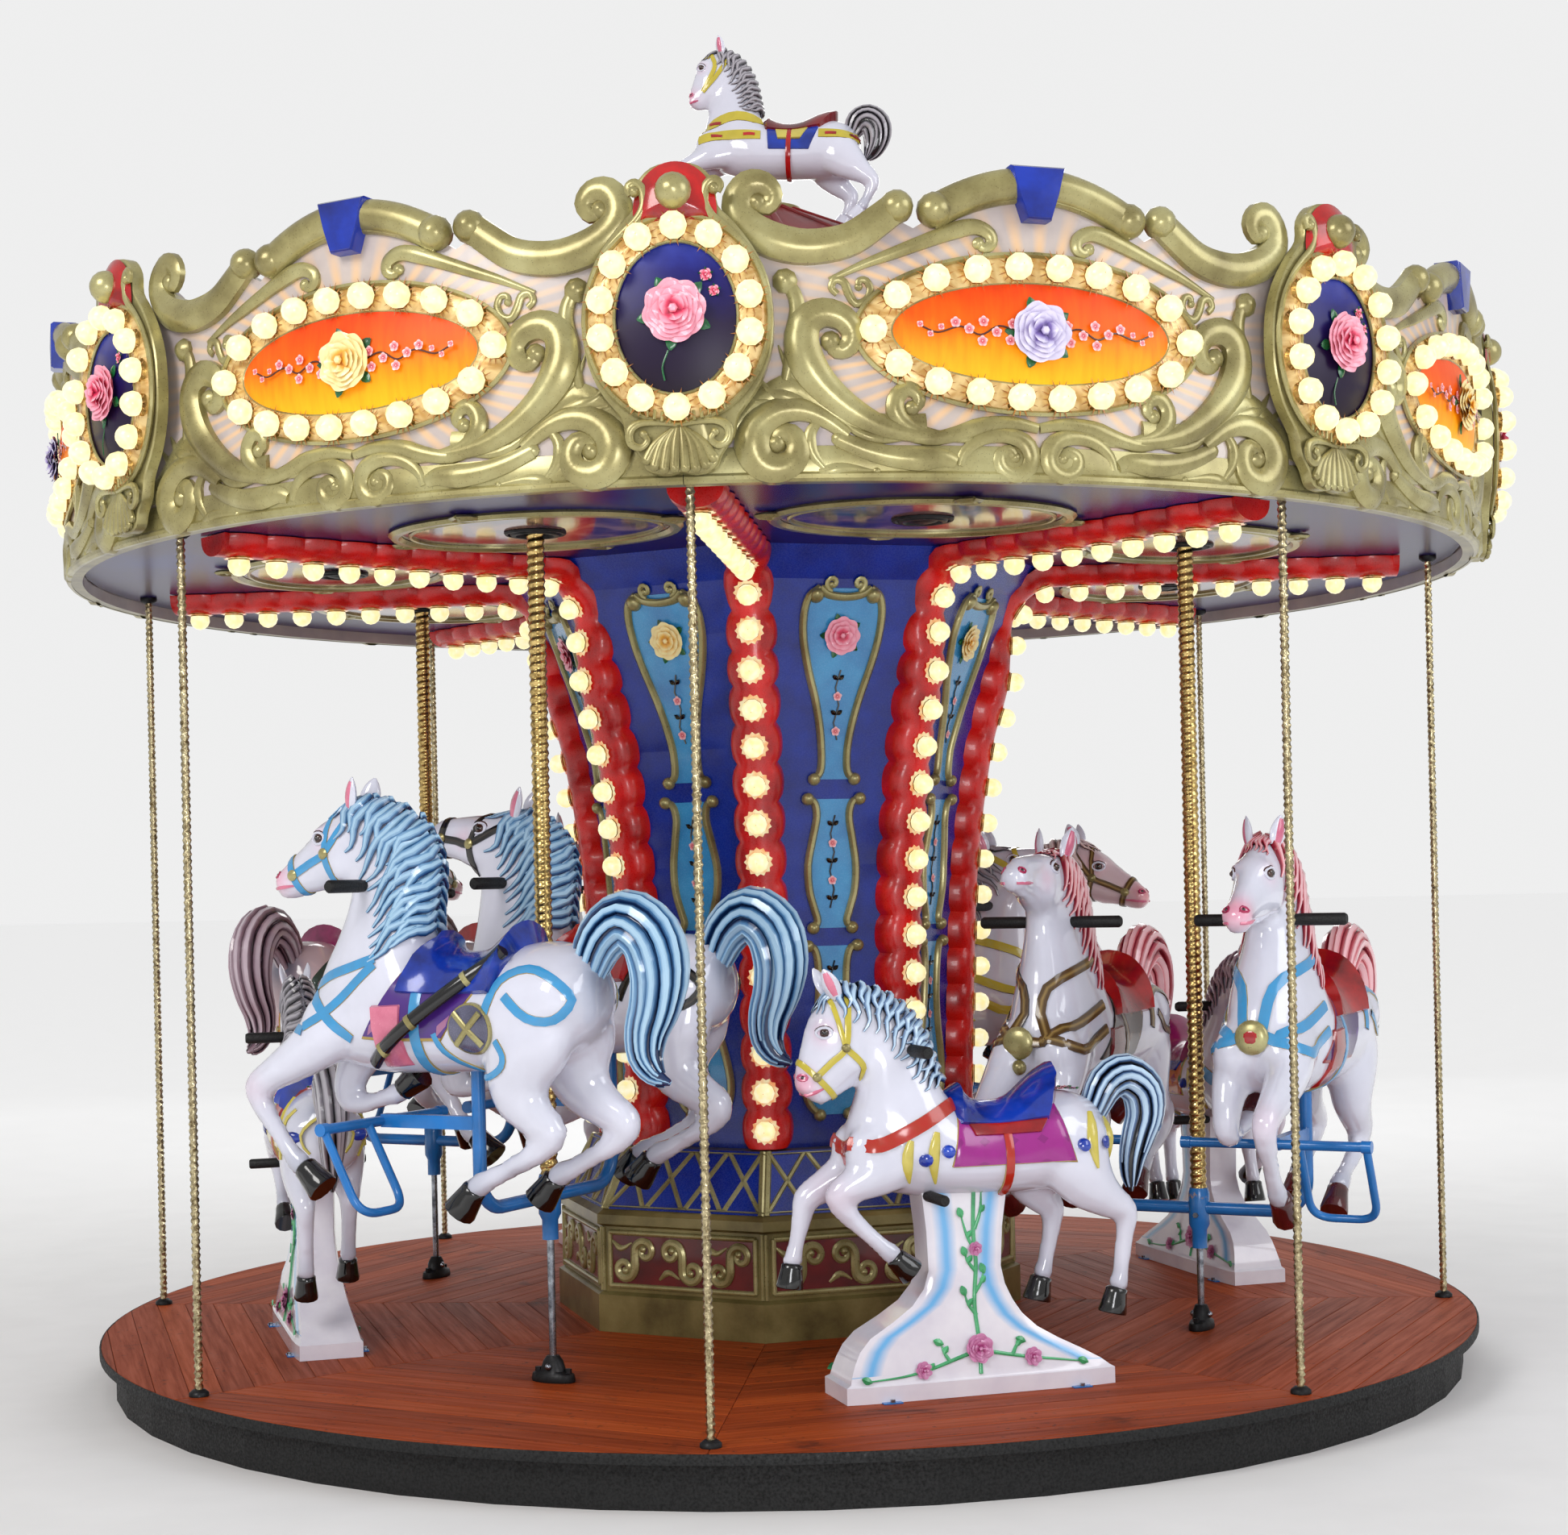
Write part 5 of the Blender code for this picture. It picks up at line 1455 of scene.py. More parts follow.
def lifting_frames():
    shape = Shape()
    for side in (-1, 1):
        reach = side * HORSE_SPACING
        quarter = np.linspace(0, pi / 2, 9)
        bend = [(0, side * (HORSE_SPACING - 0.10 + 0.10 * sin(t)), 0.10 - 0.10 * cos(t)) for t in quarter]
        shape.sweep([(0, side * 0.02, 0)] + bend + [(0, reach, 0.25), (0, reach, 0.40)], 0.020, None, "tube", 14)
        section = ((-0.015, -0.018), (0.015, -0.018), (0.015, 0.020), (-0.015, 0.020))
        rows = [[(ahead, reach + y, FOOT_BAR_UP + z) for y, z in section] for ahead in (0.0, FOOT_BAR)]
        shape.grid(rows, "tube", wrap=True, cap=True)
        for low, high, radius in ((-0.288, 0.288, 0.015), (-0.262, -0.292, 0.0185), (0.262, 0.292, 0.0185)):
            ends = [(FOOT_BAR, reach + low, FOOT_BAR_UP), (FOOT_BAR, reach + high, FOOT_BAR_UP)]
            shape.sweep(ends, radius, None, "tube", 14)
    step = [(FOOT_BAR, -0.275, FOOT_BAR_UP), (-0.26, -0.276, 0.110), (-0.225, -0.272, 0.045), (-0.205, -0.240, 0.018)]
    step += [(-0.20, -0.175, 0.014), (-0.205, -0.110, 0.018), (-0.225, -0.078, 0.045), (-0.26, -0.074, 0.110)]
    step += [(FOOT_BAR, -0.075, FOOT_BAR_UP)]
    step = [(ahead, -HORSE_SPACING + across, up) for ahead, across, up in step]
    shape.sweep(smooth_path(step, 5), 0.0125, None, "tube", 12)
    shape.lathe([(0.024, -0.127), (0.024, -0.070), (0.033, -0.052), (0.034, 0.046), (0.029, 0.064)], "tube", 24)
    shape.sweep([(-0.020, 0, -0.02), (-0.040, 0, -0.02)], 0.009, None, "steel", 6)
    twisted(shape, 0.0272, 0.055, 2.20, 1, 0.024, 0.0060, 12, "brass", 0.09)
    mesh = shape.mesh("lifting_frame", 50)
    for index in range(4):
        name = f"jumper_frame_{index + 1}"
        piece(name + "_tubes", mesh, f"jumper_{index + 1}", (name,), jumper_place(index))


# Floor, lights and camera

FLOOR_SIZE = 240
WORLD_LIGHT = 0.55
WORLD_SEEN = 0.86
LIGHTS_AIM = Vector((0, 0, 1.8))
CAMERA_SPOT = (0.8103, -8.620, 1.622)
CAMERA_TURN = 5.37
CAMERA_ROLL = -0.0218
CAMERA_LENS = 57.5
PRINCIPAL = (966.6, 1088.6)
IMAGE = (1945, 1904)


def studio():
    bpy.ops.mesh.primitive_plane_add(size=FLOOR_SIZE, location=(0, 0, 0))
    floor = bpy.context.object
    floor.name = "floor"
    floor.data.materials.append(backdrop())
    world = bpy.data.worlds.new("studio")
    world.use_nodes = True
    background = world.node_tree.nodes["Background"]
    background.inputs["Color"].default_value = (1.0, 1.0, 1.0, 1)
    seen = world.node_tree.nodes.new("ShaderNodeLightPath").outputs["Is Camera Ray"]
    strength = world.node_tree.nodes.new("ShaderNodeMapRange")
    strength.inputs[3].default_value = WORLD_LIGHT
    strength.inputs[4].default_value = WORLD_SEEN
    world.node_tree.links.new(seen, strength.inputs[0])
    world.node_tree.links.new(strength.outputs[0], background.inputs["Strength"])
    bpy.context.scene.world = world
    lights = [
        ("key", (-4.5, -8.0, 6.5), 3.5, 330, (1.0, 0.98, 0.95)),
        ("front", (2.0, -10.0, 2.2), 2.0, 150, (0.96, 0.97, 1.0)),
        ("fill", (7.0, -4.0, 5.0), 4.0, 160, (0.95, 0.97, 1.0)),
        ("back", (0.0, 8.0, 6.0), 5.0, 220, (1.0, 1.0, 1.0)),
    ]
    for name, spot, size, power, colour in lights:
        lamp = bpy.data.lights.new(name, "AREA")
        lamp.size = size
        lamp.energy = power
        lamp.color = colour
        obj = bpy.data.objects.new(name, lamp)
        obj.location = spot
        obj.rotation_euler = (LIGHTS_AIM - Vector(spot)).to_track_quat("-Z", "Y").to_euler()
        bpy.context.scene.collection.objects.link(obj)


def camera():
    data = bpy.data.cameras.new("camera")
    data.lens = CAMERA_LENS
    data.sensor_width = 36
    data.shift_x = -(PRINCIPAL[0] - IMAGE[0] / 2) / IMAGE[0]
    data.shift_y = (PRINCIPAL[1] - IMAGE[1] / 2) / IMAGE[0]
    obj = bpy.data.objects.new("camera", data)
    turn = Matrix.Rotation(radians(CAMERA_TURN), 4, "Z") @ Matrix.Rotation(pi / 2, 4, "X")
    obj.matrix_world = Matrix.Translation(CAMERA_SPOT) @ turn @ Matrix.Rotation(CAMERA_ROLL, 4, "Z")
    bpy.context.scene.collection.objects.link(obj)
    bpy.context.scene.camera = obj


# Horses. A horse heads along -X, so "ahead" is -x, and hand -1 is its left and outer side

OUTER_SPINE = [
    ((-0.425, 0.66), (-0.425, 0.55), 0.05), ((-0.40, 0.715), (-0.39, 0.49), 0.105),
    ((-0.33, 0.752), (-0.31, 0.44), 0.145), ((-0.22, 0.757), (-0.21, 0.415), 0.165),
    ((-0.10, 0.728), (-0.10, 0.395), 0.160), ((0.02, 0.714), (0.02, 0.390), 0.155),
    ((0.12, 0.735), (0.16, 0.385), 0.160), ((0.155, 0.79), (0.30, 0.385), 0.160), ((0.145, 0.86), (0.45, 0.42), 0.145),
    ((0.13, 0.93), (0.535, 0.53), 0.118), ((0.125, 0.985), (0.525, 0.64), 0.098),
    ((0.138, 1.04), (0.470, 0.745), 0.080), ((0.170, 1.09), (0.430, 0.835), 0.069),
    ((0.225, 1.130), (0.410, 0.90), 0.062), ((0.30, 1.155), (0.415, 0.935), 0.062),
    ((0.385, 1.165), (0.445, 0.925), 0.067), ((0.47, 1.135), (0.49, 0.910), 0.064),
    ((0.54, 1.085), (0.54, 0.905), 0.052), ((0.60, 1.035), (0.585, 0.897), 0.043),
    ((0.655, 0.992), (0.622, 0.888), 0.041), ((0.688, 0.955), (0.652, 0.883), 0.036),
    ((0.698, 0.928), (0.675, 0.893), 0.020),
]
INNER_SPINE = OUTER_SPINE[:9] + [
    ((0.13, 0.93), (0.515, 0.55), 0.115),
    ((0.128, 0.99), (0.495, 0.67), 0.095),
    ((0.142, 1.04), (0.472, 0.775), 0.080),
    ((0.180, 1.085), (0.458, 0.865), 0.067),
    ((0.235, 1.115), (0.452, 0.925), 0.062),
    ((0.30, 1.133), (0.460, 0.95), 0.064),
    ((0.375, 1.138), (0.475, 0.96), 0.066),
    ((0.45, 1.137), (0.51, 0.978), 0.056),
    ((0.53, 1.134), (0.55, 0.995), 0.046),
    ((0.60, 1.126), (0.60, 1.005), 0.042),
    ((0.645, 1.100), (0.64, 1.02), 0.036),
    ((0.660, 1.075), (0.655, 1.04), 0.020),
]
SMALL_SPINE = [
    ((-0.465, 0.72), (-0.465, 0.63), 0.045), ((-0.44, 0.785), (-0.43, 0.575), 0.085),
    ((-0.38, 0.825), (-0.36, 0.555), 0.118), ((-0.28, 0.838), (-0.26, 0.552), 0.132),
    ((-0.14, 0.795), (-0.13, 0.548), 0.130), ((-0.02, 0.805), (0.0, 0.548), 0.130),
    ((0.04, 0.86), (0.12, 0.555), 0.130), ((0.065, 0.92), (0.24, 0.585), 0.120), ((0.085, 0.98), (0.315, 0.655), 0.098),
    ((0.105, 1.03), (0.322, 0.735), 0.080), ((0.15, 1.085), (0.292, 0.825), 0.066),
    ((0.21, 1.125), (0.272, 0.885), 0.057), ((0.28, 1.148), (0.262, 0.925), 0.056),
    ((0.35, 1.142), (0.272, 0.905), 0.060), ((0.41, 1.09), (0.30, 0.872), 0.057), ((0.438, 1.03), (0.335, 0.85), 0.047),
    ((0.456, 0.96), (0.365, 0.835), 0.038), ((0.470, 0.905), (0.385, 0.824), 0.035),
    ((0.464, 0.868), (0.405, 0.826), 0.020),
]
ROOF_SPINE = SMALL_SPINE[:6] + [
    ((0.020, 0.83), (0.10, 0.552), 0.130),
    ((0.035, 0.865), (0.20, 0.575), 0.122),
    ((0.045, 0.91), (0.275, 0.615), 0.108),
    ((0.055, 0.96), (0.315, 0.69), 0.092),
    ((0.068, 1.01), (0.308, 0.77), 0.076),
    ((0.095, 1.07), (0.296, 0.84), 0.063),
    ((0.135, 1.125), (0.284, 0.885), 0.055),
    ((0.190, 1.163), (0.278, 0.92), 0.053),
    ((0.250, 1.175), (0.274, 0.93), 0.056),
    ((0.315, 1.150), (0.282, 0.91), 0.057),
    ((0.352, 1.100), (0.300, 0.893), 0.048),
    ((0.375, 1.030), (0.322, 0.885), 0.039),
    ((0.392, 0.960), (0.345, 0.882), 0.034),
    ((0.394, 0.920), (0.362, 0.888), 0.020),
]
# Each leg: ahead, sideways, up, half size fore and aft, half size sideways; then the hoof's start, end and sizes
OUTER_LEGS = [
    (
        [
            (0.36, -0.070, 0.56, 0.10, 0.075), (0.46, -0.088, 0.49, 0.085, 0.068), (0.57, -0.090, 0.425, 0.066, 0.054),
            (0.66, -0.088, 0.378, 0.050, 0.044), (0.712, -0.086, 0.345, 0.043, 0.041),
            (0.702, -0.085, 0.295, 0.037, 0.034), (0.655, -0.083, 0.225, 0.030, 0.027),
            (0.605, -0.080, 0.158, 0.029, 0.027), (0.578, -0.080, 0.128, 0.037, 0.033),
            (0.545, -0.080, 0.104, 0.030, 0.030),
        ],
        ((0.560, -0.080, 0.118), (0.488, -0.080, 0.052), 0.034, 0.050),
    ),
    (
        [
            (0.36, 0.070, 0.56, 0.10, 0.075), (0.44, 0.088, 0.47, 0.080, 0.062), (0.50, 0.090, 0.385, 0.058, 0.048),
            (0.525, 0.088, 0.315, 0.043, 0.040), (0.500, 0.086, 0.282, 0.036, 0.032),
            (0.435, 0.084, 0.290, 0.029, 0.026), (0.370, 0.082, 0.308, 0.029, 0.027),
            (0.338, 0.082, 0.318, 0.036, 0.033), (0.310, 0.082, 0.332, 0.030, 0.030),
        ],
        ((0.325, 0.082, 0.324), (0.255, 0.082, 0.375), 0.033, 0.047),
    ),
    (
        [
            (-0.24, -0.060, 0.60, 0.13, 0.085), (-0.235, -0.082, 0.50, 0.135, 0.085),
            (-0.205, -0.090, 0.41, 0.112, 0.076), (-0.205, -0.092, 0.335, 0.085, 0.062),
            (-0.255, -0.092, 0.275, 0.060, 0.050), (-0.303, -0.091, 0.235, 0.048, 0.042),
            (-0.270, -0.090, 0.192, 0.037, 0.034), (-0.19, -0.088, 0.148, 0.031, 0.028),
            (-0.11, -0.087, 0.110, 0.030, 0.028), (-0.062, -0.086, 0.088, 0.037, 0.034),
            (-0.030, -0.086, 0.066, 0.031, 0.030),
        ],
        ((-0.045, -0.086, 0.078), (0.014, -0.086, 0.006), 0.034, 0.050),
    ),
    (
        [
            (-0.26, 0.060, 0.60, 0.13, 0.085), (-0.27, 0.082, 0.50, 0.13, 0.085), (-0.27, 0.090, 0.41, 0.110, 0.076),
            (-0.305, 0.092, 0.335, 0.082, 0.060), (-0.375, 0.092, 0.285, 0.058, 0.048),
            (-0.432, 0.091, 0.250, 0.047, 0.041), (-0.410, 0.090, 0.205, 0.036, 0.033),
            (-0.33, 0.088, 0.160, 0.031, 0.028), (-0.262, 0.087, 0.124, 0.030, 0.028),
            (-0.215, 0.086, 0.102, 0.037, 0.034), (-0.184, 0.086, 0.080, 0.031, 0.030),
        ],
        ((-0.198, 0.086, 0.092), (-0.140, 0.086, 0.022), 0.034, 0.050),
    ),
]
INNER_LEGS = [
    ([(a, -s, u, w, d) for a, s, u, w, d in joints], ((a1, -s1, u1), (a2, -s2, u2), *sizes))
    for joints, ((a1, s1, u1), (a2, s2, u2), *sizes) in OUTER_LEGS
]
SMALL_LEGS = [
    (
        [
            (0.19, -0.055, 0.67, 0.085, 0.065), (0.26, -0.072, 0.635, 0.070, 0.056),
            (0.325, -0.074, 0.605, 0.052, 0.045), (0.372, -0.073, 0.578, 0.040, 0.037),
            (0.352, -0.072, 0.535, 0.033, 0.030), (0.300, -0.071, 0.480, 0.026, 0.024),
            (0.245, -0.070, 0.430, 0.025, 0.024), (0.222, -0.070, 0.410, 0.031, 0.028),
            (0.200, -0.070, 0.392, 0.026, 0.026),
        ],
        ((0.212, -0.070, 0.400), (0.158, -0.070, 0.350), 0.029, 0.042),
    ),
    (
        [
            (0.20, 0.055, 0.67, 0.085, 0.065), (0.29, 0.072, 0.625, 0.066, 0.054), (0.37, 0.074, 0.585, 0.048, 0.042),
            (0.420, 0.073, 0.555, 0.039, 0.036), (0.432, 0.072, 0.505, 0.031, 0.028),
            (0.446, 0.071, 0.450, 0.025, 0.024), (0.458, 0.070, 0.408, 0.025, 0.024),
            (0.462, 0.070, 0.388, 0.030, 0.028), (0.466, 0.070, 0.368, 0.026, 0.026),
        ],
        ((0.464, 0.070, 0.378), (0.474, 0.070, 0.308), 0.029, 0.041),
    ),
    (
        [
            (-0.31, -0.050, 0.71, 0.11, 0.070), (-0.34, -0.070, 0.64, 0.110, 0.070),
            (-0.38, -0.076, 0.575, 0.088, 0.060), (-0.435, -0.078, 0.525, 0.058, 0.047),
            (-0.492, -0.078, 0.485, 0.040, 0.035), (-0.492, -0.077, 0.435, 0.030, 0.028),
            (-0.483, -0.076, 0.370, 0.026, 0.025), (-0.474, -0.075, 0.305, 0.026, 0.025),
            (-0.468, -0.075, 0.280, 0.031, 0.030), (-0.460, -0.075, 0.262, 0.027, 0.027),
        ],
        ((-0.463, -0.075, 0.270), (-0.446, -0.075, 0.196), 0.030, 0.043),
    ),
    (
        [
            (-0.27, 0.050, 0.71, 0.11, 0.070), (-0.27, 0.070, 0.64, 0.108, 0.070), (-0.27, 0.076, 0.575, 0.084, 0.060),
            (-0.295, 0.078, 0.525, 0.056, 0.047), (-0.332, 0.078, 0.487, 0.040, 0.035),
            (-0.330, 0.077, 0.440, 0.030, 0.028), (-0.318, 0.076, 0.380, 0.026, 0.025),
            (-0.304, 0.075, 0.325, 0.026, 0.025), (-0.298, 0.075, 0.302, 0.031, 0.030),
            (-0.290, 0.075, 0.284, 0.027, 0.027),
        ],
        ((-0.293, 0.075, 0.292), (-0.276, 0.075, 0.222), 0.030, 0.043),
    ),
]
ROOF_LEGS = [
    (
        [
            (0.19, -0.055, 0.67, 0.085, 0.065), (0.27, -0.072, 0.64, 0.068, 0.055), (0.35, -0.074, 0.605, 0.048, 0.042),
            (0.41, -0.073, 0.58, 0.036, 0.033), (0.47, -0.072, 0.55, 0.028, 0.026), (0.54, -0.071, 0.51, 0.025, 0.024),
            (0.575, -0.070, 0.488, 0.030, 0.028), (0.59, -0.070, 0.478, 0.026, 0.026),
        ],
        ((0.583, -0.070, 0.482), (0.640, -0.070, 0.445), 0.029, 0.041),
    ),
    (
        [
            (0.20, 0.055, 0.67, 0.085, 0.065), (0.29, 0.072, 0.625, 0.064, 0.053), (0.37, 0.074, 0.58, 0.046, 0.041),
            (0.42, 0.073, 0.548, 0.036, 0.033), (0.45, 0.072, 0.515, 0.028, 0.026), (0.478, 0.071, 0.475, 0.025, 0.024),
            (0.486, 0.070, 0.455, 0.030, 0.028), (0.490, 0.070, 0.443, 0.026, 0.026),
        ],
        ((0.489, 0.070, 0.447), (0.512, 0.070, 0.400), 0.029, 0.040),
    ),
    (
        [
            (-0.31, -0.050, 0.71, 0.110, 0.070), (-0.36, -0.070, 0.66, 0.108, 0.070),
            (-0.42, -0.076, 0.61, 0.088, 0.060), (-0.48, -0.078, 0.565, 0.058, 0.047),
            (-0.535, -0.078, 0.522, 0.040, 0.035), (-0.525, -0.077, 0.475, 0.030, 0.028),
            (-0.505, -0.076, 0.43, 0.026, 0.025), (-0.487, -0.075, 0.40, 0.031, 0.030),
            (-0.475, -0.075, 0.385, 0.027, 0.027),
        ],
        ((-0.480, -0.075, 0.392), (-0.440, -0.075, 0.335), 0.030, 0.043),
    ),
    (
        [
            (-0.27, 0.050, 0.71, 0.110, 0.070), (-0.29, 0.070, 0.65, 0.108, 0.070), (-0.32, 0.076, 0.585, 0.084, 0.060),
            (-0.37, 0.078, 0.53, 0.056, 0.047), (-0.425, 0.078, 0.485, 0.040, 0.035),
            (-0.418, 0.077, 0.445, 0.030, 0.028), (-0.405, 0.076, 0.415, 0.026, 0.025),
            (-0.400, 0.075, 0.395, 0.031, 0.030), (-0.395, 0.075, 0.382, 0.027, 0.027),
        ],
        ((-0.397, 0.075, 0.388), (-0.372, 0.075, 0.335), 0.030, 0.043),
    ),
]


def spot3(ahead, across, up):
    return np.array((-ahead, across, up), float)


class Figure:
    """A horse's carved body, with ways to lay straps, cloths, discs and locks of hair on its skin."""

    def __init__(self, name, pose, voxel, rounds, blush, grey):
        bones = Shape()
        dense = smooth_path([(*crest, *under, half) for crest, under, half in pose["spine"]], 3)
        rows = []
        for crest_ahead, crest_up, under_ahead, under_up, half in dense:
            row = []
            for turn in full_turn(24):
                share = (1 + cos(turn)) / 2
                ahead = under_ahead + (crest_ahead - under_ahead) * share
                up = under_up + (crest_up - under_up) * share
                row.append(spot3(ahead, half * sin(turn) * (1 - 0.10 * cos(turn)), up))
            rows.append(row)
        bones.grid(rows, "coat", wrap=True, cap=True)
        for joints, _ in pose["legs"]:
            joints = smooth_path(joints, 3)
            path = [spot3(*joint[:3]) for joint in joints]
            bones.sweep(path, joints[:, 3], joints[:, 4], "coat", 16, normal=(0, 1, 0))
        for ahead, across, up, radius, squash in pose["lumps"]:
            for hand in (-1, 1) if across else (0,):
                bones.ball(spot3(ahead, hand * across, up), radius, "coat", 10, 16, squash)
        rough = bpy.data.objects.new(name + "_rough", bones.mesh(name + "_rough"))
        bpy.context.scene.collection.objects.link(rough)
        remesh = rough.modifiers.new("remesh", "REMESH")
        remesh.mode = "VOXEL"
        remesh.voxel_size = voxel
        smooth = rough.modifiers.new("smooth", "SMOOTH")
        smooth.factor = 0.5
        smooth.iterations = rounds
        bpy.context.view_layer.update()
        self.skin = bpy.data.meshes.new_from_object(rough.evaluated_get(bpy.context.evaluated_depsgraph_get()))
        self.skin.name = name + "_skin"
        bpy.data.objects.remove(rough)
        self.skin.shade_smooth()
        points = np.zeros(len(self.skin.vertices) * 3, np.float32)
        self.skin.vertices.foreach_get("co", points)
        points = points.reshape(-1, 3)
        tint = np.zeros((len(points), 4), np.float32)
        for channel, spots in enumerate((blush, grey)):
            for ahead, across, up, reach, amount in spots:
                for hand in (-1, 1):
                    away = np.linalg.norm(points - spot3(ahead, hand * across, up), axis=1)
                    tint[:, channel] += amount * np.exp(-((away / reach) ** 2))
        tint = np.clip(tint, 0, 1)
        tint[:, 3] = 1
        self.skin.color_attributes.new("tint", "FLOAT_COLOR", "POINT").data.foreach_set("color", tint.ravel())
        self.tree = BVHTree.FromPolygons(points.tolist(), [tuple(face.vertices) for face in self.skin.polygons])

    def touch(self, point):
        """The nearest place on the skin, and the way it faces."""
        spot, facing, _, _ = self.tree.find_nearest(Vector(point))
        return np.array(spot), np.array(facing)

    def side(self, ahead, up, hand):
        """The place on one flank that lies at this spot of the side view."""
        spot, _, _, _ = self.tree.ray_cast(Vector((-ahead, hand * 0.7, up)), Vector((0, -hand, 0)))
        if spot is None:
            spot, _, _, _ = self.tree.find_nearest(Vector((-ahead, hand * 0.02, up)))
        return np.array(spot)

    def strap(self, shape, guide, half, material, lift=0.006, per_leg=4, closed=False):
        path = smooth_path(guide, per_leg, closed)
        spots, faces = (np.array(found) for found in zip(*(self.touch(point) for point in path)))
        ways = np.cross(faces, headings(spots, closed))
        rows = []
        for spot, way in zip(spots, ways):
            row = []
            for share, rise in ((1, -0.2), (0.93, 0.75), (0, 1.0), (-0.93, 0.75), (-1, -0.2)):
                near, facing = self.touch(spot + way * half * share)
                row.append(near + facing * rise * lift)
            rows.append(row)
        if closed:
            rows.append(rows[0])
        shape.grid(rows, material)

    def flank(self, shape, guide, half, material, lift=0.006):
        """A strap along points of the side view, on both flanks."""
        for hand in (-1, 1):
            spots = [self.side(*spot, hand) for spot in smooth_path(guide, 3)]
            self.strap(shape, spots[::-hand], half, material, lift, 1)

    def belt(self, shape, centre, along, half, material, lift=0.006):
        """A strap round the body in the plane across a direction of the side view."""
        middle = Vector((-centre[0], 0, centre[1]))
        axis = Vector((-along[0], 0, along[1])).normalized()
        up = axis.cross(Vector((0, 1, 0)))
        guide = []
        for turn in full_turn(22):
            way = up * cos(turn) + Vector((0, 1, 0)) * sin(turn)
            spot, _, _, _ = self.tree.ray_cast(middle, way)
            if spot is not None:
                guide.append(np.array(spot))
        self.strap(shape, guide, half, material, lift, 2, True)

    def drape(self, shape, front, back, reach, lift, material, level):
        """A cloth over the back, from its front to its back edge, each given at the spine and at the hem."""
        rows = []
        for u in [0.0, 0.02, *np.linspace(0.08, 0.92, 9), 0.98, 1.0]:
            row = []
            for turn in [1.0, 0.985, *np.linspace(0.94, -0.94, 19), -0.985, -1.0]:
                hem = abs(turn) ** 1.3
                first = front[0] + (front[1] - front[0]) * hem
                last = back[0] + (back[1] - back[0]) * hem
                ahead = first + (last - first) * u
                way = Vector((0, sin(turn * reach), cos(turn * reach)))
                spot, facing, _, _ = self.tree.ray_cast(Vector((-ahead, 0, level)), way)
                rise = -0.001 if u in (0.0, 1.0) or abs(turn) == 1.0 else lift(u, turn)
                row.append(np.array(spot) + np.array(facing) * rise)
            rows.append(row)
        shape.grid(rows, material)

    def disc(self, shape, ahead, up, radius, material, lift, hand, count=18):
        rows = []
        for share, rise in ((1.0, -0.2), (0.97, 0.7), (0.6, 1.0), (0.02, 1.1)):
            row = []
            for turn in full_turn(count):
                spot = self.side(ahead + hand * radius * share * cos(turn), up + radius * share * sin(turn), hand)
                row.append(spot + np.array((0, hand * rise * lift, 0)))
            rows.append(row)
        shape.grid(rows, material, wrap=True)

    def lock(self, shape, start, end, sway, phase, half, material, lift):
        """One wavy lock of hair from one place to another over the skin."""
        path = []
        for share in np.linspace(0, 1, 8):
            near, facing = self.touch(start + (end - start) * share)
            way = np.cross(facing, end - start)
            way /= max(np.linalg.norm(way), 1e-9)
            near, facing = self.touch(near + way * sway * sin(2 * pi * (1.3 * share + phase)) * min(1, 3 * share))
            path.append(near + facing * lift * (1.4 - share))
        wide = taper(8, half * 0.7, half, half * 0.2, 0.3)
        shape.sweep(path, wide, wide * 0.8, material, 5, normal=self.touch(path[4])[1])


def hooves(shape, pose, material):
    shares = [0.0, 0.08, 0.22, 0.6, 0.94, 1.0]
    for _, (start, end, first, last) in pose["legs"]:
        start, end = spot3(*start), spot3(*end)
        path = [start + (end - start) * share for share in shares]
        wide = np.array([0.8, 1.04, 1.0, 1.0, 1.0, 0.95]) * np.interp(shares, [0, 1], [first, last])
        shape.sweep(path, wide, wide * 0.9, material, 12, normal=(0, 1, 0))


def eyes(figure, shape, ahead, up, size):
    for hand in (-1, 1):
        spot = figure.side(ahead, up, hand)
        facing = figure.touch(spot)[1]
        shape.ball(spot - facing * size * 0.30, size, "eye", 8, 14)
        shape.ball(spot + facing * size * 0.34, size * 0.52, "pupil", 6, 10)
        lid = [
            figure.side(ahead + 1.5 * size * cos(t), up + 1.05 * size * sin(t), hand) for t in np.arange(14) * pi / 7
        ]
        shape.sweep([point + facing * 0.002 for point in lid], 0.0042, None, "coat", 6, closed=True)
        brow = [
            figure.side(ahead + 1.7 * size * cos(t), up + 1.35 * size * sin(t), hand) for t in np.linspace(0.3, 2.9, 8)
        ]
        shape.sweep(brow, 0.0028, None, "twig", 5)


def ears(shape, base, tip, half, spread):
    for hand in (-1, 1):
        start, end = spot3(base[0], hand * spread, base[1]), spot3(tip[0], hand * spread * 1.35, tip[1])
        shares = np.linspace(-0.12, 1, 9)
        path = [start + (end - start) * share for share in shares]
        wide = half * np.sin(pi * np.clip(0.22 + 0.76 * shares, 0.02, 0.985)) ** 0.75
        facing = np.array((-0.45, hand * 0.9, 0.1))
        shape.sweep(path, wide, wide * 0.45, "coat", 12, normal=facing)
        inner = [point + facing * width * 0.22 for point, width in zip(path, wide)]
        shape.sweep(inner[1:-1], wide[1:-1] * 0.62, wide[1:-1] * 0.30, "lip", 10, normal=facing)


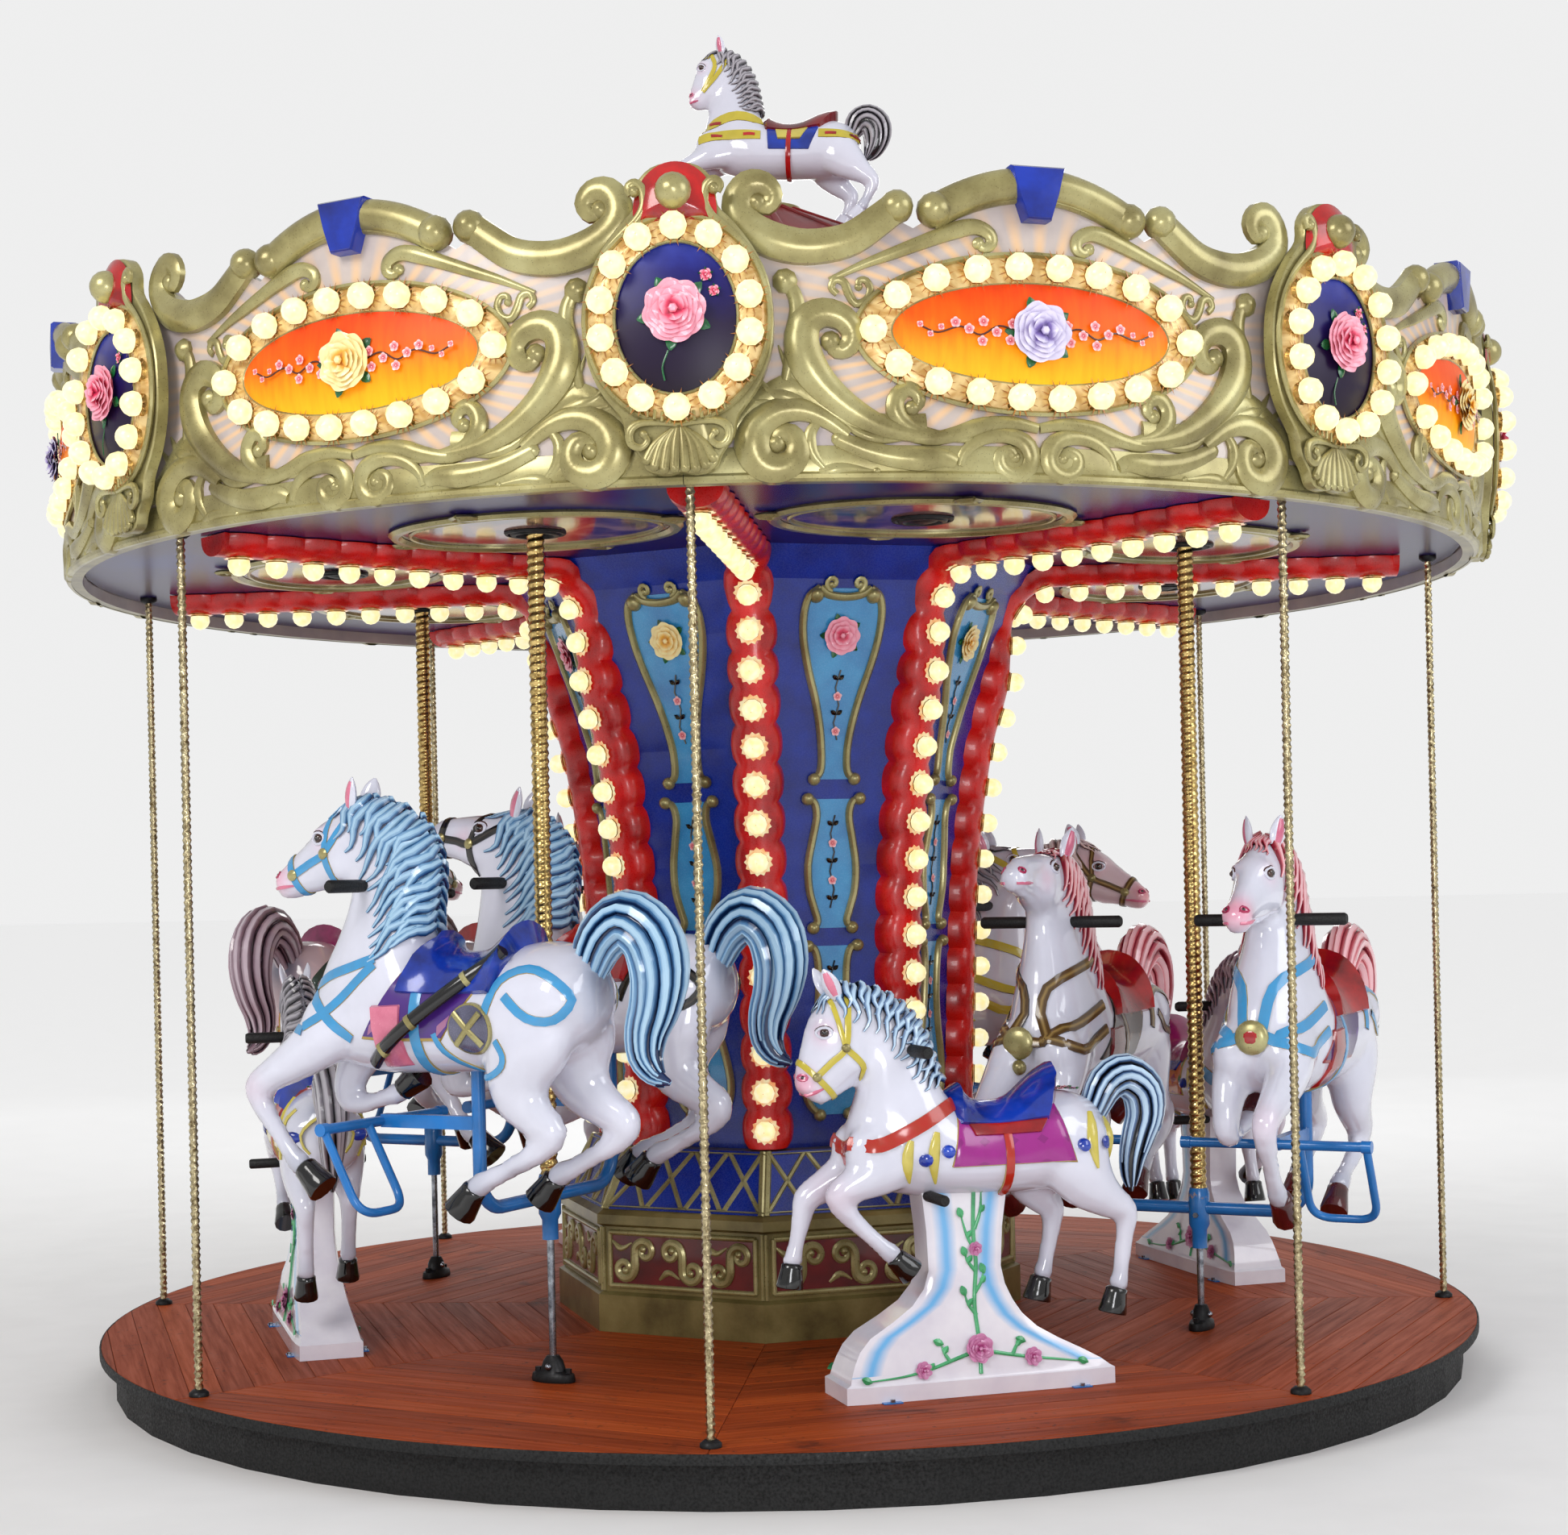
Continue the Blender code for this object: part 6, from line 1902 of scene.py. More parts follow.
def tail(shape, core, strands, half, material, seed):
    """Strands laid round a thick curved core: ahead, up and radius along it."""
    rng = random.Random(seed)
    dense = smooth_path(core, 3)
    path = np.array([spot3(ahead, 0, up) for ahead, up, _ in dense])
    radius = dense[:, 2]
    shape.sweep(path, radius * 0.90, radius * 0.72, material, 10, normal=(0, 1, 0))
    out = np.cross(headings(path), (0, 1, 0))
    share = np.linspace(0, 1, len(path))
    for index in range(strands):
        turn = 2 * pi * (index + rng.uniform(-0.2, 0.2)) / strands + (share - 0.3) * rng.uniform(0.4, 1.0)
        short = index % 3 == 0
        keep = int(len(path) * (rng.uniform(0.74, 0.88) if short else rng.uniform(0.94, 1.0)))
        flare = 1 + 0.22 * np.clip(share - 0.6, 0, 1) * short
        facing = np.cos(turn)[:, None] * out + np.sin(turn)[:, None] * np.array((0, 1, 0))
        line = path + (np.cos(turn) * radius * flare)[:, None] * out
        line[:, 1] += np.sin(turn) * radius * 0.80 * flare
        wide = taper(keep, half * 0.6, half, half * 0.22, 0.45)
        shape.sweep(line[:keep], wide, wide * 0.85, material, 5, normal=facing[:keep])


def mane(figure, shape, crest, ends, count, half, sway, material, seed):
    rng = random.Random(seed)
    crest, ends = np.array(crest), np.array(ends)
    for hand in (-1, 1):
        for layer in (0, 1):
            for index in range(count):
                share = (index + 0.5 * layer) / count * (len(crest) - 1)
                start = np.array([np.interp(share, range(len(crest)), crest[:, axis]) for axis in (0, 1)])
                end = np.array([np.interp(share, range(len(ends)), ends[:, axis]) for axis in (0, 1)])
                reach = rng.uniform(0.9, 1.08) if layer == 0 else rng.uniform(0.5, 0.72)
                end = start + (end - start) * reach
                first = spot3(start[0], hand * 0.006, start[1])
                last = figure.side(*end, hand)
                wave, turn = sway * rng.uniform(0.6, 1.2), rng.uniform(0, 1) * 0.35
                figure.lock(shape, first, last, wave, turn, half, material, 0.008 + 0.007 * layer)


def bridle(figure, shape, style, nose, cheek, jaw, poll, half):
    """A noseband, cheek straps, a throat strap and a browband, with gold rings where they meet."""
    nose, cheek, poll = np.array(nose), np.array(cheek), np.array(poll)
    figure.belt(shape, nose, nose - cheek, half, style)
    for hand in (-1, 1):
        guide = [figure.side(*spot, hand) for spot in (nose, (nose + cheek) / 2, cheek, cheek * 0.5 + poll * 0.5)]
        figure.strap(shape, guide + [spot3(poll[0], hand * 0.012, poll[1])], half, style)
        guide = [figure.side(*spot, hand) for spot in (cheek, jaw)]
        figure.strap(shape, guide + [spot3(jaw[0], hand * 0.01, jaw[1] - 0.03)], half, style)
        for spot in (nose, cheek):
            figure.disc(shape, *spot, half * 1.35, "gold", 0.012, hand)
    brow = poll * 0.45 + nose * 0.2 + cheek * 0.35
    guide = [spot3(brow[0] + 0.02, across, brow[1] + 0.06) for across in (-0.03, 0.03)]
    figure.strap(shape, [figure.side(*cheek, -1), *guide, figure.side(*cheek, 1)], half * 0.8, style)


def mouth(figure, shape, corner, front, nostril, lip, nose):
    corner, front = np.array(corner), np.array(front)
    for hand in (-1, 1):
        guide = [figure.side(*(corner + (front - corner) * share), hand) for share in np.linspace(0, 0.96, 6)]
        shape.sweep(guide, taper(6, 0.003, 0.006, 0.005), None, lip, 6)
        spot = figure.side(*nostril, hand)
        facing = figure.touch(spot)[1]
        ring = [
            figure.side(nostril[0] + 0.011 * cos(t), nostril[1] + 0.008 * sin(t), hand) for t in np.arange(10) * pi / 5
        ]
        shape.sweep(ring, 0.0042, None, nose, 6, closed=True)
        # A black ball sunk in the nostril: painted shade standing in for the nostril's hollow
        shape.ball(spot - facing * 0.002, 0.006, "pupil", 5, 8)


def head_trim(figure, shape, style, pose):
    """Eyes, ears, mouth, mane, forelock and tail."""
    hair, seed = style["hair"], style["seed"]
    eyes(figure, shape, *pose["eye"])
    ears(shape, *pose["ears"])
    mouth(figure, shape, *pose["mouth"])
    mane(figure, shape, pose["crest"], pose["ends"], *pose["mane"], hair, seed)
    rng = random.Random(seed)
    (root_ahead, root_up), (tip_ahead, tip_up) = pose["fore"]
    count, gap, loose, spread, sway, half, lift = pose["forelock"]
    for index in range(count):
        across = (index - (count - 1) / 2) * gap
        root = spot3(root_ahead, across * 0.5, root_up)
        tip = spot3(tip_ahead + rng.uniform(-loose, loose), across * spread, tip_up)
        figure.lock(shape, root, tip, sway, rng.uniform(0, 0.3), half, hair, lift)
    tail(shape, *pose["tail"], hair, seed + 1)


# Poses: where the parts of a horse lie, from the side, and how its locks run.
# An eye has its size, ears a half width and a spread, a mouth its colours, a mane its count, half width and sway
JUMPER_TAIL = [(-0.36, 0.655, 0.045), (-0.42, 0.765, 0.062), (-0.50, 0.812, 0.070), (-0.575, 0.765, 0.074)]
JUMPER_TAIL += [(-0.60, 0.675, 0.070), (-0.585, 0.585, 0.062), (-0.555, 0.51, 0.054), (-0.55, 0.44, 0.045)]
JUMPER_TAIL += [(-0.58, 0.39, 0.030), (-0.625, 0.372, 0.010)]
SMALL_TAIL = [(-0.43, 0.765, 0.035), (-0.475, 0.845, 0.048), (-0.535, 0.868, 0.052), (-0.590, 0.825, 0.052)]
SMALL_TAIL += [(-0.598, 0.755, 0.048), (-0.575, 0.69, 0.043), (-0.555, 0.63, 0.036), (-0.548, 0.575, 0.026)]
SMALL_TAIL += [(-0.55, 0.53, 0.008)]
ROOF_TAIL = [(-0.42, 0.775, 0.035), (-0.45, 0.83, 0.055), (-0.495, 0.845, 0.064), (-0.535, 0.815, 0.066)]
ROOF_TAIL += [(-0.545, 0.765, 0.062), (-0.535, 0.715, 0.050), (-0.515, 0.675, 0.034), (-0.49, 0.645, 0.008)]
JUMPER_LOCKS = {
    "mane": (13, 0.0185, 0.012),
    "forelock": (7, 0.011, 0.02, 1.5, 0.006, 0.010, 0.008),
    "tail": (JUMPER_TAIL, 13, 0.0210),
}
SMALL_LOCKS = {"mane": (12, 0.0145, 0.009), "forelock": (6, 0.010, 0.01, 1.6, 0.005, 0.009, 0.007)}
BREAST_AND_RUMP = [(0.46, 0.070, 0.520, 0.090, (1.0, 0.8, 1.1)), (-0.30, 0.080, 0.60, 0.10, (1.1, 0.8, 1.0))]
SMALL_BREAST_AND_RUMP = [(0.27, 0.060, 0.690, 0.075, (1.0, 0.8, 1.1)), (-0.36, 0.065, 0.70, 0.08, (1.1, 0.8, 1.0))]
NECK_CREST = [(0.143, 1.04), (0.129, 0.985), (0.132, 0.92), (0.147, 0.86), (0.158, 0.79)]
OUTER_POSE = JUMPER_LOCKS | {
    "spine": OUTER_SPINE,
    "legs": OUTER_LEGS,
    "lumps": [
        (0.43, 0.036, 1.000, 0.066, (1.0, 0.55, 1.0)),
        (0.495, 0.040, 1.080, 0.030, (1.2, 0.7, 0.8)),
        (0.655, 0.026, 0.940, 0.030, (1.0, 0.8, 1.0)),
        *BREAST_AND_RUMP,
    ],
    "eye": (0.500, 1.060, 0.016),
    "ears": ((0.395, 1.145), (0.375, 1.232), 0.030, 0.040),
    "mouth": ((0.605, 0.925), (0.697, 0.915), (0.672, 0.958), "lip", "magenta_lip"),
    "crest": [(0.375, 1.163), (0.27, 1.145), (0.185, 1.097), (0.143, 1.045), *NECK_CREST[1:]],
    "ends": [(0.43, 1.05), (0.37, 0.985), (0.33, 0.925), (0.31, 0.865)]
    + [(0.295, 0.81), (0.28, 0.76), (0.27, 0.72), (0.245, 0.70)],
    "fore": ((0.385, 1.168), (0.475, 1.13)),
    "reins": ((0.605, 0.955), (0.475, 1.015), (0.455, 0.955), (0.355, 1.163)),
}
INNER_POSE = JUMPER_LOCKS | {
    "spine": INNER_SPINE,
    "legs": INNER_LEGS,
    "lumps": [
        (0.44, 0.036, 1.030, 0.062, (1.0, 0.55, 1.0)),
        (0.43, 0.042, 1.105, 0.028, (1.2, 0.7, 0.8)),
        (0.62, 0.026, 1.055, 0.030, (1.0, 0.8, 1.0)),
        *BREAST_AND_RUMP,
    ],
    "eye": (0.425, 1.092, 0.016),
    "ears": ((0.305, 1.125), (0.27, 1.215), 0.030, 0.042),
    "mouth": ((0.575, 1.045), (0.655, 1.045), (0.628, 1.085), "lip", "magenta_lip"),
    "crest": [(0.29, 1.132), (0.225, 1.110), (0.175, 1.08), *NECK_CREST],
    "ends": [(0.39, 1.02), (0.36, 0.97), (0.335, 0.92), (0.315, 0.865)]
    + [(0.30, 0.81), (0.28, 0.76), (0.27, 0.72), (0.245, 0.70)],
    "fore": ((0.30, 1.137), (0.395, 1.14)),
    "reins": ((0.58, 1.065), (0.46, 1.045), (0.455, 0.985), (0.265, 1.13)),
}
SMALL_POSE = SMALL_LOCKS | {
    "spine": SMALL_SPINE,
    "legs": SMALL_LEGS,
    "lumps": [
        (0.305, 0.032, 0.960, 0.056, (0.9, 0.55, 1.1)),
        (0.385, 0.034, 1.050, 0.026, (1.0, 0.7, 1.0)),
        (0.435, 0.022, 0.880, 0.028, (1.0, 0.8, 1.0)),
        *SMALL_BREAST_AND_RUMP,
    ],
    "eye": (0.392, 1.028, 0.014),
    "ears": ((0.352, 1.130), (0.392, 1.205), 0.025, 0.034),
    "mouth": ((0.395, 0.872), (0.455, 0.850), (0.452, 0.905), "lip", "lip"),
    "crest": [(0.335, 1.147), (0.265, 1.147), (0.195, 1.118), (0.140, 1.075)]
    + [(0.105, 1.03), (0.085, 0.98), (0.066, 0.925), (0.045, 0.87)],
    "ends": [(0.335, 1.06), (0.285, 1.035), (0.24, 1.01), (0.205, 0.975)]
    + [(0.18, 0.94), (0.155, 0.905), (0.13, 0.875), (0.10, 0.85)],
    "fore": ((0.345, 1.148), (0.415, 1.09)),
    "tail": (SMALL_TAIL, 12, 0.0160),
    "reins": ((0.415, 0.905), (0.335, 0.985), (0.285, 0.935), (0.315, 1.148)),
}
ROOF_POSE = SMALL_LOCKS | {
    "spine": ROOF_SPINE,
    "legs": ROOF_LEGS,
    "lumps": [
        (0.278, 0.030, 0.990, 0.052, (0.9, 0.55, 1.1)),
        (0.330, 0.034, 1.100, 0.026, (1.0, 0.7, 1.0)),
        (0.370, 0.022, 0.925, 0.026, (1.0, 0.8, 1.0)),
        *SMALL_BREAST_AND_RUMP,
    ],
    "eye": (0.332, 1.085, 0.014),
    "ears": ((0.235, 1.160), (0.250, 1.245), 0.025, 0.034),
    "mouth": ((0.342, 0.925), (0.385, 0.912), (0.380, 0.955), "lip", "lip"),
    "crest": [(0.235, 1.175), (0.185, 1.160), (0.132, 1.122), (0.092, 1.065)]
    + [(0.067, 1.005), (0.054, 0.95), (0.044, 0.90), (0.034, 0.865)],
    "ends": [(0.250, 1.09), (0.220, 1.06), (0.195, 1.02), (0.180, 0.985)]
    + [(0.165, 0.95), (0.150, 0.915), (0.130, 0.88), (0.105, 0.85)],
    "fore": ((0.255, 1.175), (0.330, 1.135)),
    "tail": (ROOF_TAIL, 12, 0.0160),
}


def styles(keys, *rows):
    """Dictionaries from rows of values."""
    return [dict(zip(keys.split(), row)) for row in rows]


def seat(front, back, depth):
    """How far a saddle stands off the back: a pommel, a hollow seat and a cantle."""

    def lift(u, turn):
        top = cos(turn * 1.2) ** 2
        return 0.014 + top * (front * max(0, 1 - u / 0.3) ** 1.5 + back * max(0, (u - 0.62) / 0.38) ** 1.3 + depth)

    return lift


# The grey round shield on the first outer horse's flank
ROUND_SHIELD = (-0.087, 0.522)


def jumper_trim(figure, style, pose):
    shape = Shape()
    hooves(shape, pose, style["hoof"])
    bar = [(-0.33, across, 0.92) for across in (-0.233, -0.225, -0.10, 0, 0.10, 0.225, 0.233)]
    shape.sweep(bar, [0.014, 0.019, 0.019, 0.012, 0.019, 0.019, 0.014], None, "rubber", 14)
    head_trim(figure, shape, style, pose)
    if style["bridle"]:
        bridle(figure, shape, style["bridle"], *pose["reins"], 0.0125)
    if style["chest"] == "cross":
        for guide in (
            [(0.25, 0.716), (0.336, 0.691), (0.43, 0.665), (0.505, 0.630)],
            [(0.25, 0.700), (0.34, 0.625), (0.426, 0.560), (0.50, 0.522)],
            [(0.335, 0.488), (0.380, 0.522), (0.426, 0.560), (0.50, 0.612)],
        ):
            figure.flank(shape, guide, 0.015, style["strap"])
        for up in (0.617, 0.510):
            guide = [spot3(0.58, across, up - 0.01) for across in (-0.04, 0.04)]
            guide = [figure.side(0.50, up, -1), *guide, figure.side(0.50, up, 1)]
            figure.strap(shape, guide, 0.015, style["strap"])
    else:
        for hand in (-1, 1):
            for top, low in (((0.26, 0.80), (0.47, 0.72)), ((0.27, 0.66), (0.45, 0.60)), ((0.27, 0.585), (0.44, 0.53))):
                guide = [figure.side(*top, hand), figure.side(*low, hand)]
                guide += [spot3(0.60, hand * 0.045, 0.60), spot3(0.60, 0.0, 0.588)]
                figure.strap(shape, guide[::-hand], 0.017, style["strap"], 0.008)
        centre, facing = figure.touch(spot3(0.60, 0, 0.585))
        boss = "gem_red" if style["chest"] == "disc" else "black"
        for radius, key, proud in ((0.052, "gold", 0.004), (0.032, boss, 0.012)):
            shape.ball(centre + facing * proud, radius, key, 8, 18, (0.35, 1, 1))
        if style["chest"] == "ornate":
            shape.ball(centre + facing * 0.010 - np.array((0, 0, 0.075)), 0.024, "gold", 7, 12)
    figure.drape(shape, (0.105, 0.30), (-0.20, 0.02), 2.05, lambda u, turn: 0.006, style["blanket"], 0.56)
    figure.drape(shape, (0.125, 0.17), (-0.20, -0.15), 1.20, seat(0.050, 0.054, 0.004), style["saddle"], 0.56)
    figure.belt(shape, (0.10, 0.56), (1, 0), 0.018, style["strap"], 0.010)
    for hand in (-1, 1):
        panel = np.array([(0.245, 0.585), (0.145, 0.590), (0.145, 0.415), (0.240, 0.405)])
        shares = (0.0, 0.03, 0.35, 0.65, 0.97, 1.0)
        rows = []
        for u in shares:
            row = []
            top = panel[0] + (panel[1] - panel[0]) * u
            low = panel[3] + (panel[2] - panel[3]) * u
            for v in shares:
                spot = figure.side(*(top + (low - top) * v), hand)
                rise = 0.002 if u in (0, 1) or v in (0, 1) else 0.014
                row.append(spot + np.array((0, hand * rise, 0)))
            rows.append(row)
        shape.grid(rows[::-hand], style["panel"])
    loop = [
        (-0.135, 0.565), (-0.177, 0.652), (-0.26, 0.684), (-0.345, 0.655), (-0.392, 0.600), (-0.345, 0.547),
        (-0.27, 0.553), (-0.20, 0.612)
    ]
    figure.flank(shape, loop, 0.014, style["strap"])
    if style.get("arms"):
        loop = [
            (0.038, 0.509), (0.017, 0.461), (-0.038, 0.418), (-0.12, 0.388), (-0.184, 0.412), (-0.198, 0.449),
            (-0.170, 0.49)
        ]
        figure.flank(shape, loop, 0.010, "strap_sky", 0.008)
        ahead, up = ROUND_SHIELD
        for hand in (-1, 1):
            figure.disc(shape, ahead, up, 0.074, "gold", 0.014, hand, 28)
            figure.disc(shape, ahead, up, 0.068, "shield_grey", 0.018, hand, 28)
            for lean in (-1, 1):
                cross = [(ahead - 0.045 * lean, up - 0.045), (ahead, up), (ahead + 0.045 * lean, up + 0.045)]
                spots = [figure.side(*spot, hand) + np.array((0, hand * 0.021, 0)) for spot in cross]
                shape.sweep(spots, 0.009, 0.004, "gold", 6, normal=(0, hand, 0))
            ends = np.array([(-0.175, 0.738), (0.255, 0.423)])
            line = [ends[0] + (ends[1] - ends[0]) * share for share in np.linspace(0, 1, 9)]
            spots = [figure.side(*spot, hand) + np.array((0, hand * 0.030, 0)) for spot in line]
            spots[0][1] = spots[1][1]
            shape.sweep(smooth_path(spots, 2), 0.021, 0.014, "black", 12, normal=(0, hand, 0))
            for index in (2, 5, 8):
                spot = np.array(spots[min(index, 7)])
                way = np.array(spots[5]) - np.array(spots[3])
                way /= np.linalg.norm(way)
                shape.sweep([spot - way * 0.008, spot + way * 0.008], 0.024, 0.017, "gold", 12, normal=(0, hand, 0))
    return shape


JUMPER_STYLES = styles(
    "hair hoof coat bridle chest strap blanket saddle panel seed arms",
    ("hair_blue", "black", "coat", "strap_sky", "cross", "strap_sky")
    + ("blanket_purple", "saddle_blue", "lip", 11, True),
    ("hair_blue", "black", "coat", "strap_black", "cross", "strap_black")
    + ("blanket_check", "saddle_red", "black", 23),
    ("hair_red", "maroon", "coat", None, "disc", "strap_sky")
    + ("blanket_plum", "saddle_red", "saddle_red", 37),
    ("hair_red", "maroon", "coat", None, "ornate", "strap_brown")
    + ("blanket_brown", "saddle_red", "saddle_brown", 41),
    ("hair_brown", "maroon", "coat_pink", "strap_brown", "cross", "strap_brown")
    + ("blanket_orange", "saddle_magenta", "saddle_brown", 53),
    ("hair_dark", "black", "coat", "strap_yellow", "disc", "strap_yellow")
    + ("blanket_blue", "saddle_red", "saddle_blue", 61),
    ("hair_mauve", "black", "coat_pink", "strap_green", "cross", "strap_green")
    + ("blanket_plum", "saddle_magenta", "saddle_magenta", 71),
    ("hair_dark", "black", "coat", "strap_red", "ornate", "strap_red")
    + ("blanket_orange", "saddle_red", "saddle_red", 83),
)


def coated(figure, key):
    mesh = figure.skin.copy()
    mesh.materials.clear()
    mesh.materials.append(M[key])
    return mesh


def jumpers():
    blush = [(0.675, 0.03, 0.95, 0.05, 0.7), (0.712, 0.086, 0.345, 0.05, 0.3), (0.49, 0.05, 1.06, 0.035, 0.35)]
    grey = [
        (0.575, 0.08, 0.12, 0.05, 0.5), (-0.05, 0.086, 0.08, 0.06, 0.5), (-0.20, 0.086, 0.09, 0.06, 0.5),
        (-0.42, 0.03, 0.66, 0.06, 0.6)
    ]
    outer = Figure("jumper_outer", OUTER_POSE, 0.0190, 3, blush, grey)
    inner = Figure("jumper_inner", INNER_POSE, 0.0190, 3, blush, grey)
    for index in range(4):
        for hand, figure, pose, side in ((-1, outer, OUTER_POSE, "outer"), (1, inner, INNER_POSE, "inner")):
            style = JUMPER_STYLES[2 * index + (hand > 0)]
            node = f"jumper_horse_{index + 1}_{side}"
            spot = jumper_place(index) @ Matrix.Translation((0, hand * HORSE_SPACING, 0))
            piece(node + "_body", coated(figure, style["coat"]), f"jumper_{index + 1}", (node,), spot)
            trim = jumper_trim(figure, style, pose).mesh(node + "_trim", 50)
            piece(node + "_trim", trim, f"jumper_{index + 1}", (node,), spot)


SMALL_STYLES = styles(
    "hair bridle collar blanket saddle skirt seed",
    ("hair_mixed", "strap_yellow", "strap_red", "blanket_gems", "saddle_blue", "saddle_red", 91),
    ("hair_mauve", "strap_sky", "strap_sky", "blanket_orange", "saddle_magenta", "saddle_blue", 97),
    ("hair_brown", "strap_green", "strap_green", "blanket_plum", "saddle_red", "saddle_brown", 101),
    ("hair_dark", "strap_red", "strap_red", "blanket_blue", "saddle_blue", "saddle_red", 103),
)
ROOF_STYLE = {"hair": "hair_dark", "seed": 107}


def roof_trim(figure):
    """Wide yellow bands with red drops, a V-shaped bridle, and a red-brown saddle on a blue cloth."""
    shape = Shape()
    strap, drop = "strap_yellow", "gem_red"
    hooves(shape, ROOF_POSE, "coat")
    head_trim(figure, shape, ROOF_STYLE, ROOF_POSE)
    for guide in (
        [(0.285, 1.155), (0.262, 1.09), (0.290, 1.02), (0.318, 0.965)],
        [(0.318, 0.965), (0.262, 1.03), (0.215, 1.105), (0.205, 1.15)],
    ):
        figure.flank(shape, guide, 0.011, strap)
    brow = [figure.side(0.290, 1.14, -1), spot3(0.345, 0, 1.145), figure.side(0.290, 1.14, 1)]
    figure.strap(shape, brow, 0.012, strap)
    for band in (
        [(0.02, 0.815), (0.14, 0.835), (0.25, 0.800), (0.325, 0.745)],
        [(0.02, 0.735), (0.14, 0.735), (0.24, 0.730), (0.325, 0.710)],
        [(-0.265, 0.745), (-0.36, 0.745), (-0.455, 0.735)],
    ):
        figure.flank(shape, band, 0.026, strap, 0.005)
    for ahead, up in ((0.245, 0.795), (0.235, 0.727), (0.075, 0.735), (-0.325, 0.742), (-0.445, 0.735)):
        figure.flank(shape, [(ahead - 0.028, up), (ahead, up + 0.002), (ahead + 0.028, up)], 0.008, drop, 0.009)
    figure.drape(shape, (0.0, -0.02), (-0.29, -0.22), 1.72, lambda u, turn: 0.006, "saddle_blue", 0.68)
    figure.drape(shape, (-0.03, -0.065), (-0.25, -0.175), 1.34, lambda u, turn: 0.010, "feather", 0.68)
    figure.drape(shape, (0.02, 0.0), (-0.35, -0.27), 0.78, seat(0.014, 0.026, 0.010), "saddle_brown", 0.68)
    figure.belt(shape, (-0.12, 0.67), (1, 0), 0.013, "saddle_red", 0.013)
    return shape


# A small horse's breast and withers, ahead of its middle, and half the width of its grips
SMALL_BREAST = 0.345
SMALL_WITHERS = 0.03
SMALL_BAR_HALF = 0.19


def small_trim(figure, style):
    shape = Shape()
    hooves(shape, SMALL_POSE, "black")
    head_trim(figure, shape, style, SMALL_POSE)
    bridle(figure, shape, style["bridle"], *SMALL_POSE["reins"], 0.0095)
    for hand in (-1, 1):
        guide = [figure.side(*spot, hand) for spot in ((0.02, 0.815), (0.16, 0.755), (0.26, 0.715))]
        figure.strap(shape, [*guide, spot3(SMALL_BREAST, 0, 0.70)][::-hand], 0.021, style["collar"], 0.009)
    guide = [spot3(SMALL_BREAST, 0, 0.72), spot3(SMALL_BREAST, 0, 0.66), spot3(SMALL_BREAST - 0.045, 0, 0.61)]
    figure.strap(shape, guide, 0.020, style["collar"], 0.009)
    figure.drape(
        shape, (SMALL_WITHERS - 0.02, 0.055), (-0.27, -0.325), 1.86, lambda u, turn: 0.006, style["blanket"], 0.68
    )
    figure.drape(shape, (SMALL_WITHERS, -0.02), (-0.315, -0.22), 1.20, lambda u, turn: 0.012, style["skirt"], 0.68)
    figure.drape(shape, (SMALL_WITHERS, 0.02), (-0.31, -0.25), 0.92, seat(0.030, 0.062, 0.010), style["saddle"], 0.68)
    figure.belt(shape, (-0.12, 0.67), (1, 0), 0.013, style["collar"], 0.012)
    for ahead, up in ((0.13, 0.668), (0.065, 0.690), (-0.345, 0.688), (-0.425, 0.690)):
        for hand in (-1, 1):
            figure.disc(shape, ahead, up, 0.019, "gem_blue", 0.016, hand, 12)
    for ahead, top, low in ((0.17, 0.725, 0.605), (0.095, 0.745, 0.60), (-0.385, 0.775, 0.62), (-0.455, 0.755, 0.64)):
        for hand in (-1, 1):
            spots = []
            for share in np.linspace(0, 1, 7):
                spot = figure.side(ahead + 0.012 * sin(pi * share), top + (low - top) * share, hand)
                spots.append(spot + np.array((0, hand * 0.003, 0)))
            wide = 0.017 * np.sin(pi * np.clip(np.linspace(0.12, 1.0, 7), 0, 0.97)) ** 0.7
            shape.sweep(spots, wide, 0.005, "feather", 8, normal=(0, hand, 0))
    garland = Shape()
    colours = ("rose", "blossom", "mauve", "rose", "blossom")
    spots = ((0, 0), (0.012, 0.03), (0.012, -0.03), (-0.028, 0.014), (-0.026, -0.016))
    for index, (spot, colour) in enumerate(zip(spots, colours)):
        flower(garland, spot, 0.019, colour, 0.003, 2, 5, index * 0.4, leaves=index < 3)
    shape.merge(garland, Matrix.Translation((0.345, 0, figure.touch(spot3(-0.345, 0, 0.9))[0][2])))
    bar = [(-0.14, across * SMALL_BAR_HALF, 0.97) for across in (-1, -0.96, -0.4, 0, 0.4, 0.96, 1)]
    shape.sweep(bar, np.array([0.014, 0.018, 0.018, 0.010, 0.018, 0.018, 0.014]), None, "rubber", 12)
    return shape


# A small horse's stand: height, how far it reaches back and ahead, and half its width
STAND = [
    (0.0006, -0.441, 0.366, 0.108), (0.047, -0.441, 0.366, 0.108), (0.054, -0.428, 0.352, 0.102),
    (0.075, -0.40, 0.347, 0.098), (0.105, -0.345, 0.336, 0.092), (0.140, -0.275, 0.318, 0.086),
    (0.175, -0.215, 0.285, 0.081), (0.215, -0.172, 0.215, 0.075), (0.255, -0.146, 0.155, 0.070),
    (0.300, -0.126, 0.118, 0.065), (0.35, -0.116, 0.102, 0.062), (0.46, -0.122, 0.106, 0.062),
    (0.60, -0.142, 0.122, 0.064),
]


STAND_STEPS = 17
STAND_ROUND = 0.010
# UVs this far from both edges stay white
NO_TINT = 0.4


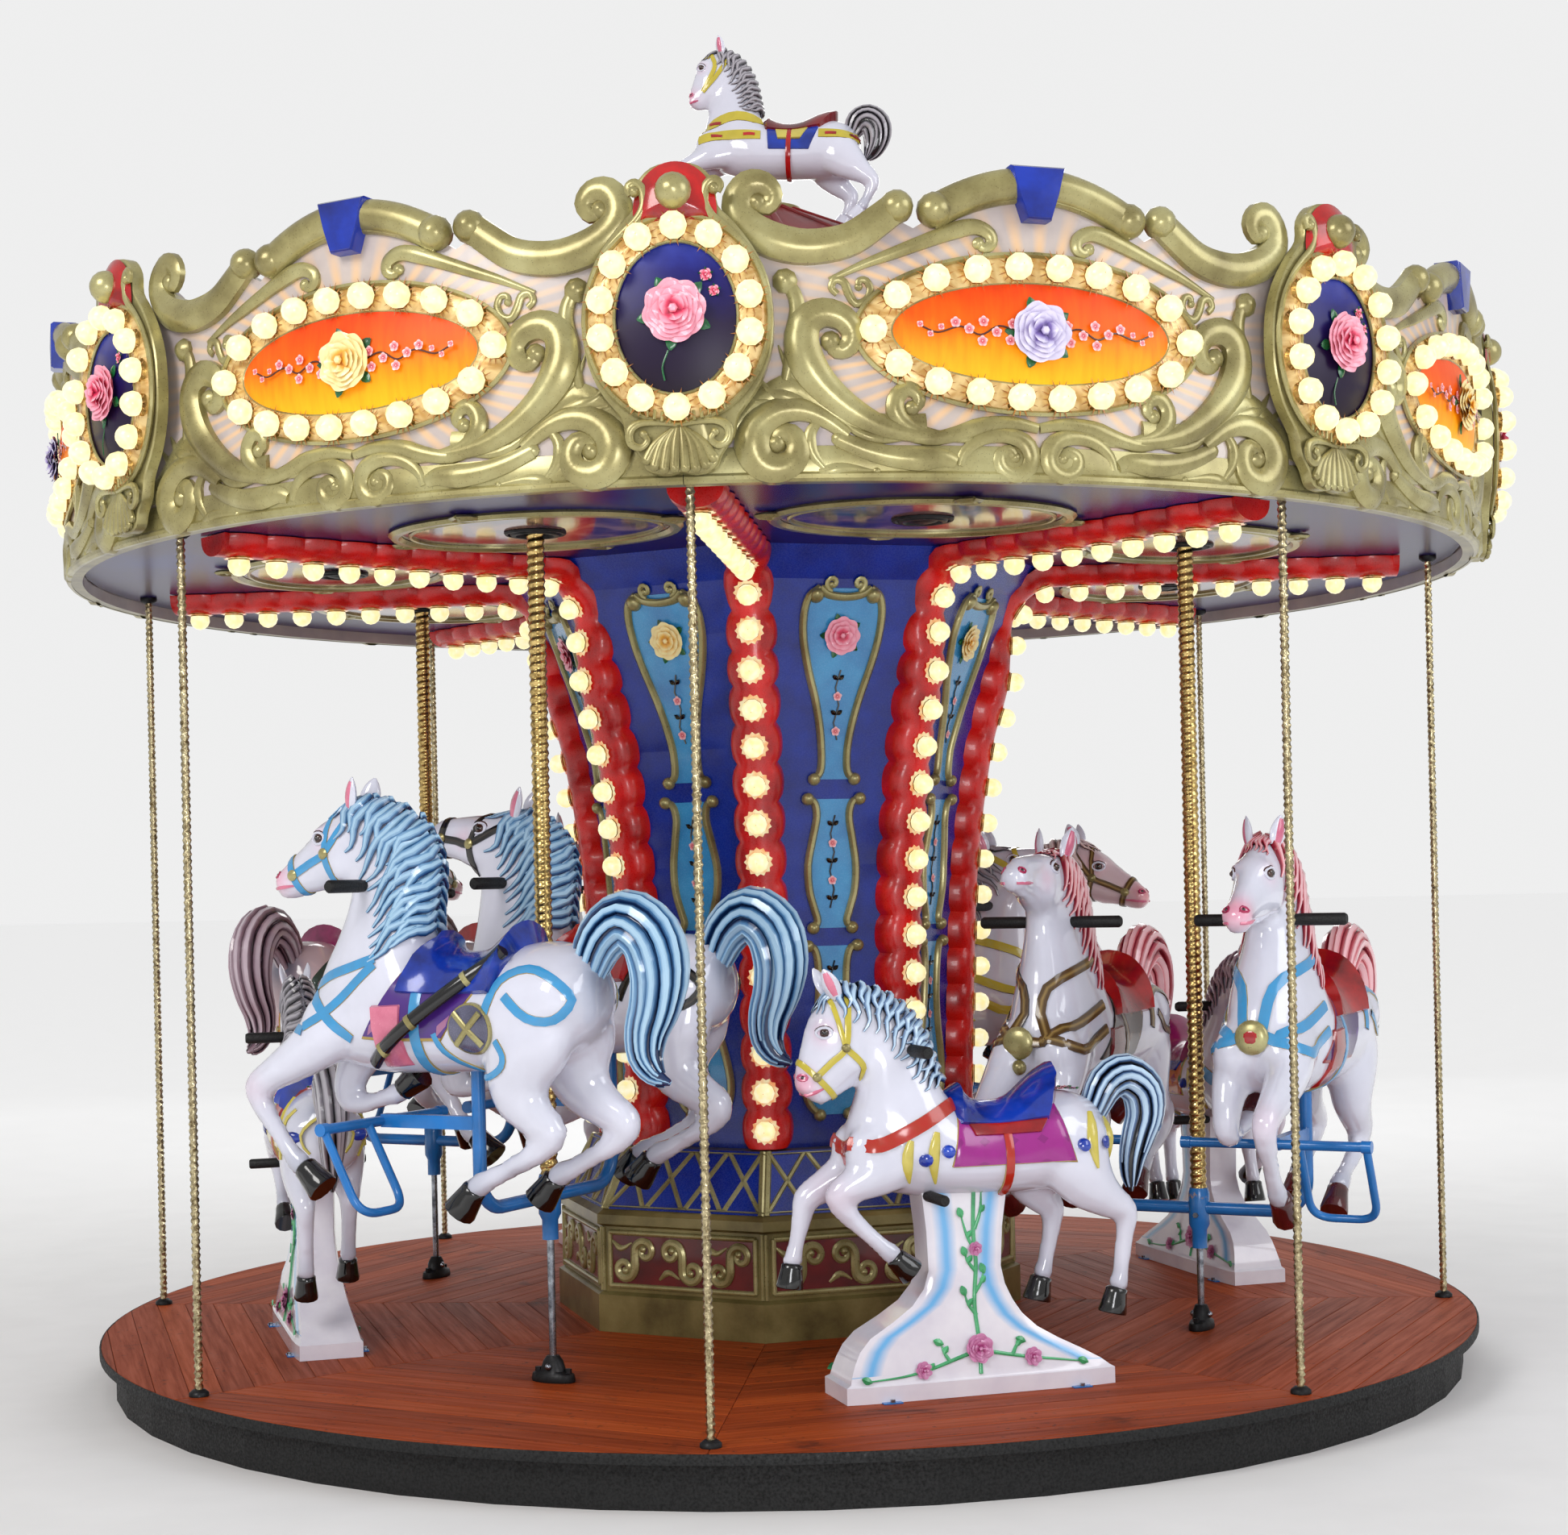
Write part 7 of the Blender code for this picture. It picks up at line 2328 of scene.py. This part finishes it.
def stand_shape():
    shape = Shape()
    for hand in (-1, 1):
        rows, uvs = [], []
        for height, rear, front, half in STAND:
            far = NO_TINT if height < 0.06 else 0.0
            row = []
            for index, ahead in enumerate(np.linspace(rear, front, STAND_STEPS)):
                rounded = STAND_ROUND * abs(2 * index / (STAND_STEPS - 1) - 1) ** 8
                row.append((-ahead, hand * (half - rounded), height))
                uvs.append((ahead - rear + far, front - ahead + far))
            rows.append(row)
        uvs = np.array(uvs).reshape(len(rows), STAND_STEPS, 2)[:, ::-hand].reshape(-1, 2)
        shape.grid(np.array(rows)[:, ::-hand], "stand", uvs=uvs)
    for end, sign in ((1, 1), (2, -1)):
        rows = []
        for ring in STAND:
            rows.append(
                [(-ring[end], sign * share * (ring[3] - STAND_ROUND), ring[0]) for share in (-1, -0.5, 0, 0.5, 1)]
            )
        shape.grid(rows, "stand", uvs=np.full((len(rows) * 5, 2), NO_TINT))
    for hand in (-1, 1):
        relief_shape = Shape()
        stem = smooth_path(
            [(-0.03, 0.06), (-0.032, 0.15), (-0.026, 0.25), (-0.036, 0.36), (-0.03, 0.46), (-0.034, 0.60)], 6
        )
        relief(relief_shape, stem, 0.006, 0.0, "vine", 6)
        twigs = [
            [(-0.03, 0.125), (0.04, 0.105), (0.12, 0.082), (0.20, 0.068), (0.30, 0.062)],
            [(-0.03, 0.125), (-0.10, 0.110), (-0.18, 0.095), (-0.27, 0.082), (-0.35, 0.070)],
            [(-0.036, 0.40), (-0.012, 0.44), (0.006, 0.50)],
            [(-0.034, 0.46), (-0.052, 0.51), (-0.056, 0.57)],
            [(-0.028, 0.28), (-0.050, 0.31), (-0.058, 0.34)],
            [(-0.03, 0.22), (-0.008, 0.25), (0.002, 0.28)],
            [(-0.035, 0.34), (-0.012, 0.37), (-0.004, 0.39)],
            [(0.06, 0.100), (0.075, 0.125), (0.082, 0.15)],
            [(-0.13, 0.105), (-0.145, 0.13), (-0.165, 0.14)],
        ]
        for twig in twigs:
            flat = smooth_path(twig, 4)
            relief(relief_shape, flat, taper(len(flat), 0.006, 0.005, 0.002), 0.0, "vine", 6)
            add_leaf(relief_shape, twig[-1], 1.2 if twig[-1][1] > 0.2 else 0.4, 0.032, 0.001, "vine")
            add_leaf(relief_shape, twig[len(twig) // 2], 2.2, 0.026, 0.001, "vine")
        for spot, size in (
            ((-0.03, 0.130), 0.042), ((0.14, 0.082), 0.025), ((-0.19, 0.096), 0.027), ((-0.034, 0.405), 0.021)
        ):
            flower(relief_shape, spot, size, "mauve", 0.001, 4, 7, leaves=False)
        heights, _, _, halves = zip(*STAND)

        def to_face(points, hand=hand):
            half = np.interp(points[:, 1], heights, halves)
            return np.stack([hand * points[:, 0], hand * (half + points[:, 2] + 0.001), points[:, 1]], 1)

        shape.merge(relief_shape.mapped(to_face))
    plate = ((-0.028, -0.022), (0.028, -0.022), (0.028, 0.022), (-0.028, 0.022))
    for ahead in (0.24, -0.33):
        for hand in (-1, 1):
            rows = [[(-ahead + x, hand * 0.105 + y, height) for x, y in plate] for height in (0.0004, 0.004)]
            shape.grid(rows, "tube", wrap=True, cap=True)
            shape.sweep([(-ahead, hand * 0.119, 0.003), (-ahead, hand * 0.119, 0.012)], 0.007, None, "steel", 6)
    foot_bar = [(-0.10, across, 0.560) for across in (-0.19, -0.185, -0.08, 0.08, 0.185, 0.19)]
    shape.sweep(foot_bar, [0.012, 0.016, 0.016, 0.016, 0.016, 0.012], None, "rubber", 12)
    return shape


# The horse on the roof: how far back and up it stands, its tilt in degrees and its scale
ROOF_HORSE_SPOT = (-0.015, 3.493)
ROOF_HORSE_TILT = 3
ROOF_HORSE_SCALE = 0.70


def small_horses():
    blush = [(0.455, 0.03, 0.885, 0.04, 0.7), (0.39, 0.04, 1.028, 0.035, 0.4), (0.372, 0.073, 0.578, 0.05, 0.25)]
    grey = [
        (0.22, 0.07, 0.41, 0.04, 0.4), (-0.47, 0.075, 0.28, 0.05, 0.4), (-0.30, 0.075, 0.30, 0.05, 0.4),
        (-0.45, 0.02, 0.77, 0.05, 0.6)
    ]
    figure = Figure("small", SMALL_POSE, 0.0140, 4, blush, grey)
    stand = stand_shape().mesh("stand", 40)
    skin = coated(figure, "coat")
    for index in range(4):
        spot = on_circle(SMALL_CIRCLE, (2 * index + 0.5) * BAY, DECK_TOP)
        node = f"small_horse_{index + 1}"
        trim = small_trim(figure, SMALL_STYLES[index]).mesh(node + "_trim", 50)
        for name, mesh in (("_body", skin), ("_trim", trim), ("_stand", stand)):
            piece(node + name, mesh, "turntable", (node,), spot)
    blush = [(0.385, 0.03, 0.94, 0.04, 0.6), (0.33, 0.04, 1.085, 0.03, 0.3)]
    grey = [(-0.50, 0.075, 0.42, 0.05, 0.4), (0.58, 0.07, 0.49, 0.04, 0.3), (-0.45, 0.02, 0.77, 0.05, 0.6)]
    figure = Figure("roof_horse", ROOF_POSE, 0.0160, 4, blush, grey)
    skin = coated(figure, "coat")
    trim = roof_trim(figure).mesh("roof_horse_trim", 50)
    spot = Matrix.Translation((ROOF_HORSE_SPOT[0], 0, DECK_TOP + ROOF_HORSE_SPOT[1]))
    spot = spot @ Matrix.Rotation(radians(ROOF_HORSE_TILT), 4, "Y") @ Matrix.Scale(ROOF_HORSE_SCALE, 4)
    for name, mesh in (("_body", skin), ("_trim", trim)):
        piece("roof_horse" + name, mesh, "turntable", ("roof_horse",), spot)
    post = Shape()
    foot, belly = DECK_TOP + ROOF_CAP[1] + 0.0005, DECK_TOP + ROOF_HORSE_SPOT[1] + 0.60 * ROOF_HORSE_SCALE
    post.sweep([(0, 0, foot), (0, 0, belly)], 0.026, None, "brass", 14)
    post.sweep([(0, 0, foot), (0, 0, foot + 0.012)], 0.045, None, "brass", 18)
    piece("roof_horse_post", post.mesh("roof_horse_post"), "turntable", ("roof_horse",))


def main():
    makers = (canopy, roof, ceiling, light_ribs, column, pedestal, deck, rim_poles, guide_rods, lifting_frames, jumpers)
    for make in (*makers, small_horses, studio, camera):
        make()


main()
bpy.context.scene.view_settings.view_transform = "Standard"
